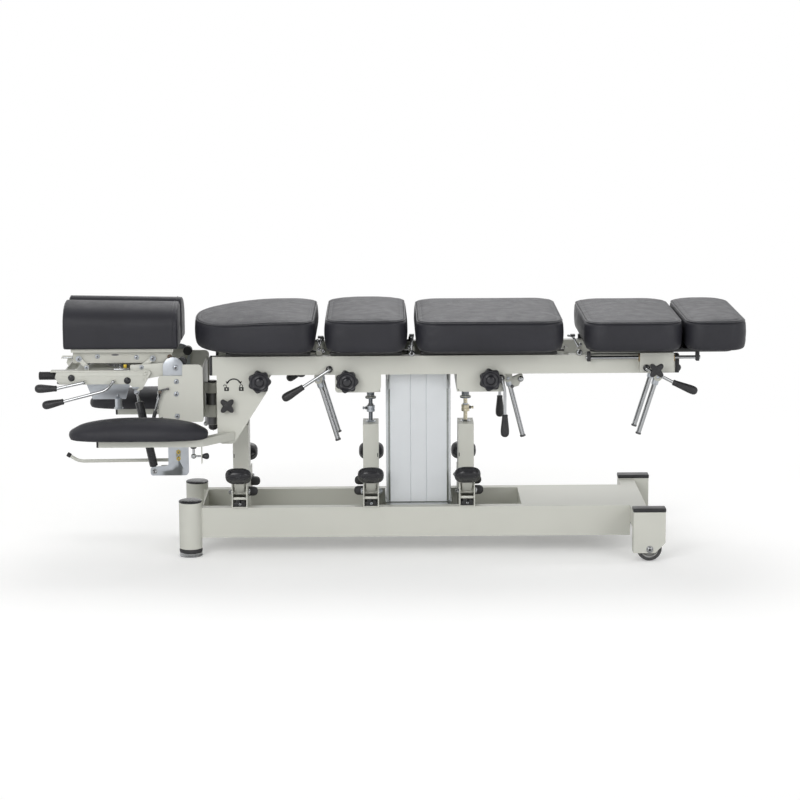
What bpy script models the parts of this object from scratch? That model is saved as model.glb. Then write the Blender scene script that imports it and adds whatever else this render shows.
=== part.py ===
"""Chiropractic table with drop sections, a tilting head piece and a lift column.

Metres, +Z up. The origin is on the floor under the middle of the table, +X is the foot end.
Each moving piece has its origin on its joint's axis.
"""

import math

import bmesh
import bpy
from mathutils import Matrix, Vector

# Fits
CLEARANCE = 0.0003
RUNNING_GAP = 0.0005
BURY = 0.001
OVERRUN = 0.004
PIN_SIDES = 6
SIDES = 8
FINE_SIDES = 16

# Cushions along the table
CHEST_LEFT = -0.583
CHEST_LENGTH = 0.369
CHEST_DEPTH = 0.093
THORACIC_GAP = 0.023
THORACIC_LENGTH = 0.245
THORACIC_DEPTH = 0.098
LUMBAR_GAP = 0.020
LUMBAR_LENGTH = 0.437
LUMBAR_DEPTH = 0.090
PELVIC_GAP = 0.054
PELVIC_LENGTH = 0.292
PELVIC_DEPTH = 0.086
FOOT_GAP = 0.0008
FOOT_LENGTH = 0.1854
FOOT_DEPTH = 0.088
CUSHION_WIDTH = 0.530
CORNER_RADIUS = 0.045
NOSE_LENGTH = 0.185
CUSHION_CROWN = 0.009
CUSHION_EDGE = 0.016
COVER_SPREAD_SHARES = (1.0, 0.78, 0.42)

# Base frame
RAIL_LEFT = -0.560
RAIL_RIGHT = 0.712
RAIL_INSIDE = 0.118
RAIL_WIDTH = 0.032
RAIL_BOTTOM = 0.055
RAIL_HEIGHT = 0.090
SHEET = 0.003
DECK_LEFT = 0.391
CROSS_BEAM = 0.048
CROSS_BEAM_REACH = 0.226
SLEEVE_X = -0.594
SLEEVE_Y = 0.144
SLEEVE_RADIUS = 0.0335
SLEEVE_BOTTOM = 0.024
SLEEVE_TOP = 0.163
SLEEVE_CAP = 0.004
FOOT_RING = 0.006
SPINDLE_RADIUS = 0.006
SPINDLE_LENGTH = 0.060
BRACKET_LENGTH = 0.094
BRACKET_WIDTH = 0.040
BRACKET_BOTTOM = 0.026
BRACKET_TOP = 0.148
BRACKET_CAP = 0.011
BRACKET_CHAMFER = 0.030
WHEEL_SLOT = 0.030
WHEEL_RADIUS = 0.0375
WHEEL_WIDTH = 0.026
AXLE_OFFSET = 0.048
AXLE_RADIUS = 0.004
HUB_RADIUS = 0.012

# Cocking posts and pedals
CHEST_POST_X = -0.447
THORACIC_POST_X = -0.057
LUMBAR_POST_X = 0.228
POST_LENGTH = 0.047
POST_WIDTH = 0.100
POST_TOP = 0.376
CHANNEL_HALF = 0.023
CHANNEL_REACH = 0.155
CHANNEL_HEIGHT = 0.073
PEDAL_PIVOT_Y = 0.122
PEDAL_PIVOT_Z = 0.187
PEDAL_PIN_RADIUS = 0.004
PEDAL_HUB_RADIUS = 0.009
PEDAL_ARM_WIDTH = 0.030
PEDAL_ARM_DEPTH = 0.009
PAD_Y = 0.190
PAD_Z = 0.250
PAD_LENGTH = 0.074
PAD_WIDTH = 0.062
PAD_DEPTH = 0.030
PAD_TILT = 36
STOP_RADIUS = 0.013
STOP_LENGTH = 0.027
STOP_Y = 0.075
STOP_Z = 0.180

# Lift column
COLUMN_X = 0.085
COLUMN_LENGTH = 0.192
COLUMN_WIDTH = 0.190
COLUMN_WALL = 0.006
COLUMN_FOOT_GAP = 0.002
COLUMN_OVERLAP = 0.030
GROOVE_WIDTH = 0.003
GROOVE_DEPTH = 0.002
GROOVE_SPACING = 0.047
CORNER_NOTCH = 0.012

# Upper frame
BEAM_LEFT = -0.520
BEAM_RIGHT = 0.839
BEAM_INSIDE = 0.130
BEAM_WIDTH = 0.030
BEAM_BOTTOM = 0.545
BEAM_HEIGHT = 0.055
BEAM_CAP = 0.012
BEAM_CAP_INSET = 0.001
PLATE = 0.006
GUSSET_BOTTOM = 0.341
GUSSET_LEFT = -0.508
GUSSET_FOOT_RIGHT = -0.460
GUSSET_RIGHT = -0.357
GUSSET_SHOULDER = 0.501
HANGER_DROP = 0.053
HANGER_RADIUS = 0.018
THORACIC_HANGER_LEFT = -0.160
THORACIC_HANGER_RIGHT = -0.025
LUMBAR_HANGER_LEFT = 0.198
LUMBAR_HANGER_RIGHT = 0.339
GUIDE_CHANNEL = 0.060
GUIDE_SLEEVE_RADIUS = 0.011
GUIDE_FLANGE_RADIUS = 0.016
GUIDE_SLEEVE_BOTTOM = 0.447
ROD_RADIUS = 0.006
ROD_DEPTH = 0.270
COLLAR_RADIUS = 0.012
COLLAR_HEIGHT = 0.024
COLLAR_SPARE = 0.002
ROD_STROKE = 0.015
CLAMP_SCREW_RADIUS = 0.004
CLAMP_SCREW_LENGTH = 0.012
ROD_TIP_GAP = 0.0004
COLUMN_PLATE_REACH = 0.020

# Knobs, levers and handles of the upper frame
KNOB_RADIUS = 0.0345
KNOB_LOBES = 8
KNOB_WAVE_SHARE = 0.055
KNOB_DEPTH = 0.020
KNOB_STUD_RADIUS = 0.011
KNOB_STUD_LENGTH = 0.015
KNOB_HUB_SHARE = 0.45
KNOB_HUB_RISE = 0.004
CHEST_KNOB = (-0.381, 0.529)
THORACIC_KNOB = (-0.125, 0.528)
LUMBAR_KNOB = (0.296, 0.531)
STAR_RADIUS = 0.025
STAR_WAVE_SHARE = 0.24
STAR_DEPTH = 0.016
STAR_STUD_RADIUS = 0.004
SWIVEL_STAR = (-0.477, 0.457)
LEG_STAR = (0.778, 0.563)
LEG_STAR_STUD = 0.030
LEVER_ROD_RADIUS = 0.0045
LEVER_HUB_RADIUS = 0.010
LEVER_HUB_LENGTH = 0.014
GRIP_ROOT_RADIUS = 0.0085
GRIP_RADIUS = 0.0125
SHAFT_RADIUS = 0.005
HEAD_LEVER = ((-0.177, 0.562), (-0.254, 0.512), (-0.304, 0.482))
LEG_LEVER = ((0.752, 0.565), (0.829, 0.524), (0.888, 0.500))
SIDE_LEVER_Y = 0.178
LUMBAR_LEVER_Y = 0.1672
LEG_LEVER_Y = 0.208
LUMBAR_LEVER = ((0.328, 0.533), (0.339, 0.500), (0.339, 0.423), (0.339, 0.369))
HANDLE_RADIUS = 0.0073
HANDLE_RING_RADIUS = 0.0085
HANDLE_RING_LENGTH = 0.004
HANDLE_Y = 0.065
HANDLE_HUB_RADIUS = 0.010
HANDLE_EAR_Y = 0.085
EAR_THICKNESS = 0.005
EAR_RADIUS = 0.012
HANDLE_BAR_LENGTH = 0.040
HANDLE_BAR_DEPTH = 0.012
CHEST_HANDLE = ((-0.211, 0.518), (-0.154, 0.332))
LEG_HANDLE = ((0.797, 0.520), (0.742, 0.345))
LUMBAR_HANDLE = ((0.352, 0.520), (0.398, 0.340))
CLAMP_BRACKET = 0.030
CLAMP_BRACKET_LENGTH = 0.046
CLAMP_BOLT_RADIUS = 0.007

# Table top
PLATFORM_GAP = 0.0035
PLATFORM_STEEL = 0.0055
PLATFORM_BOARD = 0.0127
PLATFORM_INSET = 0.018
PLATFORM_STEEL_REACH = 0.160
HINGE_BACK = 0.004
HINGE_RADIUS = 0.006
HINGE_PIN_RADIUS = 0.003
HINGE_EAR_Y = 0.112
HINGE_EAR_DEPTH = 0.010
HINGE_OFFSET = 0.0105
CHEST_STEEL_LEFT = -0.480
SLIDE_Y = 0.176
SLIDE_Z = 0.594
SLIDE_RADIUS = 0.005
SLIDE_LEFT = 0.579
SLIDE_RIGHT = 0.907
SLIDE_END = 0.010
SLIDE_END_HALF = 0.010
SLIDE_END_BOTTOM = 0.584
BLOCK_LEFT = 0.733
BLOCK_RIGHT = 0.832
BLOCK_OUTSIDE = 0.190
BLOCK_TOP = 0.609
BLOCK_BOTTOM = 0.552
BUSH_WALL = 0.0035
BUSH_SHOW = 0.003
CARRIAGE_LEFT = 0.573
CARRIAGE_BOTTOM = 0.6108

# Head end
SWIVEL_X = -0.532
KNUCKLE_RADIUS = 0.019
KNUCKLE_BOTTOM = 0.371
KNUCKLE_TOP = 0.499
KNUCKLE_SHARES = (0.0, 0.19, 0.47, 0.76, 1.0)
SWIVEL_PIN_RADIUS = 0.008
SWIVEL_KNOB_RADIUS = 0.013
SWIVEL_KNOB_DEPTH = 0.018
END_PLATE = 0.006
CARRIER_Y = 0.140
CARRIER_LEFT = -0.682
CARRIER_STEP = -0.610
CARRIER_RIGHT = -0.550
CARRIER_BOTTOM = 0.404
CARRIER_STEP_TOP = 0.542
CARRIER_TOP = 0.575
CARRIER_CORNER = 0.012
CAM_X = -0.637
CAM_RADIUS = 0.030
CAM_PLATE = 0.003
TILT_X = -0.629
TILT_Z = 0.566
TILT_BOLT_RADIUS = 0.005
ARM_EAR_RADIUS = 0.016
ARM_EAR_Y = 0.129
ARM_LEFT = -0.979
ARM_TOP = 0.559
ARM_BOTTOM = 0.518
ARM_FLANGE_LEFT = -0.998
ARM_NOSE = 0.033
ARM_TAIL_X = -0.741
ARM_TAIL_Z = 0.497
ARM_GRIP_LENGTH = 0.052
ARM_GRIP_RADIUS = 0.014
ARM_GRIP_Z = 0.541
SHEET_Y = 0.060
SHEET_OUTLINE = ((-0.907, 0.520), (-0.767, 0.520), (-0.786, 0.460), (-0.884, 0.460))
SHEET_POST_X = -0.808
SHEET_POST_RADIUS = 0.010
SHEET_POST_BOTTOM = 0.429
CARRIAGE_Y = 0.115
HEAD_PLATE_LEFT = -0.933
HEAD_PLATE_RIGHT = -0.673
HEAD_TAIL_RIGHT = -0.640
HEAD_PLATE_BOTTOM = 0.578
HEAD_PLATE_TOP = 0.613
HEAD_BOARD = 0.008
LINK_FRONT = ((-0.892, 0.567), (-0.915, 0.592))
LINK_REAR = ((-0.730, 0.567), (-0.697, 0.592))
LINK_Y = 0.1235
LINK_HALF_WIDTH = 0.0065
LINK_THICKNESS = 0.004
LINK_BOLT_RADIUS = 0.003
CLAMP_ONE = ((-0.900, 0.526), (-0.979, 0.509), (-1.0305, 0.509))
CLAMP_TWO = ((-0.812, 0.528), (-0.833, 0.502), (-0.960, 0.470), (-1.010, 0.460))
CLAMP_Y = 0.158
ROLL_LEFT = -0.957
ROLL_RIGHT = -0.619
ROLL_OUTSIDE = 0.150
ROLL_INSIDE = 0.012
ROLL_TOP = 0.757
ROLL_CREST_Y = 0.070
ROLL_LIP = 0.040
ROLL_EDGE = 0.008
ROLL_END_SHARES = ((0.0, 1.4), (0.012, 0.3), (0.035, 0.0), (0.965, 0.0), (0.988, 0.3), (1.0, 1.4))
STRUT_Y = 0.070
STRUT_TOP = (-0.752, 0.483)
STRUT_JOIN = (-0.744, 0.453)
STRUT_END = (-0.695, 0.262)
STRUT_FOOT = (-0.703, 0.243)
STRUT_RADIUS = 0.011
STRUT_BORE_RADIUS = 0.0048
STRUT_ROD_RADIUS = 0.004
STRUT_CYLINDER_SHARE = 0.874
STRUT_ROD_SHARE = 0.85
STRUT_ENGAGED_SHARE = 0.45
STRUT_EYE_RADIUS = 0.008
STRUT_EYE_LENGTH = 0.008
STRUT_PIN_RADIUS = 0.003
ANGLE_THICKNESS = 0.004
ANGLE_Y = 0.080
ANGLE_TOE = -0.707
ANGLE_HEEL = -0.601
ANGLE_BOTTOM = 0.231
ANGLE_ARM = 0.024
ANGLE_POST = 0.060
RELEASE_Y = 0.030
RELEASE_ROUTE = ((-0.648, 0.268), (-0.935, 0.266), (-0.964, 0.285))
RELEASE_RADIUS = 0.005
RELEASE_TIP = 0.012
RELEASE_HUB_RADIUS = 0.008

# Armrests
ARMREST_Y = 0.270
ARMREST_BAR_LEFT = -0.846
ARMREST_BAR_BOTTOM = 0.355
ARMREST_BAR_HEIGHT = 0.0225
ARMREST_BAR_WIDTH = 0.025
ARMREST_BEND_X = -0.560
ARMREST_BAR_END = -0.470
PAD_LEFT = -0.934
PAD_RIGHT = -0.525
ARMREST_PAD_WIDTH = 0.126
ARMREST_PAD_TOP = 0.440

# Places that follow from the sizes above
RAIL_TOP = RAIL_BOTTOM + RAIL_HEIGHT
WELL_FLOOR = RAIL_BOTTOM + SHEET
BEAM_TOP = BEAM_BOTTOM + BEAM_HEIGHT
BEAM_OUTSIDE = BEAM_INSIDE + BEAM_WIDTH
HANGER_BOTTOM = BEAM_BOTTOM - HANGER_DROP
PLATFORM_BOTTOM = BEAM_TOP + PLATFORM_GAP
BOARD_BOTTOM = PLATFORM_BOTTOM + PLATFORM_STEEL
BOARD_TOP = BOARD_BOTTOM + PLATFORM_BOARD
SEAT = BOARD_TOP + CLEARANCE
AXLE_X = RAIL_RIGHT + AXLE_OFFSET
COLLAR_BOTTOM = GUIDE_SLEEVE_BOTTOM - ROD_STROKE - COLLAR_SPARE - COLLAR_HEIGHT
THORACIC_LEFT = CHEST_LEFT + CHEST_LENGTH + THORACIC_GAP
LUMBAR_LEFT = THORACIC_LEFT + THORACIC_LENGTH + LUMBAR_GAP
PELVIC_LEFT = LUMBAR_LEFT + LUMBAR_LENGTH + PELVIC_GAP
FOOT_LEFT = PELVIC_LEFT + PELVIC_LENGTH + FOOT_GAP
CHEST_HINGE_X = CHEST_LEFT + CHEST_LENGTH + HINGE_OFFSET
THORACIC_HINGE_X = THORACIC_LEFT + THORACIC_LENGTH + HINGE_OFFSET
LUMBAR_HINGE_X = LUMBAR_LEFT + LUMBAR_LENGTH + HINGE_OFFSET
HINGE_Z = PLATFORM_BOTTOM + HINGE_RADIUS + HINGE_BACK * 0.75
COLLECTION = "ChiropracticTable"


# Scene and materials
def clear_scene():
    for item in list(bpy.data.objects):
        bpy.data.objects.remove(item, do_unlink=True)


def part_collection():
    found = bpy.data.collections.get(COLLECTION)
    if found is None:
        found = bpy.data.collections.new(COLLECTION)
        bpy.context.scene.collection.children.link(found)
    return found


def finish(name, colour, roughness, metallic):
    made = bpy.data.materials.new(name)
    made.use_nodes = True
    shader = made.node_tree.nodes["Principled BSDF"]
    shader.inputs["Base Color"].default_value = (*colour, 1.0)
    shader.inputs["Roughness"].default_value = roughness
    shader.inputs["Metallic"].default_value = metallic
    return made


def powder_coat():
    return finish("powder coat", (0.58, 0.58, 0.53), 0.42, 0.0)


def leather():
    return finish("leather", (0.035, 0.036, 0.042), 0.48, 0.0)


def black_plastic():
    return finish("black plastic", (0.02, 0.02, 0.022), 0.38, 0.0)


def chrome():
    return finish("chrome", (0.78, 0.79, 0.80), 0.12, 1.0)


def aluminium():
    return finish("aluminium", (0.74, 0.77, 0.80), 0.38, 0.6)


def zinc():
    return finish("zinc", (0.45, 0.47, 0.50), 0.40, 0.8)


def bronze():
    return finish("bronze", (0.60, 0.40, 0.18), 0.35, 0.9)


def rubber():
    return finish("rubber", (0.10, 0.10, 0.11), 0.65, 0.0)


# Shapes
def as_object(mesh):
    made = bpy.data.objects.new(mesh.name, mesh)
    part_collection().objects.link(made)
    return made


def from_bmesh(bm):
    bmesh.ops.recalc_face_normals(bm, faces=bm.faces)
    mesh = bpy.data.meshes.new("shape")
    bm.to_mesh(mesh)
    bm.free()
    return as_object(mesh)


def solid_mesh(source):
    """The evaluated object as a mesh object with its caps welded."""
    graph = bpy.context.evaluated_depsgraph_get()
    mesh = bpy.data.meshes.new_from_object(source.evaluated_get(graph))
    mesh.transform(source.matrix_world)
    bm = bmesh.new()
    bm.from_mesh(mesh)
    bmesh.ops.remove_doubles(bm, verts=bm.verts, dist=CLEARANCE / 30)
    bmesh.ops.recalc_face_normals(bm, faces=bm.faces)
    bm.to_mesh(mesh)
    bm.free()
    bpy.data.objects.remove(source, do_unlink=True)
    return as_object(mesh)


def box(low, high, edge=0.0):
    """A box between two corners, with its edges rounded where an edge radius is given."""
    bm = bmesh.new()
    bmesh.ops.create_cube(bm, size=1.0)
    for vert in bm.verts:
        shares = [value + 0.5 for value in vert.co]
        vert.co = [a + (b - a) * s for a, b, s in zip(low, high, shares)]
    if edge:
        bmesh.ops.bevel(bm, geom=bm.edges[:], offset=edge, segments=2, profile=0.5, affect="EDGES")
    return from_bmesh(bm)


def cone(start, end, radius, end_radius=None, sides=SIDES):
    """A cylinder or cone with caps from one point to another."""
    start = Vector(start)
    end = Vector(end)
    run = end - start
    bm = bmesh.new()
    bmesh.ops.create_cone(
        bm,
        cap_ends=True,
        segments=sides,
        radius1=radius,
        radius2=radius if end_radius is None else end_radius,
        depth=run.length,
    )
    turn = run.to_track_quat("Z", "Y").to_matrix().to_4x4()
    bmesh.ops.transform(bm, matrix=Matrix.Translation((start + end) / 2) @ turn, verts=bm.verts)
    return from_bmesh(bm)


def ball(centre, radius, sides=SIDES, squash=(1.0, 1.0, 1.0)):
    bm = bmesh.new()
    bmesh.ops.create_uvsphere(bm, u_segments=sides, v_segments=sides // 2, radius=radius)
    bmesh.ops.transform(bm, matrix=Matrix.Diagonal((*squash, 1.0)), verts=bm.verts)
    bmesh.ops.transform(bm, matrix=Matrix.Translation(centre), verts=bm.verts)
    return from_bmesh(bm)


def turned(profile, place, direction=(0.0, 0.0, 1.0), sides=FINE_SIDES):
    """A profile of (radius, height) pairs, top to bottom, turned about a direction at a place."""
    mesh = bpy.data.meshes.new("profile")
    points = [(radius, 0.0, height) for radius, height in profile]
    mesh.from_pydata(points, [(i, i + 1) for i in range(len(points) - 1)], [])
    made = as_object(mesh)
    screw = made.modifiers.new("turn", "SCREW")
    screw.axis = "Z"
    screw.angle = math.tau
    screw.steps = sides
    screw.render_steps = sides
    screw.use_merge_vertices = True
    screw.merge_threshold = CLEARANCE / 30
    turn = Vector(direction).to_track_quat("Z", "Y").to_matrix().to_4x4()
    made.matrix_world = Matrix.Translation(place) @ turn
    bpy.context.view_layer.update()
    return solid_mesh(made)


def flat_curve(points):
    curve = bpy.data.curves.new("outline", "CURVE")
    curve.dimensions = "2D"
    curve.fill_mode = "BOTH"
    spline = curve.splines.new("POLY")
    spline.points.add(len(points) - 1)
    for point, (across, along) in zip(spline.points, points):
        point.co = (across, along, 0.0, 1.0)
    spline.use_cyclic_u = True
    return curve


def plate(points, middle, thickness, plane="XZ"):
    """An outline with a thickness: in X and Z at a Y, in Y and Z at an X, or in X and Y at a Z."""
    curve = flat_curve(points)
    curve.extrude = thickness / 2
    made = bpy.data.objects.new("outline", curve)
    part_collection().objects.link(made)
    if plane == "XZ":
        made.matrix_world = Matrix.Translation((0, middle, 0)) @ Matrix.Rotation(math.pi / 2, 4, "X")
    elif plane == "YZ":
        stand = Matrix.Rotation(math.pi / 2, 4, "Z") @ Matrix.Rotation(math.pi / 2, 4, "X")
        made.matrix_world = Matrix.Translation((middle, 0, 0)) @ stand
    else:
        made.matrix_world = Matrix.Translation((0, 0, middle))
    bpy.context.view_layer.update()
    return solid_mesh(made)


def tube(points, radius, resolution=2):
    """A round bar along points."""
    curve = bpy.data.curves.new("bar", "CURVE")
    curve.dimensions = "3D"
    curve.bevel_depth = radius
    curve.bevel_resolution = resolution
    curve.use_fill_caps = True
    spline = curve.splines.new("POLY")
    spline.points.add(len(points) - 1)
    for point, place in zip(spline.points, points):
        point.co = (*place, 1.0)
    made = bpy.data.objects.new("bar", curve)
    part_collection().objects.link(made)
    bpy.context.view_layer.update()
    return solid_mesh(made)


def rounded(corners, steps=3):
    """An outline whose corners (across, up, radius) are turned into arcs."""
    points = []
    count = len(corners)
    for index, (across, up, radius) in enumerate(corners):
        here = Vector((across, up))
        before = Vector(corners[index - 1][:2]) - here
        after = Vector(corners[(index + 1) % count][:2]) - here
        if not radius:
            points.append((across, up))
            continue
        before.normalize()
        after.normalize()
        half = before.angle(after) / 2
        reach = radius / math.tan(half)
        centre = here + (before + after).normalized() * radius / math.sin(half)
        first = here + before * reach - centre
        last = here + after * reach - centre
        swing = math.atan2(first.x * last.y - first.y * last.x, first.dot(last))
        for step in range(steps + 1):
            turn = swing * step / steps
            spot = centre + Matrix.Rotation(turn, 2) @ first
            points.append((spot.x, spot.y))
    return points


def fused(shapes, cuts=()):
    """One mesh object from shapes that overlap, less the cutters."""
    first = shapes[0]
    for operation, others in (("UNION", shapes[1:]), ("DIFFERENCE", cuts)):
        if not others:
            continue
        group = bpy.data.collections.new("cutters")
        bpy.context.scene.collection.children.link(group)
        for other in others:
            part_collection().objects.unlink(other)
            group.objects.link(other)
        boolean = first.modifiers.new(operation.lower(), "BOOLEAN")
        boolean.operation = operation
        boolean.operand_type = "COLLECTION"
        boolean.collection = group
        boolean.solver = "EXACT"
        bpy.context.view_layer.update()
        first = solid_mesh(first)
        for other in others:
            bpy.data.objects.remove(other, do_unlink=True)
        bpy.data.collections.remove(group)
    return first


def node(name, shape, material, pivot=(0.0, 0.0, 0.0), angle=35):
    """Names a finished shape, gives it its material and puts its origin on its axis."""
    shape.name = name
    shape.data.name = name
    shape.data.transform(Matrix.Translation(-Vector(pivot)))
    shape.location = pivot
    shape.data.materials.clear()
    shape.data.materials.append(material)
    shape.data.shade_smooth()
    shape.data.set_sharp_from_angle(angle=math.radians(angle))
    return shape


SIDE_NAMES = {-1: "near", 1: "far"}


def at_side(points, side, across):
    """Points given in X and Z, set at a distance across on one side."""
    return [(along, side * across, up) for along, up in points]


def along_y(place, reach_a, reach_b, radius, sides=SIDES):
    """A cylinder across the table at (X, Z) between two Y values."""
    along, up = place
    return cone((along, reach_a, up), (along, reach_b, up), radius, sides=sides)


def x_pin(left, right, place, radius, sides=PIN_SIDES):
    """A cylinder along the table at (Y, Z) between two X values."""
    return cone((left, *place), (right, *place), radius, sides=sides)


# Base frame: rails, well, deck, foot sleeves and wheel brackets
def foot_sleeve(side):
    place = (SLEEVE_X, side * SLEEVE_Y)
    tube_wall = cone((*place, SLEEVE_BOTTOM), (*place, SLEEVE_TOP), SLEEVE_RADIUS, sides=FINE_SIDES)
    crown = SLEEVE_CAP / 2
    cap = turned(
        (
            (0.0, SLEEVE_CAP + crown),
            (SLEEVE_RADIUS * 0.6, SLEEVE_CAP + crown * 0.6),
            (SLEEVE_RADIUS + BURY / 2, crown),
            (SLEEVE_RADIUS + BURY / 2, 0.0),
            (SLEEVE_RADIUS - BURY, -BURY),
            (0.0, -BURY),
        ),
        (*place, SLEEVE_TOP),
    )
    return [tube_wall, cap]


def wheel_bracket(side):
    left = RAIL_RIGHT
    right = RAIL_RIGHT + BRACKET_LENGTH
    outline = (
        (left, BRACKET_BOTTOM),
        (right - BRACKET_CHAMFER, BRACKET_BOTTOM),
        (right, BRACKET_BOTTOM + BRACKET_CHAMFER),
        (right, BRACKET_TOP),
        (left, BRACKET_TOP),
    )
    middle = side * (CROSS_BEAM_REACH - BURY + BRACKET_WIDTH / 2)
    half = BRACKET_WIDTH / 2
    body = plate(outline, middle, BRACKET_WIDTH)
    inset = BURY
    cap = box(
        (left + inset, middle - half + inset, BRACKET_TOP - BURY),
        (right - inset, middle + half - inset, BRACKET_TOP + BRACKET_CAP),
        edge=BRACKET_CAP / 4,
    )
    axle = along_y((AXLE_X, WHEEL_RADIUS), middle - half - BURY, middle + half + BURY, AXLE_RADIUS)
    slot = box(
        (left + SHEET, middle - WHEEL_SLOT / 2, -OVERRUN),
        (right + OVERRUN, middle + WHEEL_SLOT / 2, WHEEL_RADIUS * 2 + OVERRUN * 2),
    )
    return [body, cap], axle, slot


def base_frame():
    shapes = []
    slots = []
    axles = []
    for side in (-1, 1):
        inside, outside = sorted((side * RAIL_INSIDE, side * (RAIL_INSIDE + RAIL_WIDTH)))
        low = (RAIL_LEFT - SLEEVE_RADIUS / 2, inside, RAIL_BOTTOM)
        shapes.append(box(low, (RAIL_RIGHT + BURY, outside, RAIL_TOP)))
        shapes += foot_sleeve(side)
        bracket, axle, slot = wheel_bracket(side)
        shapes += bracket
        slots.append(slot)
        axles.append(axle)
        bore = SPINDLE_RADIUS + RUNNING_GAP
        place = (SLEEVE_X, side * SLEEVE_Y)
        depth = SPINDLE_LENGTH + OVERRUN
        slots.append(cone((*place, 0.0), (*place, depth), bore))
    reach = RAIL_INSIDE + BURY
    shapes.append(box((RAIL_LEFT, -reach, RAIL_BOTTOM), (DECK_LEFT + BURY, reach, WELL_FLOOR)))
    deck_right = RAIL_RIGHT + BURY
    shapes.append(box((DECK_LEFT, -reach, RAIL_TOP - SHEET), (deck_right, reach, RAIL_TOP)))
    shapes.append(box((DECK_LEFT, -reach, RAIL_BOTTOM), (DECK_LEFT + SHEET, reach, RAIL_TOP)))
    shapes.append(box((RAIL_LEFT, -reach, RAIL_BOTTOM), (RAIL_LEFT + SHEET, reach, RAIL_TOP)))
    beam_low = (RAIL_RIGHT, -CROSS_BEAM_REACH, RAIL_TOP - CROSS_BEAM)
    beam_high = (RAIL_RIGHT + CROSS_BEAM, CROSS_BEAM_REACH, RAIL_TOP)
    shapes.append(box(beam_low, beam_high))
    frame = fused(shapes, slots)
    return node("base_frame", fused([frame, *axles]), powder_coat())


def levelling_foot(side):
    place = (SLEEVE_X, side * SLEEVE_Y, 0.0)
    top = SLEEVE_BOTTOM - CLEARANCE
    ring = top - FOOT_RING
    waist = SLEEVE_RADIUS - BURY * 2
    profile = (
        (0.0, SPINDLE_LENGTH),
        (SPINDLE_RADIUS, SPINDLE_LENGTH),
        (SPINDLE_RADIUS, top),
        (SLEEVE_RADIUS, top),
        (SLEEVE_RADIUS, ring),
        (waist, ring - BURY),
        (waist, FOOT_RING),
        (SLEEVE_RADIUS, FOOT_RING / 2),
        (SLEEVE_RADIUS, 0.0),
        (0.0, 0.0),
    )
    shape = turned(profile, place)
    return node("levelling_foot_" + SIDE_NAMES[side], shape, chrome(), place)


def wheel(side):
    middle = side * (CROSS_BEAM_REACH - BURY + BRACKET_WIDTH / 2)
    bore = AXLE_RADIUS + RUNNING_GAP
    half = WHEEL_WIDTH / 2
    tread = WHEEL_RADIUS - CLEARANCE
    hub_half = WHEEL_SLOT / 2 - CLEARANCE
    web = half / 3
    rim = tread * 0.66
    profile = (
        (bore, hub_half),
        (HUB_RADIUS, hub_half),
        (rim, web),
        (rim, half),
        (tread - half * 0.3, half),
        (tread, half * 0.6),
        (tread, -half * 0.6),
        (tread - half * 0.3, -half),
        (rim, -half),
        (rim, -web),
        (HUB_RADIUS, -hub_half),
        (bore, -hub_half),
        (bore, hub_half),
    )
    place = (AXLE_X, middle, WHEEL_RADIUS)
    shape = turned(profile, place, (0.0, 1.0, 0.0), sides=FINE_SIDES + PIN_SIDES)
    return node("wheel_" + SIDE_NAMES[side], shape, rubber(), place)


# Cocking posts with their pedal channels and rubber stops
def channel_outline(along, low):
    high = low + CHANNEL_HEIGHT
    inner = CHANNEL_HALF - SHEET
    return [
        (along - CHANNEL_HALF, low),
        (along + CHANNEL_HALF, low),
        (along + CHANNEL_HALF, high),
        (along + inner, high),
        (along + inner, low + SHEET),
        (along - inner, low + SHEET),
        (along - inner, high),
        (along - CHANNEL_HALF, high),
    ]


def cocking_post(name, along, stop_side):
    half = POST_LENGTH / 2
    shapes = [
        box(
            (along - half, -POST_WIDTH / 2, WELL_FLOOR + CLEARANCE),
            (along + half, POST_WIDTH / 2, POST_TOP),
        )
    ]
    low = RAIL_TOP + CLEARANCE
    pins = []
    for side in (-1, 1):
        root = POST_WIDTH / 2 - BURY * 2
        shapes.append(
            plate(channel_outline(along, low), side * (root + CHANNEL_REACH) / 2, CHANNEL_REACH - root)
        )
        head = CHANNEL_HALF + SHEET
        pivot = (side * PEDAL_PIVOT_Y, PEDAL_PIVOT_Z)
        pins.append(x_pin(along - head, along + head, pivot, PEDAL_PIN_RADIUS))
        for wall in (-1, 1):
            face = along + wall * (CHANNEL_HALF - BURY)
            end = along + wall * (head - BURY)
            pins.append(x_pin(face, end, pivot, PEDAL_PIN_RADIUS * 2))
        face = along + stop_side * (CHANNEL_HALF - BURY)
        tip = along + stop_side * (CHANNEL_HALF + STOP_LENGTH - STOP_RADIUS * 0.7)
        rest = (side * STOP_Y, STOP_Z)
        pins.append(cone((face, *rest), (tip, *rest), STOP_RADIUS * 0.75, STOP_RADIUS * 0.96))
        pins.append(ball((tip, *rest), STOP_RADIUS, sides=SIDES, squash=(0.7, 1.0, 1.0)))
    bore = cone(
        (along, 0.0, POST_TOP - ROD_DEPTH - OVERRUN),
        (along, 0.0, POST_TOP + OVERRUN),
        ROD_RADIUS + RUNNING_GAP,
    )
    return node(name, fused(shapes + pins, [bore]), powder_coat())


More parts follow.
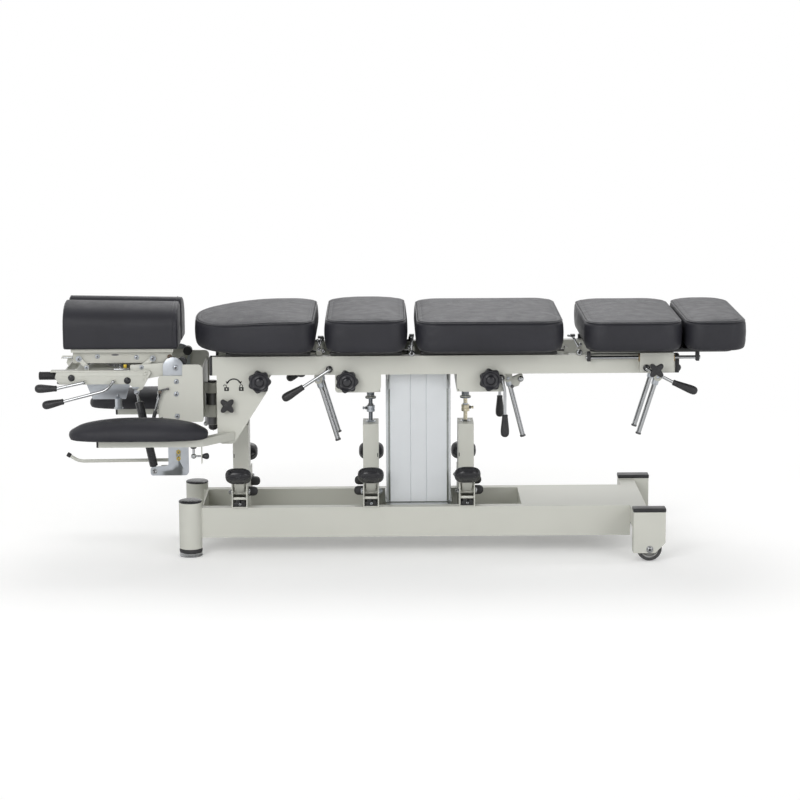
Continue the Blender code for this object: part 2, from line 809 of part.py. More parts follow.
def pedal(name, along, side):
    """A rubber pad on an arm that turns on the pin in its channel."""
    hub_half = CHANNEL_HALF - SHEET - CLEARANCE
    pivot = (along, side * PEDAL_PIVOT_Y, PEDAL_PIVOT_Z)
    hub = cone((along - hub_half, *pivot[1:]), (along + hub_half, *pivot[1:]), PEDAL_HUB_RADIUS)
    pad = ball((0.0, 0.0, 0.0), 0.5, sides=12, squash=(PAD_LENGTH, PAD_WIDTH, PAD_DEPTH * 1.3))
    tilt = Matrix.Rotation(math.radians(side * PAD_TILT), 4, "X")
    pad.data.transform(Matrix.Translation((along, side * PAD_Y, PAD_Z)) @ tilt)
    depth = PEDAL_ARM_DEPTH
    knee_y = PAD_Y - PAD_WIDTH / 8
    outline = [
        (side * (PEDAL_PIVOT_Y - depth / 2), PEDAL_PIVOT_Z + depth / 2),
        (side * (knee_y - depth), PAD_Z - depth / 2),
        (side * knee_y, PAD_Z),
        (side * (knee_y + depth), PAD_Z - depth),
        (side * (PEDAL_PIVOT_Y + depth / 2), PEDAL_PIVOT_Z - depth / 2),
    ]
    arm = plate(outline, along, PEDAL_ARM_WIDTH, plane="YZ")
    heel_low = PEDAL_PIVOT_Z - depth / 2
    heel_y = sorted((side * (POST_WIDTH / 2 + BURY), side * PEDAL_PIVOT_Y))
    heel = box(
        (along - PEDAL_ARM_WIDTH / 3, heel_y[0], heel_low),
        (along + PEDAL_ARM_WIDTH / 3, heel_y[1], heel_low + depth),
    )
    bore = cone(
        (along - CHANNEL_HALF, *pivot[1:]),
        (along + CHANNEL_HALF, *pivot[1:]),
        PEDAL_PIN_RADIUS + RUNNING_GAP,
    )
    return node(name, fused([hub, pad, arm, heel], [bore]), rubber(), pivot)


# Lift column
def column_outline(half_length, half_width):
    """Half of each corner is notched, and the long faces carry two grooves."""
    groove = GROOVE_WIDTH / 2
    depth = GROOVE_DEPTH
    edges = []
    for side in (-1, 1):
        wall = side * half_width
        inner = side * (half_width - depth)
        run = [(-half_length, side * (half_width - CORNER_NOTCH))]
        run.append((-half_length + CORNER_NOTCH, side * (half_width - CORNER_NOTCH / 3)))
        run.append((-half_length + CORNER_NOTCH, wall))
        for middle in (-GROOVE_SPACING / 2, GROOVE_SPACING / 2):
            run += [(middle - groove, wall), (middle, inner), (middle + groove, wall)]
        run.append((half_length - CORNER_NOTCH, wall))
        run.append((half_length - CORNER_NOTCH, side * (half_width - CORNER_NOTCH / 3)))
        run.append((half_length, side * (half_width - CORNER_NOTCH)))
        edges += run if side < 0 else run[::-1]
    return [(COLUMN_X + across, up) for across, up in edges]


def column_outer():
    low = WELL_FLOOR + COLUMN_FOOT_GAP
    high = BEAM_BOTTOM - CLEARANCE
    outline = column_outline(COLUMN_LENGTH / 2, COLUMN_WIDTH / 2)
    shell = plate(outline, (low + high) / 2, high - low, plane="XY")
    hollow = box(
        (COLUMN_X - COLUMN_LENGTH / 2 + COLUMN_WALL, -COLUMN_WIDTH / 2 + COLUMN_WALL, low - OVERRUN),
        (
            COLUMN_X + COLUMN_LENGTH / 2 - COLUMN_WALL,
            COLUMN_WIDTH / 2 - COLUMN_WALL,
            high - COLUMN_WALL,
        ),
    )
    return node("column_outer", fused([shell], [hollow]), aluminium())


def column_inner():
    gap = COLUMN_WALL + RUNNING_GAP * 2
    low = (COLUMN_X - COLUMN_LENGTH / 2 + gap, -COLUMN_WIDTH / 2 + gap, WELL_FLOOR + CLEARANCE)
    high = (
        COLUMN_X + COLUMN_LENGTH / 2 - gap,
        COLUMN_WIDTH / 2 - gap,
        BEAM_BOTTOM - COLUMN_OVERLAP,
    )
    return node("column_inner", box(low, high, edge=BURY * 2), aluminium())


# Upper frame: beams, gussets, hangers, guides, bearings and armrest bars
def gusset_outline():
    tie = ARMREST_BAR_BOTTOM - GUSSET_BOTTOM
    return rounded(
        (
            (GUSSET_LEFT, GUSSET_BOTTOM, tie),
            (GUSSET_FOOT_RIGHT, GUSSET_BOTTOM, tie),
            (GUSSET_RIGHT, GUSSET_SHOULDER, tie),
            (GUSSET_RIGHT, BEAM_BOTTOM + BURY, 0.0),
            (GUSSET_LEFT, BEAM_BOTTOM + BURY, 0.0),
        ),
        steps=2,
    )


def thoracic_hanger_outline():
    return rounded(
        (
            (THORACIC_HANGER_LEFT, HANGER_BOTTOM, HANGER_RADIUS / 2),
            (THORACIC_HANGER_RIGHT, HANGER_BOTTOM, HANGER_RADIUS),
            (THORACIC_HANGER_RIGHT, BEAM_BOTTOM + BURY, 0.0),
            (THORACIC_HANGER_LEFT, BEAM_BOTTOM + BURY, 0.0),
        ),
        steps=3,
    )


def lumbar_hanger_outline():
    return rounded(
        (
            (LUMBAR_HANGER_LEFT, HANGER_BOTTOM, HANGER_RADIUS),
            (LUMBAR_HANGER_RIGHT, HANGER_BOTTOM, HANGER_RADIUS / 2),
            (LUMBAR_HANGER_RIGHT, BEAM_BOTTOM + BURY, 0.0),
            (LUMBAR_HANGER_LEFT, BEAM_BOTTOM + BURY, 0.0),
        ),
        steps=3,
    )


def beam_with_plates(side):
    inside, outside = sorted((side * BEAM_INSIDE, side * BEAM_OUTSIDE))
    middle = side * (BEAM_OUTSIDE - PLATE / 2)
    shapes = [box((BEAM_LEFT, inside, BEAM_BOTTOM), (BEAM_RIGHT, outside, BEAM_TOP))]
    inset = BEAM_CAP_INSET
    low = BEAM_BOTTOM + inset
    high = BEAM_TOP - inset
    shapes.append(
        box(
            (BEAM_RIGHT - BURY, inside + inset, low),
            (BEAM_RIGHT + BEAM_CAP, outside - inset, high),
        )
    )
    shapes.append(
        box(
            (BEAM_LEFT - BEAM_CAP / 3, inside + inset, low),
            (BEAM_LEFT + BURY, outside - inset, high),
        )
    )
    for outline in (gusset_outline(), thoracic_hanger_outline(), lumbar_hanger_outline()):
        shapes.append(plate(outline, middle, PLATE))
    return shapes


def rod_guide(along):
    """A channel between the hangers with the sleeve that a push rod runs in."""
    reach = BEAM_OUTSIDE - PLATE + BURY
    half = GUIDE_CHANNEL / 2
    low = HANGER_BOTTOM
    high = BEAM_BOTTOM + BURY
    outline = (
        (along - half, low),
        (along + half, low),
        (along + half, high),
        (along + half - SHEET, high),
        (along + half - SHEET, low + SHEET),
        (along - half + SHEET, low + SHEET),
        (along - half + SHEET, high),
        (along - half, high),
    )
    channel = plate(outline, 0.0, reach * 2)
    bottom = GUIDE_SLEEVE_BOTTOM
    flange = bottom + PLATE
    sleeve = turned(
        (
            (0.0, low + SHEET * 2),
            (GUIDE_SLEEVE_RADIUS, low + SHEET * 2),
            (GUIDE_SLEEVE_RADIUS, flange),
            (GUIDE_FLANGE_RADIUS, flange),
            (GUIDE_FLANGE_RADIUS, bottom),
            (0.0, bottom),
        ),
        (along, 0.0, 0.0),
        sides=SIDES,
    )
    bore = cone(
        (along, 0.0, bottom - OVERRUN),
        (along, 0.0, low + SHEET * 2 + OVERRUN),
        ROD_RADIUS + RUNNING_GAP,
    )
    return [channel, sleeve], [bore]


def handle_mount(place, sides):
    """A bar between the beams with an ear beside each handle hub."""
    along, up = place
    half = HANDLE_BAR_LENGTH / 2
    reach = BEAM_INSIDE + BURY
    low = BEAM_BOTTOM + CLEARANCE
    shapes = [box((along - half, -reach, low), (along + half, reach, low + HANDLE_BAR_DEPTH))]
    cuts = []
    for side in sides:
        middle = side * (HANDLE_EAR_Y + EAR_THICKNESS / 2)
        outline = rounded(
            (
                (along - EAR_RADIUS, up - EAR_RADIUS, EAR_RADIUS * 0.95),
                (along + EAR_RADIUS, up - EAR_RADIUS, EAR_RADIUS * 0.95),
                (along + EAR_RADIUS, low + BURY, 0.0),
                (along - EAR_RADIUS, low + BURY, 0.0),
            ),
        )
        shapes.append(plate(outline, middle, EAR_THICKNESS))
        near = side * (HANDLE_EAR_Y - OVERRUN / 2)
        far = side * (HANDLE_EAR_Y + EAR_THICKNESS + OVERRUN / 2)
        cuts.append(along_y(place, near, far, SHAFT_RADIUS + RUNNING_GAP))
    return shapes, cuts


def slide_block(side):
    inside, outside = sorted((side * (BEAM_OUTSIDE - BURY), side * BLOCK_OUTSIDE))
    body = box((BLOCK_LEFT, inside, BLOCK_BOTTOM), (BLOCK_RIGHT, outside, BLOCK_TOP))
    bore = cone(
        (BLOCK_LEFT - OVERRUN, side * SLIDE_Y, SLIDE_Z),
        (BLOCK_RIGHT + OVERRUN, side * SLIDE_Y, SLIDE_Z),
        SLIDE_RADIUS + RUNNING_GAP + BUSH_WALL + CLEARANCE,
        sides=FINE_SIDES,
    )
    return body, bore


def armrest_bar(side):
    """A flat bar bent in plan from under the pad to the foot of the gusset."""
    half = ARMREST_BAR_WIDTH / 2
    outer = ARMREST_Y + half
    inner = ARMREST_Y - half
    foot = BEAM_OUTSIDE - PLATE
    bend = ARMREST_BAR_WIDTH * 2
    end = ARMREST_BAR_END
    outline = rounded(
        (
            (ARMREST_BAR_LEFT, side * outer, 0.0),
            (ARMREST_BEND_X + half, side * outer, bend),
            (end + half, side * (foot + half), half / 2),
            (end + half, side * foot, 0.0),
            (end - half, side * foot, 0.0),
            (ARMREST_BEND_X, side * inner, bend / 2),
            (ARMREST_BAR_LEFT, side * inner, 0.0),
        )
    )
    middle = ARMREST_BAR_BOTTOM + ARMREST_BAR_HEIGHT / 2
    bar = plate(outline, middle, ARMREST_BAR_HEIGHT, plane="XY")
    inset = BURY
    cap_y = sorted((side * (inner + inset), side * (outer - inset)))
    cap = box(
        (ARMREST_BAR_LEFT - SHEET, cap_y[0], ARMREST_BAR_BOTTOM + inset),
        (ARMREST_BAR_LEFT + BURY, cap_y[1], ARMREST_BAR_BOTTOM + ARMREST_BAR_HEIGHT - inset),
    )
    return [bar, cap]


def knuckle_heights(carrier):
    """Lower and upper ends of the knuckles of the frame or of the swivel carrier."""
    height = KNUCKLE_TOP - KNUCKLE_BOTTOM
    levels = [KNUCKLE_BOTTOM + height * share for share in KNUCKLE_SHARES]
    first = 1 if carrier else 0
    return [(levels[i] + CLEARANCE / 2, levels[i + 1] - CLEARANCE / 2) for i in (first, first + 2)]


def knuckle(low, high, plate_x):
    """A bored barrel on the swivel axis with the web that joins it to a plate."""
    barrel = cone((SWIVEL_X, 0.0, low), (SWIVEL_X, 0.0, high), KNUCKLE_RADIUS, sides=FINE_SIDES)
    left, right = sorted((SWIVEL_X, plate_x))
    half = KNUCKLE_RADIUS * 0.8
    web = box((left, -half, low + CLEARANCE), (right, half, high - CLEARANCE))
    return [barrel, web]


def hinge_ears(along, up):
    """Two ears on the frame that hold the hinge pin of a drop section."""
    shapes = []
    for side in (-1, 1):
        near, far = sorted((side * HINGE_EAR_Y, side * (BEAM_INSIDE + BURY)))
        half = HINGE_RADIUS
        shapes.append(box((along - half, near, BEAM_TOP - HINGE_BACK * 3), (along + half, far, up)))
        shapes.append(along_y((along, up), near, far, half))
        root = side * (HINGE_EAR_Y + BURY)
        tip = side * (HINGE_EAR_Y - HINGE_EAR_DEPTH)
        shapes.append(along_y((along, up), root, tip, HINGE_PIN_RADIUS, sides=PIN_SIDES))
    return shapes


def upper_frame():
    shapes = []
    cuts = []
    for side in (-1, 1):
        shapes += beam_with_plates(side)
        block, bore = slide_block(side)
        shapes.append(block)
        cuts.append(bore)
        shapes += armrest_bar(side)
    for along in (CHEST_POST_X, THORACIC_POST_X, LUMBAR_POST_X):
        added, cut = rod_guide(along)
        shapes += added
        cuts += cut
    for place, sides in (
        (CHEST_HANDLE[0], (-1, 1)),
        (LEG_HANDLE[0], (-1, 1)),
        (LUMBAR_HANDLE[0], (-1,)),
    ):
        added, cut = handle_mount(place, sides)
        shapes += added
        cuts += cut
    reach = BEAM_INSIDE + BURY
    half = COLUMN_LENGTH / 2 + COLUMN_PLATE_REACH
    left = COLUMN_X - half
    shapes.append(box((left, -reach, BEAM_BOTTOM), (COLUMN_X + half, reach, BEAM_BOTTOM + PLATE)))
    plate_reach = BEAM_OUTSIDE - PLATE + BURY
    shapes.append(
        box(
            (GUSSET_LEFT, -plate_reach, GUSSET_BOTTOM + PLATE),
            (GUSSET_LEFT + END_PLATE, plate_reach, BEAM_BOTTOM + BURY),
        )
    )
    for low, high in knuckle_heights(carrier=False):
        shapes += knuckle(low, high, GUSSET_LEFT + BURY)
    pin_bore = SWIVEL_PIN_RADIUS + RUNNING_GAP
    cuts.append(
        cone(
            (SWIVEL_X, 0.0, KNUCKLE_BOTTOM - OVERRUN),
            (SWIVEL_X, 0.0, KNUCKLE_TOP + OVERRUN),
            pin_bore,
        )
    )
    for along in (CHEST_HINGE_X, THORACIC_HINGE_X, LUMBAR_HINGE_X):
        shapes += hinge_ears(along, HINGE_Z)
    reach = BEAM_OUTSIDE + OVERRUN
    for place, outer in ((HEAD_LEVER[0], reach), (LEG_LEVER[0], BLOCK_OUTSIDE + OVERRUN)):
        cuts.append(along_y(place, -outer, outer, SHAFT_RADIUS + RUNNING_GAP))
    cuts.append(along_y(LUMBAR_LEVER[0], -reach, reach, SHAFT_RADIUS + RUNNING_GAP))
    return node("upper_frame", fused(shapes, cuts), powder_coat())


def push_rod(name, along):
    """The rod from inside its post to just under the platform, with its clamp collar."""
    top = PLATFORM_BOTTOM - ROD_TIP_GAP
    profile = (
        (0.0, top),
        (ROD_RADIUS * 0.55, top - ROD_RADIUS * 0.2),
        (ROD_RADIUS, top - ROD_RADIUS),
        (ROD_RADIUS, COLLAR_BOTTOM + COLLAR_HEIGHT),
        (COLLAR_RADIUS, COLLAR_BOTTOM + COLLAR_HEIGHT),
        (COLLAR_RADIUS, COLLAR_BOTTOM),
        (ROD_RADIUS, COLLAR_BOTTOM),
        (ROD_RADIUS, POST_TOP - ROD_DEPTH),
        (0.0, POST_TOP - ROD_DEPTH),
    )
    rod = turned(profile, (along, 0.0, 0.0), sides=SIDES)
    turn = -1 if along < LUMBAR_POST_X else 1
    middle = (0.0, COLLAR_BOTTOM + COLLAR_HEIGHT / 2)
    tip = along + turn * (COLLAR_RADIUS + CLAMP_SCREW_LENGTH)
    screw = x_pin(along + turn * ROD_RADIUS, tip, middle, CLAMP_SCREW_RADIUS)
    place = (along, 0.0, COLLAR_BOTTOM)
    return node(name, fused([rod, screw]), chrome(), place)


# Knobs
def lobed_outline(centre, radius, lobes, wave_share, count):
    """A circle whose radius rises and falls with each lobe."""
    points = []
    for index in range(count):
        turn = math.tau * index / count
        reach = radius * (1 - wave_share * (1 - math.cos(lobes * turn)))
        points.append((centre[0] + reach * math.cos(turn), centre[1] + reach * math.sin(turn)))
    return points


def tension_knob(name, place):
    back = BEAM_OUTSIDE + KNOB_STUD_LENGTH
    outline = lobed_outline(place, KNOB_RADIUS, KNOB_LOBES, KNOB_WAVE_SHARE, KNOB_LOBES * 4)
    disc = plate(outline, -(back + KNOB_DEPTH / 2), KNOB_DEPTH)
    stud = along_y(place, -(BEAM_OUTSIDE + CLEARANCE), -(back + BURY), KNOB_STUD_RADIUS)
    face = back + KNOB_DEPTH
    hub = cone(
        (place[0], -(face - BURY), place[1]),
        (place[0], -(face + KNOB_HUB_RISE), place[1]),
        KNOB_RADIUS * KNOB_HUB_SHARE * 1.2,
        KNOB_RADIUS * KNOB_HUB_SHARE,
    )
    pivot = (place[0], -BEAM_OUTSIDE, place[1])
    return node(name, fused([disc, stud, hub]), black_plastic(), pivot)


def star_knob(name, place, seat, stud_length):
    back = seat + stud_length
    turn = math.pi / 4
    outline = []
    for across, up in lobed_outline((0.0, 0.0), STAR_RADIUS, 4, STAR_WAVE_SHARE, 32):
        spot = Matrix.Rotation(turn, 2) @ Vector((across, up))
        outline.append((place[0] + spot.x, place[1] + spot.y))
    disc = plate(outline, -(back + STAR_DEPTH / 2), STAR_DEPTH)
    stud = along_y(place, -(seat + CLEARANCE), -(back + BURY), STAR_STUD_RADIUS, sides=PIN_SIDES)
    boss = along_y(place, -(back - STAR_DEPTH / 3), -(back + BURY), STAR_STUD_RADIUS * 2)
    pivot = (place[0], -seat, place[1])
    return node(name, fused([disc, stud, boss]), black_plastic(), pivot)


# Levers and handles
def grip(root, tip):
    """A tapered plastic grip with a round end."""
    root = Vector(root)
    tip = Vector(tip)
    body = cone(root, tip, GRIP_ROOT_RADIUS, GRIP_RADIUS)
    return [body, ball(tip, GRIP_RADIUS * 1.02)]


def lever_arm(route, across, side, seat):
    """Hub, bent rod and grip of one lever; the last two points are the ends of its grip."""
    points = at_side(route, side, across)
    rod = tube(points[:-1], LEVER_ROD_RADIUS)
    face = side * (seat + CLEARANCE)
    hub = along_y(route[0], face, side * (across + LEVER_HUB_LENGTH / 2), LEVER_HUB_RADIUS)
    root = Vector(points[-2]) + (Vector(points[-3]) - Vector(points[-2])).normalized() * BURY
    return [hub, rod, *grip(root, points[-1])]


def lever_pair(name, route, across, seat):
    """Two levers on the ends of one cross shaft."""
    shapes = [along_y(route[0], -across, across, SHAFT_RADIUS)]
    for side in (-1, 1):
        shapes += lever_arm(route, across, side, seat)
    return node(name, fused(shapes), black_plastic(), (route[0][0], 0.0, route[0][1]))


def chrome_handle(name, ends, sides):
    """Tubes that hang from hubs on a shaft between two ears."""
    top, foot = ends
    reach = HANDLE_EAR_Y + EAR_THICKNESS - CLEARANCE
    shaft_end = reach if 1 in sides else -(HANDLE_Y - HANDLE_HUB_RADIUS)
    shapes = [along_y(top, -reach, shaft_end, SHAFT_RADIUS)]
    for side in sides:
        start = Vector((top[0], side * HANDLE_Y, top[1]))
        end = Vector((foot[0], side * HANDLE_Y, foot[1]))
        run = (end - start).normalized()
        shapes.append(cone(start, end, HANDLE_RADIUS))
        ring = end - run * HANDLE_RING_LENGTH
        shapes.append(cone(ring, end + run * BURY, HANDLE_RING_RADIUS))
        inner = side * (HANDLE_Y - HANDLE_HUB_RADIUS)
        outer = side * (HANDLE_EAR_Y - CLEARANCE)
        shapes.append(along_y(top, inner, outer, HANDLE_HUB_RADIUS))
    if len(sides) == 1:
        shapes += clamp_bracket(top, foot, sides[0])
    return node(name, fused(shapes), chrome(), (top[0], 0.0, top[1]))


def clamp_bracket(top, foot, side):
    """The folded bracket beside a single handle, with its bolt."""
    start = Vector((top[0], top[1]))
    run = (Vector((foot[0], foot[1])) - start).normalized()
    out = Vector((-run.y, run.x))
    half = HANDLE_RADIUS * 0.8
    low = start + run * (CLAMP_BRACKET * 1.1)
    corners = (
        start + run * HANDLE_HUB_RADIUS,
        low,
        low + out * CLAMP_BRACKET_LENGTH * 0.55,
        start + out * CLAMP_BRACKET_LENGTH + run * CLAMP_BRACKET * 0.2,
    )
    outline = [(corner.x, corner.y) for corner in corners]
    web = plate(outline, side * HANDLE_Y, half)
    spot = corners[3] + (corners[2] - corners[3]) * 0.3
    bolt = along_y(
        (spot.x, spot.y),
        side * (HANDLE_Y - half),
        side * (HANDLE_Y + half * 1.6),
        CLAMP_BOLT_RADIUS,
    )
    return [web, bolt]


# Cushions
def plan_outline(low, high, left_corner, right_corner, inset, steps=4):
    """A rectangle in plan with quarter ellipses for corners, drawn in by an inset."""
    points = []
    for index, (to_right, to_far) in enumerate(((1, -1), (1, 1), (-1, 1), (-1, -1))):
        reach_x, reach_y = right_corner if to_right > 0 else left_corner
        middle_x = (high[0] if to_right > 0 else low[0]) - to_right * reach_x
        middle_y = (high[1] if to_far > 0 else low[1]) - to_far * reach_y
        for step in range(steps + 1):
            turn = math.pi / 2 * (index - 1 + step / steps)
            along = middle_x + (reach_x - inset) * math.cos(turn)
            across = middle_y + (reach_y - inset) * math.sin(turn)
            points.append((along, across))
    return points


def lofted(rings):
    """Rings of points, all alike in count, bridged from the lowest to the highest and capped."""
    bm = bmesh.new()
    loops = [[bm.verts.new(point) for point in ring] for ring in rings]
    count = len(rings[0])
    for low, high in zip(loops, loops[1:]):
        for index in range(count):
            after = (index + 1) % count
            bm.faces.new((low[index], low[after], high[after], high[index]))
    bm.faces.new(loops[0][::-1])
    bm.faces.new(loops[-1])
    return from_bmesh(bm)


def upholstered(low, high, left_corner, right_corner, base, depth, levels, crown, edge_inset):
    """Rings up the sides at (inset, share of the depth), then a crowned cover."""
    rings = []
    for inset, share in levels:
        outline = plan_outline(low, high, left_corner, right_corner, inset)
        rings.append([(x, y, base + depth * share) for x, y in outline])
    middle_x = (low[0] + high[0]) / 2
    middle_y = (low[1] + high[1]) / 2
    outline = plan_outline(low, high, left_corner, right_corner, edge_inset)
    for spread in COVER_SPREAD_SHARES:
        rise = base + depth + crown * (1 - spread**2)
        rings.append(
            [
                (middle_x + (x - middle_x) * spread, middle_y + (y - middle_y) * spread, rise)
                for x, y in outline
            ]
        )
    return lofted(rings)


def cushion(name, left, length, depth, seat, nose=False):
    """Sides drawn in at the base and bulging, a sewn edge near the top and a crowned cover."""
    half = CUSHION_WIDTH / 2
    corner = (CORNER_RADIUS, CORNER_RADIUS)
    left_corner = (NOSE_LENGTH, half * 0.97) if nose else corner
    edge = CUSHION_EDGE
    levels = (
        (edge * 0.70, 0.0),
        (edge * 0.20, 0.07),
        (0.0, 0.28),
        (0.0, 0.62),
        (edge * 0.14, 0.80),
        (0.0, 0.85),
        (edge * 0.35, 0.94),
    )
    low = (left, -half)
    high = (left + length, half)
    top = depth - CUSHION_CROWN
    shape = upholstered(low, high, left_corner, corner, seat, top, levels, CUSHION_CROWN, edge)
    return node(name, shape, leather(), (left, 0.0, seat), angle=60)


# Platforms under the drop sections
def hinge_barrels(right, hinge):
    """Arms and bored barrels at the foot end of a platform."""
    along, up = hinge
    shapes = []
    cuts = []
    for side in (-1, 1):
        outer = side * (HINGE_EAR_Y - CLEARANCE)
        inner = side * (HINGE_EAR_Y - HINGE_EAR_DEPTH * 1.5)
        near, far = sorted((inner, outer))
        shapes.append(box((right - CORNER_RADIUS, near, PLATFORM_BOTTOM + BURY / 2), (along, far, up)))
        shapes.append(along_y(hinge, inner, outer, HINGE_RADIUS))
        tip = side * (HINGE_EAR_Y - HINGE_EAR_DEPTH - CLEARANCE)
        cuts.append(along_y(hinge, tip, outer + side * OVERRUN, HINGE_PIN_RADIUS + RUNNING_GAP))
    return shapes, cuts


def platform(name, left, length, steel_left, hinge_x, nose=False):
    """A steel tray with a board under the cushion, hinged at its foot end."""
    inset = PLATFORM_INSET
    half = CUSHION_WIDTH / 2
    corner = (CORNER_RADIUS, CORNER_RADIUS)
    left_corner = (NOSE_LENGTH, half * 0.97) if nose else corner
    right = left + length
    low = (left, -half)
    high = (right, half)
    outline = plan_outline(low, high, left_corner, corner, inset)
    board = plate(outline, (BOARD_BOTTOM + BOARD_TOP) / 2, PLATFORM_BOARD, plane="XY")
    steel = box(
        (steel_left, -PLATFORM_STEEL_REACH, PLATFORM_BOTTOM),
        (right - inset, PLATFORM_STEEL_REACH, BOARD_BOTTOM + BURY),
    )
    hinge = (hinge_x, HINGE_Z)
    shapes, cuts = hinge_barrels(right - inset, hinge)
    shape = fused([board, steel, *shapes], cuts)
    return node(name, shape, powder_coat(), (hinge_x, 0.0, HINGE_Z))


def leg_carriage():
    """The tray that carries the two leg cushions, with end brackets for the slide rods."""
    inset = PLATFORM_INSET
    half = CUSHION_WIDTH / 2
    corner = (CORNER_RADIUS, CORNER_RADIUS)
    right = FOOT_LEFT + FOOT_LENGTH
    left = CARRIAGE_LEFT - inset
    outline = plan_outline((left, -half), (right, half), corner, corner, inset)
    shapes = [plate(outline, (CARRIAGE_BOTTOM + BOARD_TOP) / 2, BOARD_TOP - CARRIAGE_BOTTOM, plane="XY")]
    for side in (-1, 1):
        near, far = sorted(
            (side * (SLIDE_Y - SLIDE_END_HALF), side * (SLIDE_Y + SLIDE_END_HALF))
        )
        for start in (SLIDE_LEFT, SLIDE_RIGHT - SLIDE_END):
            low = (start, near, SLIDE_END_BOTTOM)
            shapes.append(box(low, (start + SLIDE_END, far, CARRIAGE_BOTTOM + BURY)))
    return node("leg_carriage", fused(shapes), powder_coat())


def slide_rod(side):
    left = SLIDE_LEFT + SLIDE_END + CLEARANCE
    right = SLIDE_RIGHT - SLIDE_END - CLEARANCE
    rod = x_pin(left, right, (side * SLIDE_Y, SLIDE_Z), SLIDE_RADIUS, sides=SIDES)
    return node("slide_rod_" + SIDE_NAMES[side], rod, chrome())


def slide_bush(side):
    bore = SLIDE_RADIUS + RUNNING_GAP
    outer = bore + BUSH_WALL
    half = (BLOCK_RIGHT - BLOCK_LEFT) / 2 + BUSH_SHOW
    profile = ((bore, half), (outer, half), (outer, -half), (bore, -half), (bore, half))
    place = ((BLOCK_LEFT + BLOCK_RIGHT) / 2, side * SLIDE_Y, SLIDE_Z)
    return node("slide_bush_" + SIDE_NAMES[side], turned(profile, place, (1.0, 0.0, 0.0)), bronze())


# Armrests
def armrest_pad(side):
    half = ARMREST_PAD_WIDTH / 2
    base = ARMREST_BAR_BOTTOM + ARMREST_BAR_HEIGHT + CLEARANCE
    depth = ARMREST_PAD_TOP - base
    ends = ((PAD_RIGHT - PAD_LEFT) * 0.36, half * 0.97)
    low = (PAD_LEFT, side * ARMREST_Y - half)
    high = (PAD_RIGHT, side * ARMREST_Y + half)
    edge = depth * 0.28
    levels = ((edge * 0.45, 0.0), (edge * 0.10, 0.10), (0.0, 0.26), (edge * 0.20, 0.46), (edge, 0.66))
    crown = depth * 0.34
    shape = upholstered(low, high, ends, ends, base, depth - crown, levels, crown, edge * 1.4)
    return node("armrest_pad_" + SIDE_NAMES[side], shape, leather(), angle=60)


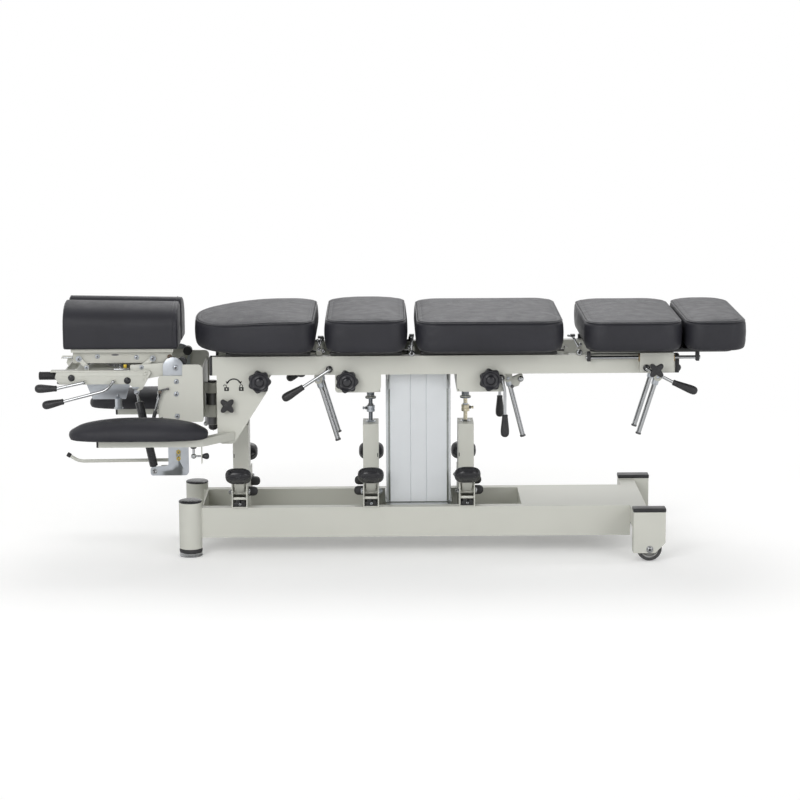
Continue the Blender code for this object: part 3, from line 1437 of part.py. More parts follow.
# Head end
def swivel_carrier():
    """Two side plates on a back plate with knuckles, the cam plates and the angle below."""
    corner = CARRIER_CORNER
    outline = rounded(
        (
            (CARRIER_LEFT, CARRIER_BOTTOM, corner / 2),
            (CARRIER_RIGHT, CARRIER_BOTTOM, corner / 2),
            (CARRIER_RIGHT, CARRIER_TOP, corner),
            (CARRIER_STEP, CARRIER_TOP, corner / 3),
            (CARRIER_STEP, CARRIER_STEP_TOP, 0.0),
            (CARRIER_LEFT, CARRIER_STEP_TOP, corner),
        ),
        steps=3,
    )
    shapes = []
    cuts = []
    back = CARRIER_RIGHT - KNUCKLE_RADIUS / 5
    reach = CARRIER_Y
    bolts = []
    for side in (-1, 1):
        shapes.append(plate(outline, side * CARRIER_Y, PLATE))
        arc = [
            (CAM_X + CAM_RADIUS * math.cos(turn), TILT_Z + CAM_RADIUS * math.sin(turn))
            for turn in (math.pi * step / 10 for step in range(11))
        ]
        seat = CARRIER_STEP_TOP - corner
        cam = [*arc, (CAM_X - CAM_RADIUS, seat), (CAM_X + CAM_RADIUS, seat)]
        inner = CARRIER_Y - PLATE / 2
        shapes.append(plate(cam, side * (inner - CAM_PLATE / 2 + BURY / 2), CAM_PLATE))
        tip = side * (ARM_EAR_Y - PLATE / 2 - BURY)
        root = side * (inner - CAM_PLATE / 2)
        bolts.append(along_y((TILT_X, TILT_Z), root, tip, TILT_BOLT_RADIUS))
    shapes.append(
        box((back - END_PLATE, -reach, CARRIER_BOTTOM + BURY), (back, reach, CARRIER_TOP - corner * 2))
    )
    shapes.append(
        box(
            (CARRIER_LEFT + corner, -reach, CARRIER_BOTTOM + CLEARANCE),
            (back - BURY, reach, CARRIER_BOTTOM + PLATE),
        )
    )
    for low, high in knuckle_heights(carrier=True):
        shapes += knuckle(low, high, back - BURY)
    cuts.append(
        cone(
            (SWIVEL_X, 0.0, KNUCKLE_BOTTOM),
            (SWIVEL_X, 0.0, KNUCKLE_TOP + OVERRUN),
            SWIVEL_PIN_RADIUS + RUNNING_GAP,
        )
    )
    heel = ANGLE_BOTTOM + ANGLE_ARM
    angle = rounded(
        (
            (ANGLE_TOE - STRUT_EYE_RADIUS, ANGLE_BOTTOM, STRUT_EYE_RADIUS),
            (ANGLE_HEEL - corner, ANGLE_BOTTOM, corner),
            (ANGLE_HEEL, heel + corner, corner),
            (ANGLE_HEEL, CARRIER_BOTTOM + BURY * 2, 0.0),
            (ANGLE_HEEL - ANGLE_POST, CARRIER_BOTTOM + BURY * 2, 0.0),
            (ANGLE_HEEL - ANGLE_POST, heel + corner / 2, corner / 2),
            (ANGLE_TOE - STRUT_EYE_RADIUS, heel, STRUT_EYE_RADIUS),
        ),
        steps=3,
    )
    shapes.append(plate(angle, -ANGLE_Y, ANGLE_THICKNESS))
    slot_x = ANGLE_HEEL - ANGLE_POST / 2
    slot_z = heel + ANGLE_POST * 0.65
    cuts.append(along_y((slot_x, slot_z), -ANGLE_Y - OVERRUN, -ANGLE_Y + OVERRUN, ANGLE_ARM / 3))
    pin_tip = STRUT_Y - STRUT_EYE_LENGTH / 2 - BURY * 2
    bolts.append(along_y(STRUT_FOOT, -ANGLE_Y, -pin_tip, STRUT_PIN_RADIUS, sides=PIN_SIDES))
    release_tip = RELEASE_Y - RELEASE_HUB_RADIUS
    bolts.append(along_y(RELEASE_ROUTE[0], -ANGLE_Y, -release_tip, STRUT_PIN_RADIUS, sides=PIN_SIDES))
    shape = fused([fused(shapes, cuts), *bolts])
    return node("swivel_carrier", shape, powder_coat(), (SWIVEL_X, 0.0, 0.0))


def swivel_pin():
    head = KNUCKLE_TOP + CLEARANCE
    foot = KNUCKLE_BOTTOM - CLEARANCE
    profile = (
        (0.0, head + PLATE),
        (SWIVEL_KNOB_RADIUS, head + PLATE),
        (SWIVEL_KNOB_RADIUS, head),
        (SWIVEL_PIN_RADIUS, head),
        (SWIVEL_PIN_RADIUS, foot),
        (SWIVEL_KNOB_RADIUS, foot),
        (SWIVEL_KNOB_RADIUS, foot - SWIVEL_KNOB_DEPTH * 0.6),
        (SWIVEL_KNOB_RADIUS * 0.7, foot - SWIVEL_KNOB_DEPTH * 0.9),
        (0.0, foot - SWIVEL_KNOB_DEPTH),
    )
    shape = turned(profile, (SWIVEL_X, 0.0, 0.0), sides=SIDES)
    return node("swivel_pin", shape, black_plastic(), (SWIVEL_X, 0.0, 0.0))


def head_arm():
    """A tray with side plates, ears at the tilt axis, a sheet below and a grip at its end."""
    drop = ARM_TOP - ARM_BOTTOM
    nose = PLATE
    side_outline = (
        (ARM_LEFT, ARM_TOP),
        (ARM_LEFT - nose, ARM_TOP - drop / 2),
        (ARM_LEFT + nose, ARM_BOTTOM),
        (ARM_TAIL_X - ARM_NOSE * 0.8, ARM_BOTTOM),
        (ARM_TAIL_X, ARM_TAIL_Z),
        (ARM_TAIL_X + ARM_NOSE * 0.4, ARM_TAIL_Z + nose),
        (ARM_TAIL_X + ARM_NOSE * 1.2, ARM_TOP - nose),
        (ARM_TAIL_X + ARM_NOSE, ARM_TOP),
    )
    ear_outline = rounded(
        (
            (ARM_TAIL_X - ARM_NOSE * 0.7, ARM_BOTTOM + nose, 0.0),
            (TILT_X + ARM_EAR_RADIUS, TILT_Z - ARM_EAR_RADIUS, ARM_EAR_RADIUS * 0.9),
            (TILT_X + ARM_EAR_RADIUS, TILT_Z + ARM_EAR_RADIUS, ARM_EAR_RADIUS * 0.9),
            (ARM_TAIL_X - ARM_NOSE * 0.7, LINK_REAR[0][1] + LINK_HALF_WIDTH, 0.0),
        ),
        steps=4,
    )
    shapes = []
    cuts = []
    pins = []
    half = LINK_HALF_WIDTH
    for side in (-1, 1):
        shapes.append(plate(side_outline, side * CARRIER_Y, PLATE))
        shapes.append(plate(ear_outline, side * ARM_EAR_Y, PLATE))
        front = LINK_FRONT[0]
        tab = (
            (front[0] - half, ARM_TOP - PLATE / 2),
            (front[0] + half, ARM_TOP - PLATE / 2),
            (front[0] + half, front[1] + half),
            (front[0] - half, front[1] + half),
        )
        shapes.append(plate(tab, side * ARM_EAR_Y, PLATE))
        bore_ends = (side * (ARM_EAR_Y - PLATE), side * (ARM_EAR_Y + PLATE))
        for place in (front, LINK_REAR[0]):
            cuts.append(along_y(place, *bore_ends, LINK_BOLT_RADIUS + RUNNING_GAP))
        cuts.append(along_y((TILT_X, TILT_Z), *bore_ends, TILT_BOLT_RADIUS + RUNNING_GAP))
        for route in (CLAMP_ONE, CLAMP_TWO):
            if side < 0:
                ends = (-(CARRIER_Y - PLATE), -(CARRIER_Y + PLATE))
                cuts.append(along_y(route[0], *ends, SHAFT_RADIUS * 0.7 + RUNNING_GAP))
    tray_reach = CARRIER_Y + PLATE / 2 - CLEARANCE
    shapes.append(
        box(
            (ARM_FLANGE_LEFT, -tray_reach, ARM_TOP - PLATE + CLEARANCE),
            (ARM_TAIL_X + ARM_NOSE * 0.7, tray_reach, ARM_TOP - CLEARANCE),
        )
    )
    shapes.append(plate(SHEET_OUTLINE, -SHEET_Y, SHEET))
    sheet_root = (SHEET_POST_X, -SHEET_Y)
    pins.append(
        cone(
            (*sheet_root, SHEET_POST_BOTTOM),
            (*sheet_root, SHEET_OUTLINE[2][1] + BURY * 2),
            SHEET_POST_RADIUS,
        )
    )
    sheet_low = ARM_BOTTOM
    shapes.append(
        box(
            (SHEET_OUTLINE[0][0] + PLATE, -SHEET_Y - SHEET / 3, sheet_low),
            (SHEET_OUTLINE[1][0] - PLATE, -SHEET_Y + SHEET / 3, ARM_TOP - PLATE / 2),
        )
    )
    bar = (ARM_TAIL_X, ARM_TAIL_Z + PLATE)
    pins.append(along_y(bar, -CARRIER_Y, CARRIER_Y, LEVER_ROD_RADIUS))
    tab_y = STRUT_Y - STRUT_EYE_LENGTH / 2 - CLEARANCE - SHEET / 2
    hang = (
        (bar[0] - LEVER_ROD_RADIUS, bar[1] + LEVER_ROD_RADIUS * 0.8),
        (STRUT_TOP[0] - STRUT_EYE_RADIUS * 0.8, STRUT_TOP[1]),
        (STRUT_TOP[0], STRUT_TOP[1] - STRUT_EYE_RADIUS),
        (bar[0] + LEVER_ROD_RADIUS * 0.8, bar[1] - LEVER_ROD_RADIUS * 0.7),
    )
    shapes.append(plate(hang[::-1], -tab_y, SHEET))
    handle_y = -(CARRIER_Y - ARM_GRIP_RADIUS * 1.5)
    grip_left = ARM_FLANGE_LEFT - ARM_GRIP_LENGTH * 0.62
    grip_root = ARM_FLANGE_LEFT + ARM_GRIP_LENGTH * 0.38
    pins.append(x_pin(grip_left, grip_root, (handle_y, ARM_GRIP_Z), ARM_GRIP_RADIUS, sides=SIDES))
    stem = ARM_GRIP_RADIUS * 0.6
    pins.append(x_pin(grip_root - BURY, ARM_LEFT + drop, (handle_y, ARM_GRIP_Z), stem))
    shapes.append(
        box(
            (ARM_LEFT + drop / 2, -CARRIER_Y, ARM_BOTTOM + PLATE),
            (ARM_LEFT + drop / 2 + PLATE, CARRIER_Y, ARM_TOP - PLATE / 2),
        )
    )
    shape = fused([fused(shapes, cuts), *pins])
    return node("head_arm", shape, powder_coat(), (TILT_X, 0.0, TILT_Z))


def link(name, ends):
    """Two short plates on one cross shaft that turns in the ears of the arm."""
    start = Vector(ends[0])
    end = Vector(ends[1])
    run = (end - start).normalized()
    out = Vector((-run.y, run.x)) * LINK_HALF_WIDTH
    points = []
    for centre, first in ((end, out), (start, -out)):
        for step in range(7):
            spot = centre + Matrix.Rotation(-math.pi * step / 6, 2) @ first
            points.append((spot.x, spot.y))
    shapes = [plate(points[::-1], side * LINK_Y, LINK_THICKNESS) for side in (-1, 1)]
    reach = ARM_EAR_Y + PLATE / 2
    shapes.append(along_y(ends[0], -reach, reach, LINK_BOLT_RADIUS))
    return node(name, fused(shapes), chrome(), (ends[0][0], 0.0, ends[0][1]))


def head_carriage():
    """Two side plates under a tray with the board that carries the rolls."""
    taper = (HEAD_TAIL_RIGHT - HEAD_PLATE_RIGHT) / 3
    outline = (
        (HEAD_PLATE_LEFT, HEAD_PLATE_BOTTOM),
        (HEAD_PLATE_RIGHT, HEAD_PLATE_BOTTOM),
        (HEAD_TAIL_RIGHT, HEAD_PLATE_BOTTOM + taper),
        (HEAD_TAIL_RIGHT, HEAD_PLATE_TOP),
        (HEAD_PLATE_LEFT, HEAD_PLATE_TOP),
    )
    shapes = []
    for side in (-1, 1):
        shapes.append(plate(outline, side * CARRIAGE_Y, PLATE))
        face = side * (LINK_Y - LINK_THICKNESS / 2 - CLEARANCE)
        for place in (LINK_FRONT[1], LINK_REAR[1]):
            shapes.append(along_y(place, side * CARRIAGE_Y, face, LINK_HALF_WIDTH))
    reach = CARRIAGE_Y + PLATE / 2 - CLEARANCE
    tray_high = HEAD_PLATE_TOP - CLEARANCE
    shapes.append(
        box(
            (HEAD_PLATE_LEFT + CLEARANCE, -reach, HEAD_PLATE_TOP - SHEET),
            (HEAD_TAIL_RIGHT - CLEARANCE, reach, tray_high),
        )
    )
    board_reach = ROLL_OUTSIDE - HEAD_BOARD * 2
    shapes.append(
        box(
            (HEAD_PLATE_LEFT - HEAD_BOARD / 2, -board_reach, tray_high - BURY),
            (HEAD_TAIL_RIGHT + HEAD_BOARD / 2, board_reach, HEAD_PLATE_TOP + HEAD_BOARD),
        )
    )
    place = (HEAD_PLATE_LEFT, 0.0, HEAD_PLATE_BOTTOM)
    return node("head_carriage", fused(shapes), powder_coat(), place)


def head_roll(side):
    """A padded roll: upright outside, round over its crest and falling to the middle."""
    base = HEAD_PLATE_TOP + HEAD_BOARD + CLEARANCE
    lip = ROLL_LIP
    crest = ROLL_CREST_Y
    points = [(ROLL_OUTSIDE - ROLL_EDGE, base), (ROLL_OUTSIDE, base + ROLL_EDGE)]
    height = ROLL_TOP - base
    start = base + height * 0.38
    for step in range(7):
        turn = math.pi / 2 * step / 6
        reach = (ROLL_OUTSIDE - crest) * math.cos(turn)
        points.append((crest + reach, start + (ROLL_TOP - start) * math.sin(turn)))
    fall = ROLL_TOP - base - lip
    for step in range(1, 6):
        turn = math.pi / 2 * step / 5
        points.append((crest - (crest - ROLL_INSIDE) * math.sin(turn), base + lip + fall * math.cos(turn)))
    points.append((ROLL_INSIDE, base + ROLL_EDGE / 2))
    points.append((ROLL_INSIDE + ROLL_EDGE / 2, base))
    middle = sum(point[0] for point in points) / len(points)
    centre = base + height * 0.45
    rings = []
    length = ROLL_RIGHT - ROLL_LEFT
    for station, draw in ROLL_END_SHARES:
        along = ROLL_LEFT + length * station
        share = 1 - draw * ROLL_EDGE / height
        ring = [
            (along, side * (middle + (y - middle) * share), centre + (z - centre) * share)
            for y, z in points
        ]
        rings.append(ring)
    shape = lofted(rings)
    return node("head_roll_" + SIDE_NAMES[side], shape, leather(), angle=60)


# Gas strut, clamp levers and release bar
def strut_points():
    foot = Vector((STRUT_FOOT[0], -STRUT_Y, STRUT_FOOT[1]))
    top = Vector((STRUT_TOP[0], -STRUT_Y, STRUT_TOP[1]))
    return foot, top, (top - foot).normalized()


def strut_eye(centre, bored):
    near = -STRUT_Y - STRUT_EYE_LENGTH / 2
    far = -STRUT_Y + STRUT_EYE_LENGTH / 2
    eye = along_y((centre.x, centre.z), near, far, STRUT_EYE_RADIUS)
    cut = []
    if bored:
        bore = STRUT_PIN_RADIUS + RUNNING_GAP
        cut.append(along_y((centre.x, centre.z), near - OVERRUN, far + OVERRUN, bore))
    return eye, cut


def strut_cylinder():
    foot, top, run = strut_points()
    length = (top - foot).length
    low = foot + run * STRUT_EYE_RADIUS * 2
    high = foot + run * length * STRUT_CYLINDER_SHARE
    body = cone(low, high, STRUT_RADIUS, sides=FINE_SIDES)
    neck = cone(foot, low + run * BURY, STRUT_EYE_RADIUS * 0.7)
    eye, cut = strut_eye(foot, True)
    deep = high - run * length * STRUT_ROD_SHARE * STRUT_CYLINDER_SHARE
    bore = cone(deep, high + run * OVERRUN, STRUT_BORE_RADIUS)
    shape = fused([body, neck, eye], [*cut, bore])
    return node("strut_cylinder", shape, black_plastic(), foot)


def strut_rod():
    foot, top, run = strut_points()
    length = (top - foot).length
    deep = top - run * length * (1 - STRUT_CYLINDER_SHARE) - run * length * STRUT_ENGAGED_SHARE
    rod = cone(deep, top, STRUT_ROD_RADIUS)
    eye, _ = strut_eye(top, False)
    return node("strut_rod", fused([rod, eye]), chrome(), top)


def clamp_lever(name, route):
    """A lever on the near side of the arm that turns on a stub in its side plate."""
    seat = CARRIER_Y + PLATE / 2
    stub_y = -(CARRIER_Y - PLATE / 2)
    stub = along_y(route[0], stub_y, -(seat + BURY * 2), SHAFT_RADIUS * 0.7)
    shapes = lever_arm(route, CLAMP_Y, -1, seat)
    return node(name, fused([*shapes, stub]), black_plastic(), (route[0][0], 0.0, route[0][1]))


def release_bar():
    """A bent bar with a black tip that turns on a pin of the angle."""
    points = at_side(RELEASE_ROUTE, -1, RELEASE_Y)
    bar = tube(points, RELEASE_RADIUS)
    end = Vector(points[-1])
    run = (end - Vector(points[-2])).normalized()
    tip = cone(end - run * RELEASE_TIP / 2, end + run * RELEASE_TIP / 2, RELEASE_RADIUS * 1.35)
    near = -(RELEASE_Y + RELEASE_HUB_RADIUS * 0.8)
    far = -(RELEASE_Y - RELEASE_HUB_RADIUS * 0.8)
    hub = along_y(RELEASE_ROUTE[0], near, far, RELEASE_HUB_RADIUS)
    bore_radius = STRUT_PIN_RADIUS + RUNNING_GAP
    bore = along_y(RELEASE_ROUTE[0], near - BURY, far + BURY, bore_radius)
    place = (RELEASE_ROUTE[0][0], -RELEASE_Y, RELEASE_ROUTE[0][1])
    return node("release_bar", fused([fused([hub, bar, tip])], [bore]), powder_coat(), place)


# The whole table
def build_base():
    base_frame()
    for side in (-1, 1):
        levelling_foot(side)
        wheel(side)
    for name, along, stop in (
        ("chest", CHEST_POST_X, 1),
        ("thoracic", THORACIC_POST_X, -1),
        ("lumbar", LUMBAR_POST_X, 1),
    ):
        cocking_post(name + "_post", along, stop)
        push_rod(name + "_push_rod", along)
        for side in (-1, 1):
            pedal(name + "_pedal_" + SIDE_NAMES[side], along, side)
    column_outer()
    column_inner()


def build_frame():
    upper_frame()
    tension_knob("chest_knob", CHEST_KNOB)
    tension_knob("thoracic_knob", THORACIC_KNOB)
    tension_knob("lumbar_knob", LUMBAR_KNOB)
    star_knob("swivel_star_knob", SWIVEL_STAR, BEAM_OUTSIDE, KNOB_STUD_LENGTH * 0.7)
    star_knob("leg_star_knob", LEG_STAR, BLOCK_OUTSIDE, LEG_STAR_STUD)
    lever_pair("head_lock_lever", HEAD_LEVER, SIDE_LEVER_Y, BEAM_OUTSIDE)
    lever_pair("lumbar_lock_lever", LUMBAR_LEVER, LUMBAR_LEVER_Y, BEAM_OUTSIDE)
    lever_pair("leg_lock_lever", LEG_LEVER, LEG_LEVER_Y, BLOCK_OUTSIDE)
    chrome_handle("chest_handle", CHEST_HANDLE, (-1, 1))
    chrome_handle("lumbar_handle", LUMBAR_HANDLE, (-1,))
    chrome_handle("leg_handle", LEG_HANDLE, (-1, 1))
    for side in (-1, 1):
        slide_rod(side)
        slide_bush(side)
        armrest_pad(side)


def build_top():
    platform(
        "chest_platform", CHEST_LEFT, CHEST_LENGTH, CHEST_STEEL_LEFT, CHEST_HINGE_X, nose=True
    )
    steel = THORACIC_LEFT + PLATFORM_INSET
    platform("thoracic_platform", THORACIC_LEFT, THORACIC_LENGTH, steel, THORACIC_HINGE_X)
    steel = LUMBAR_LEFT + PLATFORM_INSET
    platform("lumbar_platform", LUMBAR_LEFT, LUMBAR_LENGTH, steel, LUMBAR_HINGE_X)
    leg_carriage()
    cushion("chest_cushion", CHEST_LEFT, CHEST_LENGTH, CHEST_DEPTH, SEAT, nose=True)
    cushion("thoracic_cushion", THORACIC_LEFT, THORACIC_LENGTH, THORACIC_DEPTH, SEAT)
    cushion("lumbar_cushion", LUMBAR_LEFT, LUMBAR_LENGTH, LUMBAR_DEPTH, SEAT)
    cushion("pelvic_cushion", PELVIC_LEFT, PELVIC_LENGTH, PELVIC_DEPTH, SEAT)
    cushion("foot_cushion", FOOT_LEFT, FOOT_LENGTH, FOOT_DEPTH, SEAT)


def build_head():
    swivel_carrier()
    swivel_pin()
    head_arm()
    link("link_front", LINK_FRONT)
    link("link_rear", LINK_REAR)
    head_carriage()
    for side in (-1, 1):
        head_roll(side)
    strut_cylinder()
    strut_rod()
    clamp_lever("head_clamp_lever", CLAMP_ONE)
    clamp_lever("drop_clamp_lever", CLAMP_TWO)
    release_bar()


def main():
    clear_scene()
    build_base()
    build_frame()
    build_top()
    build_head()


main()
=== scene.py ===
import math

import bmesh
import bpy
from mathutils import Matrix, Vector, noise
from mathutils.bvhtree import BVHTree
from mathutils.kdtree import KDTree


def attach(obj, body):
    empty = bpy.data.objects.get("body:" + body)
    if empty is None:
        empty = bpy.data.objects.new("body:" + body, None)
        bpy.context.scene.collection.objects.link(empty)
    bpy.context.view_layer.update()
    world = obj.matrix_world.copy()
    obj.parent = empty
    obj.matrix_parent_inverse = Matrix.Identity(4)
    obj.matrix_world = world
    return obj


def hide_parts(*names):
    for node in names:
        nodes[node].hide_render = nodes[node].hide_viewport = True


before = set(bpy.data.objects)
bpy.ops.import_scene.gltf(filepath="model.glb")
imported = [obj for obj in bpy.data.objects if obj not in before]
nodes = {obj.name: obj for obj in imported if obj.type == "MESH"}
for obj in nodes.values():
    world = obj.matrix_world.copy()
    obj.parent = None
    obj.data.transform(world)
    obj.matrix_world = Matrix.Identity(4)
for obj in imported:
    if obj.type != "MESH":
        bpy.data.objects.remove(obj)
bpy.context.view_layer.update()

print("frame loaded:", len(nodes), "nodes")

# camera, lamps and floor

cameraView = {"place": (-0.013, -7.472, 1.758), "pitch": 10.0, "yaw": 0.34, "roll": -0.32, "lens": 113.535}


def lookFrom(view):
    pitch, yaw, roll = (math.radians(view[key]) for key in ("pitch", "yaw", "roll"))
    forward = Vector((math.sin(yaw) * math.cos(pitch), math.cos(yaw) * math.cos(pitch), -math.sin(pitch)))
    level = Vector((math.cos(yaw), -math.sin(yaw), 0.0))
    upright = level.cross(forward)
    across = level * math.cos(roll) + upright * math.sin(roll)
    up = upright * math.cos(roll) - level * math.sin(roll)
    turn = Matrix((across, up, -forward)).transposed().to_4x4()
    return Matrix.Translation(view["place"]) @ turn


scene = bpy.context.scene
cameraData = bpy.data.cameras.new("photoCamera")
cameraData.lens = cameraView["lens"]
cameraData.sensor_width = 36.0
cameraData.clip_end = 60.0
photoCamera = bpy.data.objects.new("photoCamera", cameraData)
photoCamera.matrix_world = lookFrom(cameraView)
scene.collection.objects.link(photoCamera)
scene.camera = photoCamera
scene.view_settings.view_transform = "Standard"

studio = {
    "key": {"place": (-2.4, -4.8, 2.7), "size": 3.4, "power": 124.0},
    "fill": {"place": (3.6, -4.2, 2.2), "size": 3.0, "power": 62.0},
    "rim": {"place": (0.4, 2.6, 4.0), "size": 3.0, "power": 74.0},
    "air": 0.52,
    "gloss": (0.10, 1.05),  # what shiny surfaces see towards the front and towards the back
    "floorColour": (0.86, 0.86, 0.855),
    "floorFade": (1.25, 2.5),
}
for lampName in ("key", "fill", "rim"):
    lamp = studio[lampName]
    lampData = bpy.data.lights.new(lampName + "Lamp", "AREA")
    lampData.shape = "DISK"
    lampData.size = lamp["size"]
    lampData.energy = lamp["power"]
    lampObject = bpy.data.objects.new(lampName + "Lamp", lampData)
    lampObject.location = lamp["place"]
    aim = Vector((0.0, 0.0, 0.45)) - Vector(lamp["place"])
    lampObject.rotation_euler = aim.to_track_quat("-Z", "Y").to_euler()
    scene.collection.objects.link(lampObject)

world = bpy.data.worlds.new("studioAir")
scene.world = world
world.use_nodes = True
air = world.node_tree
airPath = air.nodes.new("ShaderNodeLightPath")


def airLight(strength):
    made = air.nodes.new("ShaderNodeBackground")
    made.inputs["Color"].default_value = (1.0, 1.0, 1.0, 1.0)
    made.inputs["Strength"].default_value = strength
    return made


def airBlend(share, first, second):
    mix = air.nodes.new("ShaderNodeMixShader")
    air.links.new(share, mix.inputs[0])
    air.links.new(first.outputs[0], mix.inputs[1])
    air.links.new(second.outputs[0], mix.inputs[2])
    return mix


around = air.nodes.new("ShaderNodeTexCoord")
aroundParts = air.nodes.new("ShaderNodeSeparateXYZ")
air.links.new(around.outputs["Generated"], aroundParts.inputs[0])
frontToBack = air.nodes.new("ShaderNodeMapRange")
frontToBack.interpolation_type = "SMOOTHSTEP"
frontToBack.inputs["From Min"].default_value = -0.85
frontToBack.inputs["From Max"].default_value = 0.45
frontToBack.inputs["To Min"].default_value = studio["gloss"][0]
frontToBack.inputs["To Max"].default_value = studio["gloss"][1]
air.links.new(aroundParts.outputs["Y"], frontToBack.inputs["Value"])
glossAir = airLight(1.0)
air.links.new(frontToBack.outputs["Result"], glossAir.inputs["Strength"])
seenOrThrough = air.nodes.new("ShaderNodeMath")
seenOrThrough.operation = "MAXIMUM"
air.links.new(airPath.outputs["Is Camera Ray"], seenOrThrough.inputs[0])
air.links.new(airPath.outputs["Is Transmission Ray"], seenOrThrough.inputs[1])
lit = airBlend(airPath.outputs["Is Glossy Ray"], airLight(studio["air"]), glossAir)
seen = airBlend(seenOrThrough.outputs[0], lit, airLight(1.0))
air.links.new(seen.outputs[0], air.nodes["World Output"].inputs["Surface"])


def floorFinish():
    # pale floor that keeps the shadow near the table and fades to the white background further out
    made = bpy.data.materials.new("paleFloor")
    made.use_nodes = True
    tree = made.node_tree
    shader = tree.nodes["Principled BSDF"]
    shader.inputs["Base Color"].default_value = (*studio["floorColour"], 1.0)
    shader.inputs["Roughness"].default_value = 0.9
    shader.inputs["Specular IOR Level"].default_value = 0.1
    path = tree.nodes.new("ShaderNodeLightPath")
    glow = tree.nodes.new("ShaderNodeMath")
    glow.operation = "MULTIPLY"
    glow.inputs[1].default_value = 0.24
    tree.links.new(path.outputs["Is Camera Ray"], glow.inputs[0])
    shader.inputs["Emission Color"].default_value = (1.0, 1.0, 1.0, 1.0)
    tree.links.new(glow.outputs[0], shader.inputs["Emission Strength"])
    coordinates = tree.nodes.new("ShaderNodeTexCoord")
    mapping = tree.nodes.new("ShaderNodeMapping")
    mapping.inputs["Scale"].default_value = (0.72, 1.0, 1.0)
    tree.links.new(coordinates.outputs["Object"], mapping.inputs["Vector"])
    distance = tree.nodes.new("ShaderNodeVectorMath")
    distance.operation = "LENGTH"
    tree.links.new(mapping.outputs["Vector"], distance.inputs[0])
    fade = tree.nodes.new("ShaderNodeMapRange")
    fade.interpolation_type = "SMOOTHSTEP"
    fade.inputs["From Min"].default_value = studio["floorFade"][0]
    fade.inputs["From Max"].default_value = studio["floorFade"][1]
    tree.links.new(distance.outputs["Value"], fade.inputs["Value"])
    white = tree.nodes.new("ShaderNodeEmission")
    white.inputs["Strength"].default_value = 1.0
    fadeSeen = tree.nodes.new("ShaderNodeMath")
    fadeSeen.operation = "MULTIPLY"
    seenShare = tree.nodes.new("ShaderNodeMath")
    seenShare.operation = "MAXIMUM"
    tree.links.new(path.outputs["Is Camera Ray"], seenShare.inputs[0])
    tree.links.new(path.outputs["Is Glossy Ray"], seenShare.inputs[1])
    tree.links.new(fade.outputs["Result"], fadeSeen.inputs[0])
    tree.links.new(seenShare.outputs[0], fadeSeen.inputs[1])
    mix = tree.nodes.new("ShaderNodeMixShader")
    tree.links.new(fadeSeen.outputs[0], mix.inputs[0])
    tree.links.new(shader.outputs[0], mix.inputs[1])
    tree.links.new(white.outputs[0], mix.inputs[2])
    tree.links.new(mix.outputs[0], tree.nodes["Material Output"].inputs["Surface"])
    return made


floorMesh = bmesh.new()
bmesh.ops.create_grid(floorMesh, x_segments=2, y_segments=2, size=30.0)
floorData = bpy.data.meshes.new("floor")
floorMesh.to_mesh(floorData)
floorMesh.free()
floorObject = bpy.data.objects.new("floor", floorData)
floorData.materials.append(floorFinish())
scene.collection.objects.link(floorObject)
print("camera, lamps and floor set")

# finishes


def newFinish(name, colour, roughness, metallic=0.0):
    made = bpy.data.materials.new(name)
    made.use_nodes = True
    made.diffuse_color = (*colour, 1.0)
    shader = made.node_tree.nodes["Principled BSDF"]
    shader.inputs["Base Color"].default_value = (*colour, 1.0)
    shader.inputs["Roughness"].default_value = roughness
    shader.inputs["Metallic"].default_value = metallic
    return made, made.node_tree, shader


def placed(tree, stretch=(1.0, 1.0, 1.0), turn=(0.0, 0.0, 0.0)):
    coordinates = tree.nodes.new("ShaderNodeTexCoord")
    mapping = tree.nodes.new("ShaderNodeMapping")
    mapping.inputs["Scale"].default_value = stretch
    mapping.inputs["Rotation"].default_value = turn
    tree.links.new(coordinates.outputs["Object"], mapping.inputs["Vector"])
    return mapping.outputs["Vector"]


def noiseOf(tree, vector, scale, detail=3.0, roughness=0.5):
    made = tree.nodes.new("ShaderNodeTexNoise")
    made.inputs["Scale"].default_value = scale
    made.inputs["Detail"].default_value = detail
    made.inputs["Roughness"].default_value = roughness
    tree.links.new(vector, made.inputs["Vector"])
    return made.outputs["Fac"]


def ranged(tree, value, low, high, fromLow=0.3, fromHigh=0.7):
    made = tree.nodes.new("ShaderNodeMapRange")
    made.inputs["From Min"].default_value = fromLow
    made.inputs["From Max"].default_value = fromHigh
    made.inputs["To Min"].default_value = low
    made.inputs["To Max"].default_value = high
    tree.links.new(value, made.inputs["Value"])
    return made.outputs["Result"]


def shaded(tree, value, dark, light):
    ramp = tree.nodes.new("ShaderNodeValToRGB")
    ramp.color_ramp.elements[0].position = 0.32
    ramp.color_ramp.elements[0].color = (*dark, 1.0)
    ramp.color_ramp.elements[1].position = 0.68
    ramp.color_ramp.elements[1].color = (*light, 1.0)
    tree.links.new(value, ramp.inputs["Fac"])
    return ramp.outputs["Color"]


def bumped(tree, shader, value, strength, distance, under=None):
    bump = tree.nodes.new("ShaderNodeBump")
    bump.inputs["Strength"].default_value = strength
    bump.inputs["Distance"].default_value = distance
    tree.links.new(value, bump.inputs["Height"])
    if under is not None:
        tree.links.new(under, bump.inputs["Normal"])
    tree.links.new(bump.outputs["Normal"], shader.inputs["Normal"])
    return bump.outputs["Normal"]


def scaled(colour, share):
    return tuple(min(1.0, part * share) for part in colour)


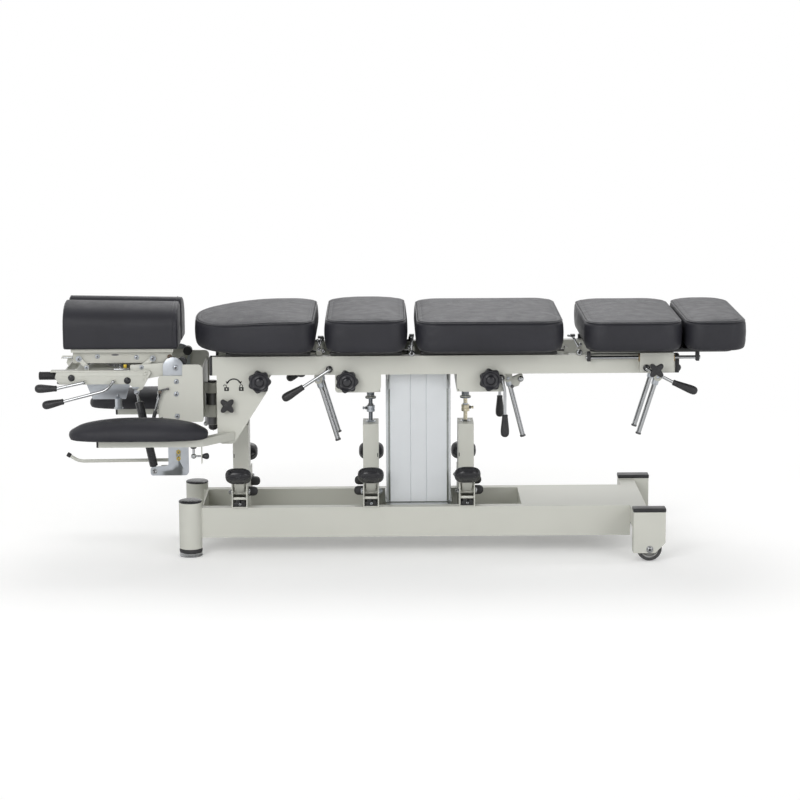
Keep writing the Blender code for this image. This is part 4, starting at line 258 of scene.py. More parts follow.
def paintFinish(name, colour, roughness, peel=0.18):
    made, tree, shader = newFinish(name, colour, roughness)
    where = placed(tree)
    cloud = noiseOf(tree, where, 3.5, 2.0)
    tree.links.new(shaded(tree, cloud, scaled(colour, 0.965), scaled(colour, 1.03)), shader.inputs["Base Color"])
    fine = noiseOf(tree, where, 620.0, 2.0)
    tree.links.new(ranged(tree, fine, roughness - 0.05, roughness + 0.06), shader.inputs["Roughness"])
    bumped(tree, shader, fine, peel, 0.0003)
    shader.inputs["Coat Weight"].default_value = 0.08
    shader.inputs["Coat Roughness"].default_value = 0.3
    return made


def leatherFinish(name, colour, roughness=0.47):
    made, tree, shader = newFinish(name, colour, roughness)
    where = placed(tree)
    cloud = noiseOf(tree, where, 9.0, 3.0)
    tree.links.new(shaded(tree, cloud, scaled(colour, 0.88), scaled(colour, 1.12)), shader.inputs["Base Color"])
    grain = tree.nodes.new("ShaderNodeTexVoronoi")
    grain.feature = "DISTANCE_TO_EDGE"
    grain.inputs["Scale"].default_value = 640.0
    grain.inputs["Randomness"].default_value = 0.95
    warp = tree.nodes.new("ShaderNodeVectorMath")
    warp.operation = "MULTIPLY_ADD"
    warpNoise = tree.nodes.new("ShaderNodeTexNoise")
    warpNoise.inputs["Scale"].default_value = 210.0
    tree.links.new(where, warpNoise.inputs["Vector"])
    warp.inputs[1].default_value = (0.0014, 0.0014, 0.0014)
    tree.links.new(warpNoise.outputs["Color"], warp.inputs[0])
    tree.links.new(where, warp.inputs[2])
    tree.links.new(warp.outputs[0], grain.inputs["Vector"])
    pores = ranged(tree, grain.outputs["Distance"], 0.0, 1.0, 0.0, 0.22)
    creases = noiseOf(tree, where, 34.0, 4.0, 0.55)
    first = bumped(tree, shader, creases, 0.10, 0.004)
    bumped(tree, shader, pores, 0.28, 0.00035, first)
    tree.links.new(ranged(tree, creases, roughness - 0.05, roughness + 0.07), shader.inputs["Roughness"])
    shader.inputs["Specular IOR Level"].default_value = 0.42
    return made


def plasticFinish(name, colour, roughness, grainScale=900.0, strength=0.06):
    made, tree, shader = newFinish(name, colour, roughness)
    where = placed(tree)
    fine = noiseOf(tree, where, grainScale, 2.0)
    broad = noiseOf(tree, where, 40.0, 2.0)
    tree.links.new(shaded(tree, broad, scaled(colour, 0.85), scaled(colour, 1.2)), shader.inputs["Base Color"])
    tree.links.new(ranged(tree, broad, roughness - 0.05, roughness + 0.08), shader.inputs["Roughness"])
    bumped(tree, shader, fine, strength, 0.0003)
    return made


def metalFinish(name, colour, roughness, brushed=(1.0, 1.0, 1.0), scale=260.0, strength=0.04, metallic=1.0, cloudy=0.07):
    made, tree, shader = newFinish(name, colour, roughness, metallic)
    where = placed(tree, brushed)
    fine = noiseOf(tree, where, scale, 3.0)
    cloud = noiseOf(tree, placed(tree), 22.0, 2.0)
    tree.links.new(shaded(tree, cloud, scaled(colour, 1 - cloudy), scaled(colour, 1 + cloudy * 0.7)), shader.inputs["Base Color"])
    tree.links.new(ranged(tree, fine, max(0.03, roughness - 0.04), roughness + 0.06), shader.inputs["Roughness"])
    bumped(tree, shader, fine, strength, 0.0002)
    return made


powderCoat = paintFinish("powderCoat", (0.575, 0.578, 0.525), 0.42)
# darker copy of the powder coat: painted shade for the head carriage and the link lugs that sit in shadow
shadowedPowderCoat = paintFinish("shadowedPowderCoat", (0.50, 0.50, 0.45), 0.45)
blackPaint = paintFinish("blackPaint", (0.018, 0.018, 0.019), 0.38)
charcoalLeather = leatherFinish("charcoalLeather", (0.0190, 0.0190, 0.0250))
pipingLeather = leatherFinish("pipingLeather", (0.022, 0.022, 0.027), 0.36)
seamThread = plasticFinish("seamThread", (0.03, 0.03, 0.034), 0.7)
glossPlastic = plasticFinish("glossPlastic", (0.020, 0.020, 0.023), 0.24)
dishPlastic = plasticFinish("dishPlastic", (0.024, 0.024, 0.028), 0.11, 900.0, 0.02)
satinPlastic = plasticFinish("satinPlastic", (0.022, 0.022, 0.024), 0.42, 700.0, 0.12)
softRubber = plasticFinish("softRubber", (0.035, 0.035, 0.037), 0.62, 420.0, 0.2)
wheelRubber = plasticFinish("wheelRubber", (0.055, 0.055, 0.056), 0.55, 500.0, 0.15)
wheelGrey = plasticFinish("wheelGrey", (0.30, 0.30, 0.29), 0.45)
chromePlate = metalFinish("chromePlate", (0.47, 0.48, 0.49), 0.11)
zincPlate = metalFinish("zincPlate", (0.56, 0.59, 0.63), 0.34, (1.0, 1.0, 1.0), 120.0, 0.08)
yellowZinc = metalFinish("yellowZinc", (0.72, 0.66, 0.50), 0.30, (1.0, 1.0, 1.0), 140.0, 0.06)
darkSteel = metalFinish("darkSteel", (0.16, 0.16, 0.165), 0.38, (1.0, 1.0, 1.0), 200.0, 0.08)
satinAluminium = metalFinish("satinAluminium", (0.70, 0.725, 0.745), 0.44, (1.0, 1.0, 0.03), 900.0, 0.08, 0.3, 0.012)
stripAluminium = metalFinish("stripAluminium", (0.34, 0.36, 0.35), 0.22, (1.0, 1.0, 0.02), 600.0, 0.05, 0.9)
sinteredBronze = metalFinish("sinteredBronze", (0.44, 0.32, 0.17), 0.42, (1.0, 1.0, 1.0), 300.0, 0.12)
brassYellow = metalFinish("brassYellow", (0.80, 0.58, 0.06), 0.4, (1.0, 1.0, 1.0), 200.0, 0.05, 0.5)
signInk = plasticFinish("signInk", (0.012, 0.012, 0.013), 0.5)
darkZinc = metalFinish("darkZinc", (0.22, 0.235, 0.25), 0.36, (1.0, 1.0, 1.0), 160.0, 0.08)
bronzedSteel = metalFinish("bronzedSteel", (0.20, 0.15, 0.11), 0.40, (1.0, 1.0, 1.0), 160.0, 0.08)
gripRubber = plasticFinish("gripRubber", (0.016, 0.016, 0.017), 0.58, 520.0, 0.18)
print("finishes made")

# mesh helpers


def setSlot(newFaces, slot):
    for face in newFaces:
        face.material_index = slot


def facesOf(verts):
    return {face for vert in verts for face in vert.link_faces}


def addBox(bm, low, high, edge=0.0, slot=0, segments=2):
    made = bmesh.ops.create_cube(bm, size=1.0)["verts"]
    size = Vector(high) - Vector(low)
    middle = (Vector(high) + Vector(low)) / 2
    bmesh.ops.scale(bm, vec=size, verts=made)
    bmesh.ops.translate(bm, vec=middle, verts=made)
    faces = facesOf(made)
    setSlot(faces, slot)
    if edge:
        edges = list({line for face in faces for line in face.edges})
        bmesh.ops.bevel(
            bm, geom=edges, offset=edge, segments=segments, profile=0.5, affect="EDGES", material=-1
        )


def addRod(bm, start, end, radius, endRadius=None, sides=24, slot=0, chamfer=0.0):
    start = Vector(start)
    end = Vector(end)
    run = end - start
    turn = run.to_track_quat("Z", "Y").to_matrix().to_4x4()
    made = bmesh.ops.create_cone(
        bm,
        cap_ends=True,
        segments=sides,
        radius1=radius,
        radius2=radius if endRadius is None else endRadius,
        depth=run.length,
        matrix=Matrix.Translation((start + end) / 2) @ turn,
    )["verts"]
    faces = facesOf(made)
    setSlot(faces, slot)
    if chamfer:
        rims = list({line for face in faces if len(face.verts) > 4 for line in face.edges})
        bmesh.ops.bevel(
            bm, geom=rims, offset=chamfer, segments=2, profile=0.5, affect="EDGES", material=-1
        )


def addBall(bm, centre, radius, squash=(1.0, 1.0, 1.0), slot=0, sides=24, turn=None):
    place = Matrix.Translation(centre) @ (turn or Matrix.Identity(4)) @ Matrix.Diagonal((*squash, 1.0))
    made = bmesh.ops.create_uvsphere(
        bm, u_segments=sides, v_segments=sides // 2, radius=radius, matrix=place
    )["verts"]
    setSlot(facesOf(made), slot)


def addTurned(bm, profile, place, direction=(0.0, 0.0, 1.0), sides=40, slot=0):
    # profile: (radius, distance along the direction), bottom to top
    direction = Vector(direction).normalized()
    turn = direction.to_track_quat("Z", "Y").to_matrix().to_4x4()
    matrix = Matrix.Translation(place) @ turn
    verts = [bm.verts.new(matrix @ Vector((radius, 0.0, height))) for radius, height in profile]
    edges = [bm.edges.new(pair) for pair in zip(verts, verts[1:])]
    before = set(bm.faces)
    bmesh.ops.spin(
        bm,
        geom=verts + edges,
        cent=Vector(place),
        axis=direction,
        dvec=(0.0, 0.0, 0.0),
        angle=math.tau,
        steps=sides,
        use_merge=True,
        use_duplicate=False,
    )
    faces = [face for face in bm.faces if face not in before]
    setSlot(faces, slot)
    ring = list({vert for face in faces for vert in face.verts})
    bmesh.ops.remove_doubles(bm, verts=ring, dist=0.00001)


def addPlate(bm, outline, middle, thickness, plane="XZ", edge=0.0006, slot=0, segments=2):
    half = thickness / 2

    def spot(point, depth):
        if plane == "XZ":
            return (point[0], depth, point[1])
        if plane == "YZ":
            return (depth, point[0], point[1])
        return (point[0], point[1], depth)

    verts = [bm.verts.new(spot(point, middle - half)) for point in outline]
    face = bm.faces.new(verts)
    made = bmesh.ops.extrude_face_region(bm, geom=[face])["geom"]
    raised = [item for item in made if isinstance(item, bmesh.types.BMVert)]
    shift = Vector(spot((0.0, 0.0), thickness))
    bmesh.ops.translate(bm, vec=shift, verts=raised)
    faces = facesOf(verts + raised)
    setSlot(faces, slot)
    if edge:
        rims = list({line for face in faces if len(face.verts) > 4 or len(outline) == 4 for line in face.edges})
        bmesh.ops.bevel(
            bm, geom=rims, offset=edge, segments=segments, profile=0.5, affect="EDGES", material=-1
        )


def rounded(corners, steps=6):
    points = []
    count = len(corners)
    for index, (across, up, radius) in enumerate(corners):
        here = Vector((across, up))
        if not radius:
            points.append((across, up))
            continue
        before = (Vector(corners[index - 1][:2]) - here).normalized()
        after = (Vector(corners[(index + 1) % count][:2]) - here).normalized()
        half = before.angle(after) / 2
        reach = radius / math.tan(half)
        centre = here + (before + after).normalized() * radius / math.sin(half)
        first = here + before * reach - centre
        last = here + after * reach - centre
        swing = math.atan2(first.x * last.y - first.y * last.x, first.dot(last))
        for step in range(steps + 1):
            spot = centre + Matrix.Rotation(swing * step / steps, 2) @ first
            points.append((spot.x, spot.y))
    return points


def softened(route, bend, steps=8):
    # a bent bar's centre line: straight runs with an arc of the bend's reach at each corner
    points = [Vector(route[0])]
    for before, here, after in zip(route, route[1:], route[2:]):
        before, here, after = Vector(before), Vector(here), Vector(after)
        reach = min(bend, (here - before).length * 0.48, (after - here).length * 0.48)
        start = here + (before - here).normalized() * reach
        end = here + (after - here).normalized() * reach
        for step in range(steps + 1):
            share = step / steps
            points.append(start.lerp(here, share).lerp(here.lerp(end, share), share))
    points.append(Vector(route[-1]))
    return points


def addBar(bm, points, radius, slot=0, sides=5, closed=False):
    curve = bpy.data.curves.new("bar", "CURVE")
    curve.dimensions = "3D"
    curve.bevel_depth = radius
    curve.bevel_resolution = sides
    curve.use_fill_caps = not closed
    spline = curve.splines.new("POLY")
    spline.points.add(len(points) - 1)
    for knot, place in zip(spline.points, points):
        knot.co = (*place, 1.0)
    spline.use_cyclic_u = closed
    carrier = bpy.data.objects.new("bar", curve)
    scene.collection.objects.link(carrier)
    bpy.context.view_layer.update()
    mesh = bpy.data.meshes.new_from_object(carrier.evaluated_get(bpy.context.evaluated_depsgraph_get()))
    before = set(bm.faces)
    bm.from_mesh(mesh)
    setSlot([face for face in bm.faces if face not in before], slot)
    bpy.data.objects.remove(carrier, do_unlink=True)
    bpy.data.meshes.remove(mesh)


def finished(name, bm, finishes, body, angle=38, stands=(), recalc=True):
    bmesh.ops.remove_doubles(bm, verts=bm.verts, dist=0.000008)
    if recalc:
        bmesh.ops.recalc_face_normals(bm, faces=bm.faces)
    mesh = bpy.data.meshes.new(name)
    bm.to_mesh(mesh)
    bm.free()
    piece = bpy.data.objects.new(name, mesh)
    scene.collection.objects.link(piece)
    for finish in finishes:
        mesh.materials.append(finish)
    mesh.shade_smooth()
    mesh.set_sharp_from_angle(angle=math.radians(angle))
    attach(piece, body)
    if stands:
        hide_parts(*stands)
    return piece


def atSide(points, side, across):
    return [(along, side * across, up) for along, up in points]


sideNames = {-1: "near", 1: "far"}

# finishes on the solids that stay

nodeFinish = {
    "base_frame": powderCoat, "chest_post": powderCoat, "thoracic_post": powderCoat, "lumbar_post": powderCoat,
    "column_inner": satinAluminium, "column_outer": satinAluminium, "upper_frame": powderCoat,
    "chest_platform": blackPaint, "thoracic_platform": blackPaint, "lumbar_platform": blackPaint,
    # the head carriage takes the darker copy of the powder coat, painted shade
    "leg_carriage": powderCoat, "swivel_carrier": powderCoat, "head_arm": powderCoat, "head_carriage": shadowedPowderCoat,
    "swivel_pin": darkSteel, "slide_rod_near": chromePlate, "slide_rod_far": chromePlate,
    "slide_bush_near": sinteredBronze, "slide_bush_far": sinteredBronze, "strut_rod": chromePlate,
    "link_front": powderCoat, "link_rear": powderCoat, "release_bar": powderCoat,
}
for nodeName, solid in nodes.items():
    finish = nodeFinish.get(nodeName, satinPlastic)
    if "knob" in nodeName or "pedal" in nodeName:
        finish = glossPlastic
    if "handle" in nodeName or "lever" in nodeName or "push_rod" in nodeName or "foot_" in nodeName:
        finish = chromePlate
    if "cushion" in nodeName or "roll" in nodeName or "armrest_pad" in nodeName:
        finish = charcoalLeather
    solid.data.materials.clear()
    solid.data.materials.append(finish)
print("solids finished")

# upholstery


def planOutline(low, high, leftCorner, rightCorner, steps=14, blunt=(1.0, 1.0)):
    points = []
    for index, (toRight, toFar) in enumerate(((1, -1), (1, 1), (-1, 1), (-1, -1))):
        reachX, reachY = rightCorner if toRight > 0 else leftCorner
        middleX = (high[0] if toRight > 0 else low[0]) - toRight * reachX
        middleY = (high[1] if toFar > 0 else low[1]) - toFar * reachY
        for step in range(steps + 1):
            turn = math.pi / 2 * (index - 1 + step / steps)
            power = blunt[1] if toRight > 0 else blunt[0]
            along = math.copysign(abs(math.cos(turn)) ** power, math.cos(turn))
            across = math.copysign(abs(math.sin(turn)) ** power, math.sin(turn))
            points.append((middleX + reachX * along, middleY + reachY * across))
    return points


def coverMesh(outline, middle, half, levels):
    # an outline drawn up through (inset, height) levels and closed at both ends
    bm = bmesh.new()
    verts = [bm.verts.new((x, y, levels[0][1])) for x, y in outline]
    base = bm.faces.new(verts)
    edges = list(base.edges)
    inset = 0.0
    shares = []
    for levelInset, height in levels:
        shares.append(((half[0] - levelInset) / half[0], (half[1] - levelInset) / half[1], height))
    for vert in verts:
        vert.co.x = middle[0] + (vert.co.x - middle[0]) * shares[0][0]
        vert.co.y = middle[1] + (vert.co.y - middle[1]) * shares[0][1]
    before = shares[0]
    for share in shares[1:]:
        grown = bmesh.ops.extrude_edge_only(bm, edges=edges)["geom"]
        risen = [item for item in grown if isinstance(item, bmesh.types.BMVert)]
        edges = [item for item in grown if isinstance(item, bmesh.types.BMEdge)]
        for vert in risen:
            vert.co.x = middle[0] + (vert.co.x - middle[0]) * share[0] / before[0]
            vert.co.y = middle[1] + (vert.co.y - middle[1]) * share[1] / before[1]
            vert.co.z = share[2]
        before = share
    bmesh.ops.contextual_create(bm, geom=edges)
    bmesh.ops.recalc_face_normals(bm, faces=bm.faces)
    return bm


def meshObject(name, bm):
    mesh = bpy.data.meshes.new(name)
    bm.to_mesh(mesh)
    bm.free()
    made = bpy.data.objects.new(name, mesh)
    scene.collection.objects.link(made)
    return made


def applied(piece):
    graph = bpy.context.evaluated_depsgraph_get()
    mesh = bpy.data.meshes.new_from_object(piece.evaluated_get(graph))
    piece.modifiers.clear()
    old = piece.data
    piece.data = mesh
    bpy.data.meshes.remove(old)


def swollen(piece, voxel, isHeld, cap, pressure=4.0):
    # an even mesh, blown up as cloth from the held places, no point moving further than the cap
    remesh = piece.modifiers.new("even", "REMESH")
    remesh.mode = "VOXEL"
    remesh.voxel_size = voxel
    bpy.context.view_layer.update()
    applied(piece)
    rest = [vert.co.copy() for vert in piece.data.vertices]
    held = piece.vertex_groups.new(name="held")
    for index, place in enumerate(rest):
        weight = isHeld(place)
        if weight > 0:
            held.add([index], weight, "REPLACE")
    cloth = piece.modifiers.new("cover", "CLOTH")
    cloth.settings.quality = 4
    cloth.settings.mass = 0.3
    cloth.settings.tension_stiffness = 12
    cloth.settings.compression_stiffness = 12
    cloth.settings.shear_stiffness = 6
    cloth.settings.bending_stiffness = 0.6
    cloth.settings.use_pressure = True
    cloth.settings.uniform_pressure_force = pressure
    cloth.settings.effector_weights.gravity = 0.0
    cloth.settings.vertex_group_mass = "held"
    cloth.collision_settings.use_collision = False
    for step in range(1, 21):
        scene.frame_set(step)
    applied(piece)
    scene.frame_set(1)
    for vert, start in zip(piece.data.vertices, rest):
        move = vert.co - start
        if move.length > cap:
            vert.co = start + move * (cap / move.length)


def surfaceRing(piece, points, inward):
    # where level rays from outside meet the piece, for a seam that lies on it
    tree = BVHTree.FromObject(piece, bpy.context.evaluated_depsgraph_get())
    found = []
    for place, way in zip(points, inward):
        start = Vector(place) - Vector(way) * 0.06
        hit = tree.ray_cast(start, Vector(way), 0.12)[0]
        found.append(hit if hit is not None else Vector(place))
    return found


def smoothRing(points, rounds=2):
    for _ in range(rounds):
        points = [
            (points[index - 1] + points[index] * 2 + points[(index + 1) % len(points)]) / 4
            for index in range(len(points))
        ]
    return points


def evenRing(points, spacing):
    ring = [Vector(point) for point in points] + [Vector(points[0])]
    made = []
    left = 0.0
    for start, end in zip(ring, ring[1:]):
        run = (end - start).length
        while left < run:
            made.append(start.lerp(end, left / run) if run else start)
            left += spacing
        left -= run
    return made


cushionShape = {
    "seat": 0.6223, "width": 0.530, "corner": 0.058, "nose": 0.185, "crown": 0.009, "swell": 0.007,
    "seamDrop": 0.0060, "pipeRadius": 0.0019, "pinch": 0.0026, "voxel": 0.0062, "stitchIn": 0.015, "noseDroop": 0.011,
    "blunt": 0.86,
}
bodyCushions = {
    "chest": {"left": -0.5818, "length": 0.3678, "depth": 0.1040, "nose": True, "body": "chest_section"},
    "thoracic": {"left": -0.191, "length": 0.245, "depth": 0.1065, "nose": False, "body": "thoracic_section"},
    "lumbar": {"left": 0.074, "length": 0.437, "depth": 0.1010, "nose": False, "body": "lumbar_section"},
    "pelvic": {"left": 0.565, "length": 0.292, "depth": 0.0975, "nose": False, "body": "leg_section"},
    "foot": {"left": 0.8578, "length": 0.1854, "depth": 0.0985, "nose": False, "body": "leg_section"},
}


def gathers(place, amount, seed):
    return amount * noise.noise(Vector((place.x * 42 + seed, place.y * 42, seed * 1.7)))


def bodyCushion(name, size):
    shape = cushionShape
    side = shape["swell"] * 0.75
    low = (size["left"] + side, -shape["width"] / 2 + side)
    high = (size["left"] + size["length"] - side, shape["width"] / 2 - side)
    half = ((high[0] - low[0]) / 2, (high[1] - low[1]) / 2)
    middle = ((high[0] + low[0]) / 2, 0.0)
    corner = (shape["corner"], shape["corner"])
    leftCorner = (shape["nose"], half[1] * 0.97) if size["nose"] else corner
    outline = planOutline(low, high, leftCorner, corner, 14, (shape["blunt"], 1.0) if size["nose"] else (1.0, 1.0))
    base = shape["seat"]
    top = base + size["depth"] - shape["crown"]
    seam = top - shape["seamDrop"]
    levels = [
        (0.009, base), (0.002, base + 0.005), (-0.001, base + 0.022), (-0.002, base + 0.050),
        (-0.0005, seam - 0.008), (0.0, seam), (0.0040, top - 0.0015), (0.014, top + 0.0010), (0.05, top + 0.004),
    ]
    piece = meshObject(name + "Cushion", coverMesh(outline, middle, half, levels))

    def droop(x, z):
        # the chest cushion's nose sinks a little at its end
        if not size["nose"]:
            return 0.0
        share = min(1.0, max(0.0, (-0.33 - x) / 0.22))
        return shape["noseDroop"] * share * share * (3 - 2 * share) * min(1.0, max(0.0, (z - base - 0.02) / (seam - base - 0.02)))

    def edgeShare(place):
        reach = max(abs(place.x - middle[0]) / half[0], abs(place.y) / half[1])
        return reach

    def isHeld(place):
        if place.z < base + 0.003:
            return 1.0
        if abs(place.z - seam) < 0.005:
            return 0.92
        return 0.0

    swollen(piece, shape["voxel"], isHeld, 0.010)
    mesh = piece.data
    seed = size["left"] * 10
    for vert in mesh.vertices:
        place = vert.co
        lift = place.z - base
        outward = Vector((place.x - middle[0], place.y, 0.0))
        if outward.length > 0:
            outward.normalize()
        if 0.0005 < lift < 0.022:
            fade = 1 - lift / 0.022
            place += outward * gathers(place, 0.0022, seed) * fade
        if place.z > seam + 0.012:
            # the cover of the top, very slightly uneven
            place.z += 0.0008 * noise.noise(Vector((place.x * 9 + seed, place.y * 9, 0.3)))
        place.z = max(place.z - droop(place.x, place.z), base)
    relax = piece.modifiers.new("relax", "SMOOTH")
    relax.factor = 0.5
    relax.iterations = 2
    finer = piece.modifiers.new("finer", "SUBSURF")
    finer.levels = 1
    finer.render_levels = 1
    bpy.context.view_layer.update()
    applied(piece)

    def inwardAt(x, y):
        nearX = min(max(x, low[0] + leftCorner[0]), high[0] - corner[0])
        nearY = min(max(y, -half[1] + corner[1]), half[1] - corner[1])
        way = Vector((nearX - x, nearY - y, 0.0))
        return way.normalized() if way.length > 0 else Vector((1, 0, 0))

    flat = evenRing([(x, y, seam - droop(x, seam)) for x, y in outline], 0.008)
    ring = smoothRing(surfaceRing(piece, flat, [inwardAt(p.x, p.y) for p in flat]), 3)
    for vert in piece.data.vertices:
        place = vert.co
        gap = abs(place.z - seam + droop(place.x, seam))
        if gap < 0.008 and edgeShare(place) > 0.72:
            pull = shape["pinch"] * math.exp(-((gap / 0.0034) ** 2))
            place += inwardAt(place.x, place.y) * pull
    tree = BVHTree.FromObject(piece, bpy.context.evaluated_depsgraph_get())
    stitched = []
    for point in flat:
        over = point + inwardAt(point.x, point.y) * shape["stitchIn"] + Vector((0.0, 0.0, 0.05))
        hit = tree.ray_cast(over, Vector((0.0, 0.0, -1.0)), 0.1)[0]
        if hit is not None:
            stitched.append(hit)
    stitched = smoothRing(stitched, 4)
    line = KDTree(len(stitched))
    for index, point in enumerate(stitched):
        line.insert(point, index)
    line.balance()
    for vert in piece.data.vertices:
        if vert.co.z > top - 0.012:
            away = line.find(vert.co)[2]
            if away < 0.012:
                vert.co.z -= 0.0014 * math.exp(-((away / 0.0048) ** 2))
    finish(piece, name + "_cushion", size["body"], 0.8)
    pipe = bmesh.new()
    addBar(pipe, [p + inwardAt(p.x, p.y) * 0.0004 for p in ring], shape["pipeRadius"], closed=True, sides=3)
    addBar(pipe, [p - Vector((0.0, 0.0, 0.0016)) for p in stitched], 0.0009, closed=True, sides=2)
    finished(name + "Piping", pipe, [pipingLeather], size["body"])
    return piece


def finish(piece, node, body, fill):
    piece.data.materials.clear()
    piece.data.materials.append(charcoalLeather)
    piece.data.shade_smooth()
    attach(piece, body)
    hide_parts(node)


for cushionName, cushionSize in bodyCushions.items():
    bodyCushion(cushionName, cushionSize)
    print("cushion", cushionName)

rollShape = {
    "left": -0.9605, "right": -0.6198, "outside": 0.150, "inside": 0.012, "top": 0.757, "crest": 0.040, "base": 0.6214,
    "lip": 0.040, "edge": 0.008, "swell": 0.0028, "voxel": 0.0052, "pipe": 0.0017,
}


def rollSection(shrink):
    # upright outside, round over its crest, falling to the middle
    shape = rollShape
    outside = shape["outside"] - shrink
    inside = shape["inside"] + shrink
    base = shape["base"]
    top = shape["top"] - shrink
    crest = shape["crest"]
    points = [(outside - shape["edge"] * 0.6, base), (outside - 0.001, base + 0.0035), (outside, base + shape["edge"])]
    start = base + (top - base) * 0.44
    for step in range(19):
        turn = math.pi / 2 * step / 18
        points.append((crest + (outside - crest) * math.cos(turn) ** 0.84, start + (top - start) * math.sin(turn) ** 0.84))
    fall = top - base - shape["lip"]
    for step in range(1, 15):
        turn = math.pi / 2 * step / 14
        points.append((crest - (crest - inside) * math.sin(turn), base + shape["lip"] + fall * math.cos(turn)))
    points += [(inside, base + 0.006), (inside + 0.003, base + 0.001), (inside + 0.006, base)]
    return points


def headRoll(side):
    shape = rollShape
    section = rollSection(shape["swell"])
    middle = (sum(y for y, _ in section) / len(section), shape["base"] + (shape["top"] - shape["base"]) * 0.45)
    left = shape["left"] + shape["swell"] * 0.6
    right = shape["right"] - shape["swell"] * 0.6
    bm = bmesh.new()
    stations = ((0.0, 0.955), (0.0022, 0.985), (0.008, 1.0), (0.5, 1.0), (0.992, 1.0), (0.9978, 0.985), (1.0, 0.955))
    verts = [bm.verts.new((left, side * y, z)) for y, z in section]
    edges = list(bm.faces.new(verts).edges)
    ring = verts
    spots = {vert: index for index, vert in enumerate(verts)}
    for station, share in stations:
        along = left + (right - left) * station
        if station > 0.0:
            grown = bmesh.ops.extrude_edge_only(bm, edges=edges)["geom"]
            edges = [item for item in grown if isinstance(item, bmesh.types.BMEdge)]
            risen = [item for item in grown if isinstance(item, bmesh.types.BMVert)]
            nearest = {}
            for vert in risen:
                nearest[vert] = min(spots, key=lambda old: (old.co - vert.co).length_squared)
            spots = {vert: spots[old] for vert, old in nearest.items()}
        for vert, index in spots.items():
            y, z = section[index]
            lowered = shape["base"] if z <= shape["base"] + 0.0001 else middle[1] + (z - middle[1]) * share
            vert.co = Vector((along, side * (middle[0] + (y - middle[0]) * share), lowered))
    bmesh.ops.contextual_create(bm, geom=edges)
    bmesh.ops.recalc_face_normals(bm, faces=bm.faces)
    name = "headRoll_" + sideNames[side]
    piece = meshObject(name, bm)
    base = shape["base"]

    def isHeld(place):
        if place.z < base + 0.004:
            return 1.0
        if min(place.x - left, right - place.x) < 0.006:
            return 0.9
        return 0.25

    swollen(piece, shape["voxel"], isHeld, 0.0045, 2.5)
    for vert in piece.data.vertices:
        place = vert.co
        lift = place.z - base
        if 0.0005 < lift < 0.016:
            outward = Vector((0.0, place.y - side * middle[0], 0.0)).normalized()
            place += outward * gathers(place, 0.0016, side * 3.1) * (1 - lift / 0.016)
        wave = noise.noise(Vector((place.x * 8, place.y * 8, place.z * 8 + side)))
        place += Vector((0.0, place.y - side * middle[0], place.z - middle[1])).normalized() * wave * 0.0005
        place.z += (0.0028 - 0.0070 * (place.x - left) / (right - left)) * (place.z - base) / (shape["top"] - base)
        place.z = max(place.z, base)
    softening = piece.modifiers.new("relax", "SMOOTH")
    softening.factor = 0.5
    softening.iterations = 3
    finer = piece.modifiers.new("finer", "SUBSURF")
    finer.levels = 1
    finer.render_levels = 1
    bpy.context.view_layer.update()
    applied(piece)
    tree = BVHTree.FromObject(piece, bpy.context.evaluated_depsgraph_get())
    pipes = bmesh.new()
    for along in (left + 0.0045, right - 0.0045, right - 0.0150):
        ring = []
        for y, z in rollSection(0.0):
            start = Vector((along, side * (middle[0] + (y - middle[0]) * 1.4), middle[1] + (z - middle[1]) * 1.4))
            aim = Vector((along, side * middle[0], middle[1])) - start
            hit = tree.ray_cast(start, aim.normalized(), aim.length)[0]
            if hit is not None:
                ring.append(hit)
        ring = smoothRing(evenRing(ring, 0.006), 2)
        thick = shape["pipe"] if along < right - 0.010 else 0.0009
        addBar(pipes, ring, thick, closed=True, sides=3)
    finish(piece, "head_roll_" + sideNames[side], "head_cradle", 0.85)
    finished("headRollPiping_" + sideNames[side], pipes, [pipingLeather], "head_cradle")


padShape = {
    "left": -0.934, "right": -0.525, "y": 0.270, "half": 0.0625, "base": 0.3779, "top": 0.4385, "swell": 0.002, "voxel": 0.0050,
}


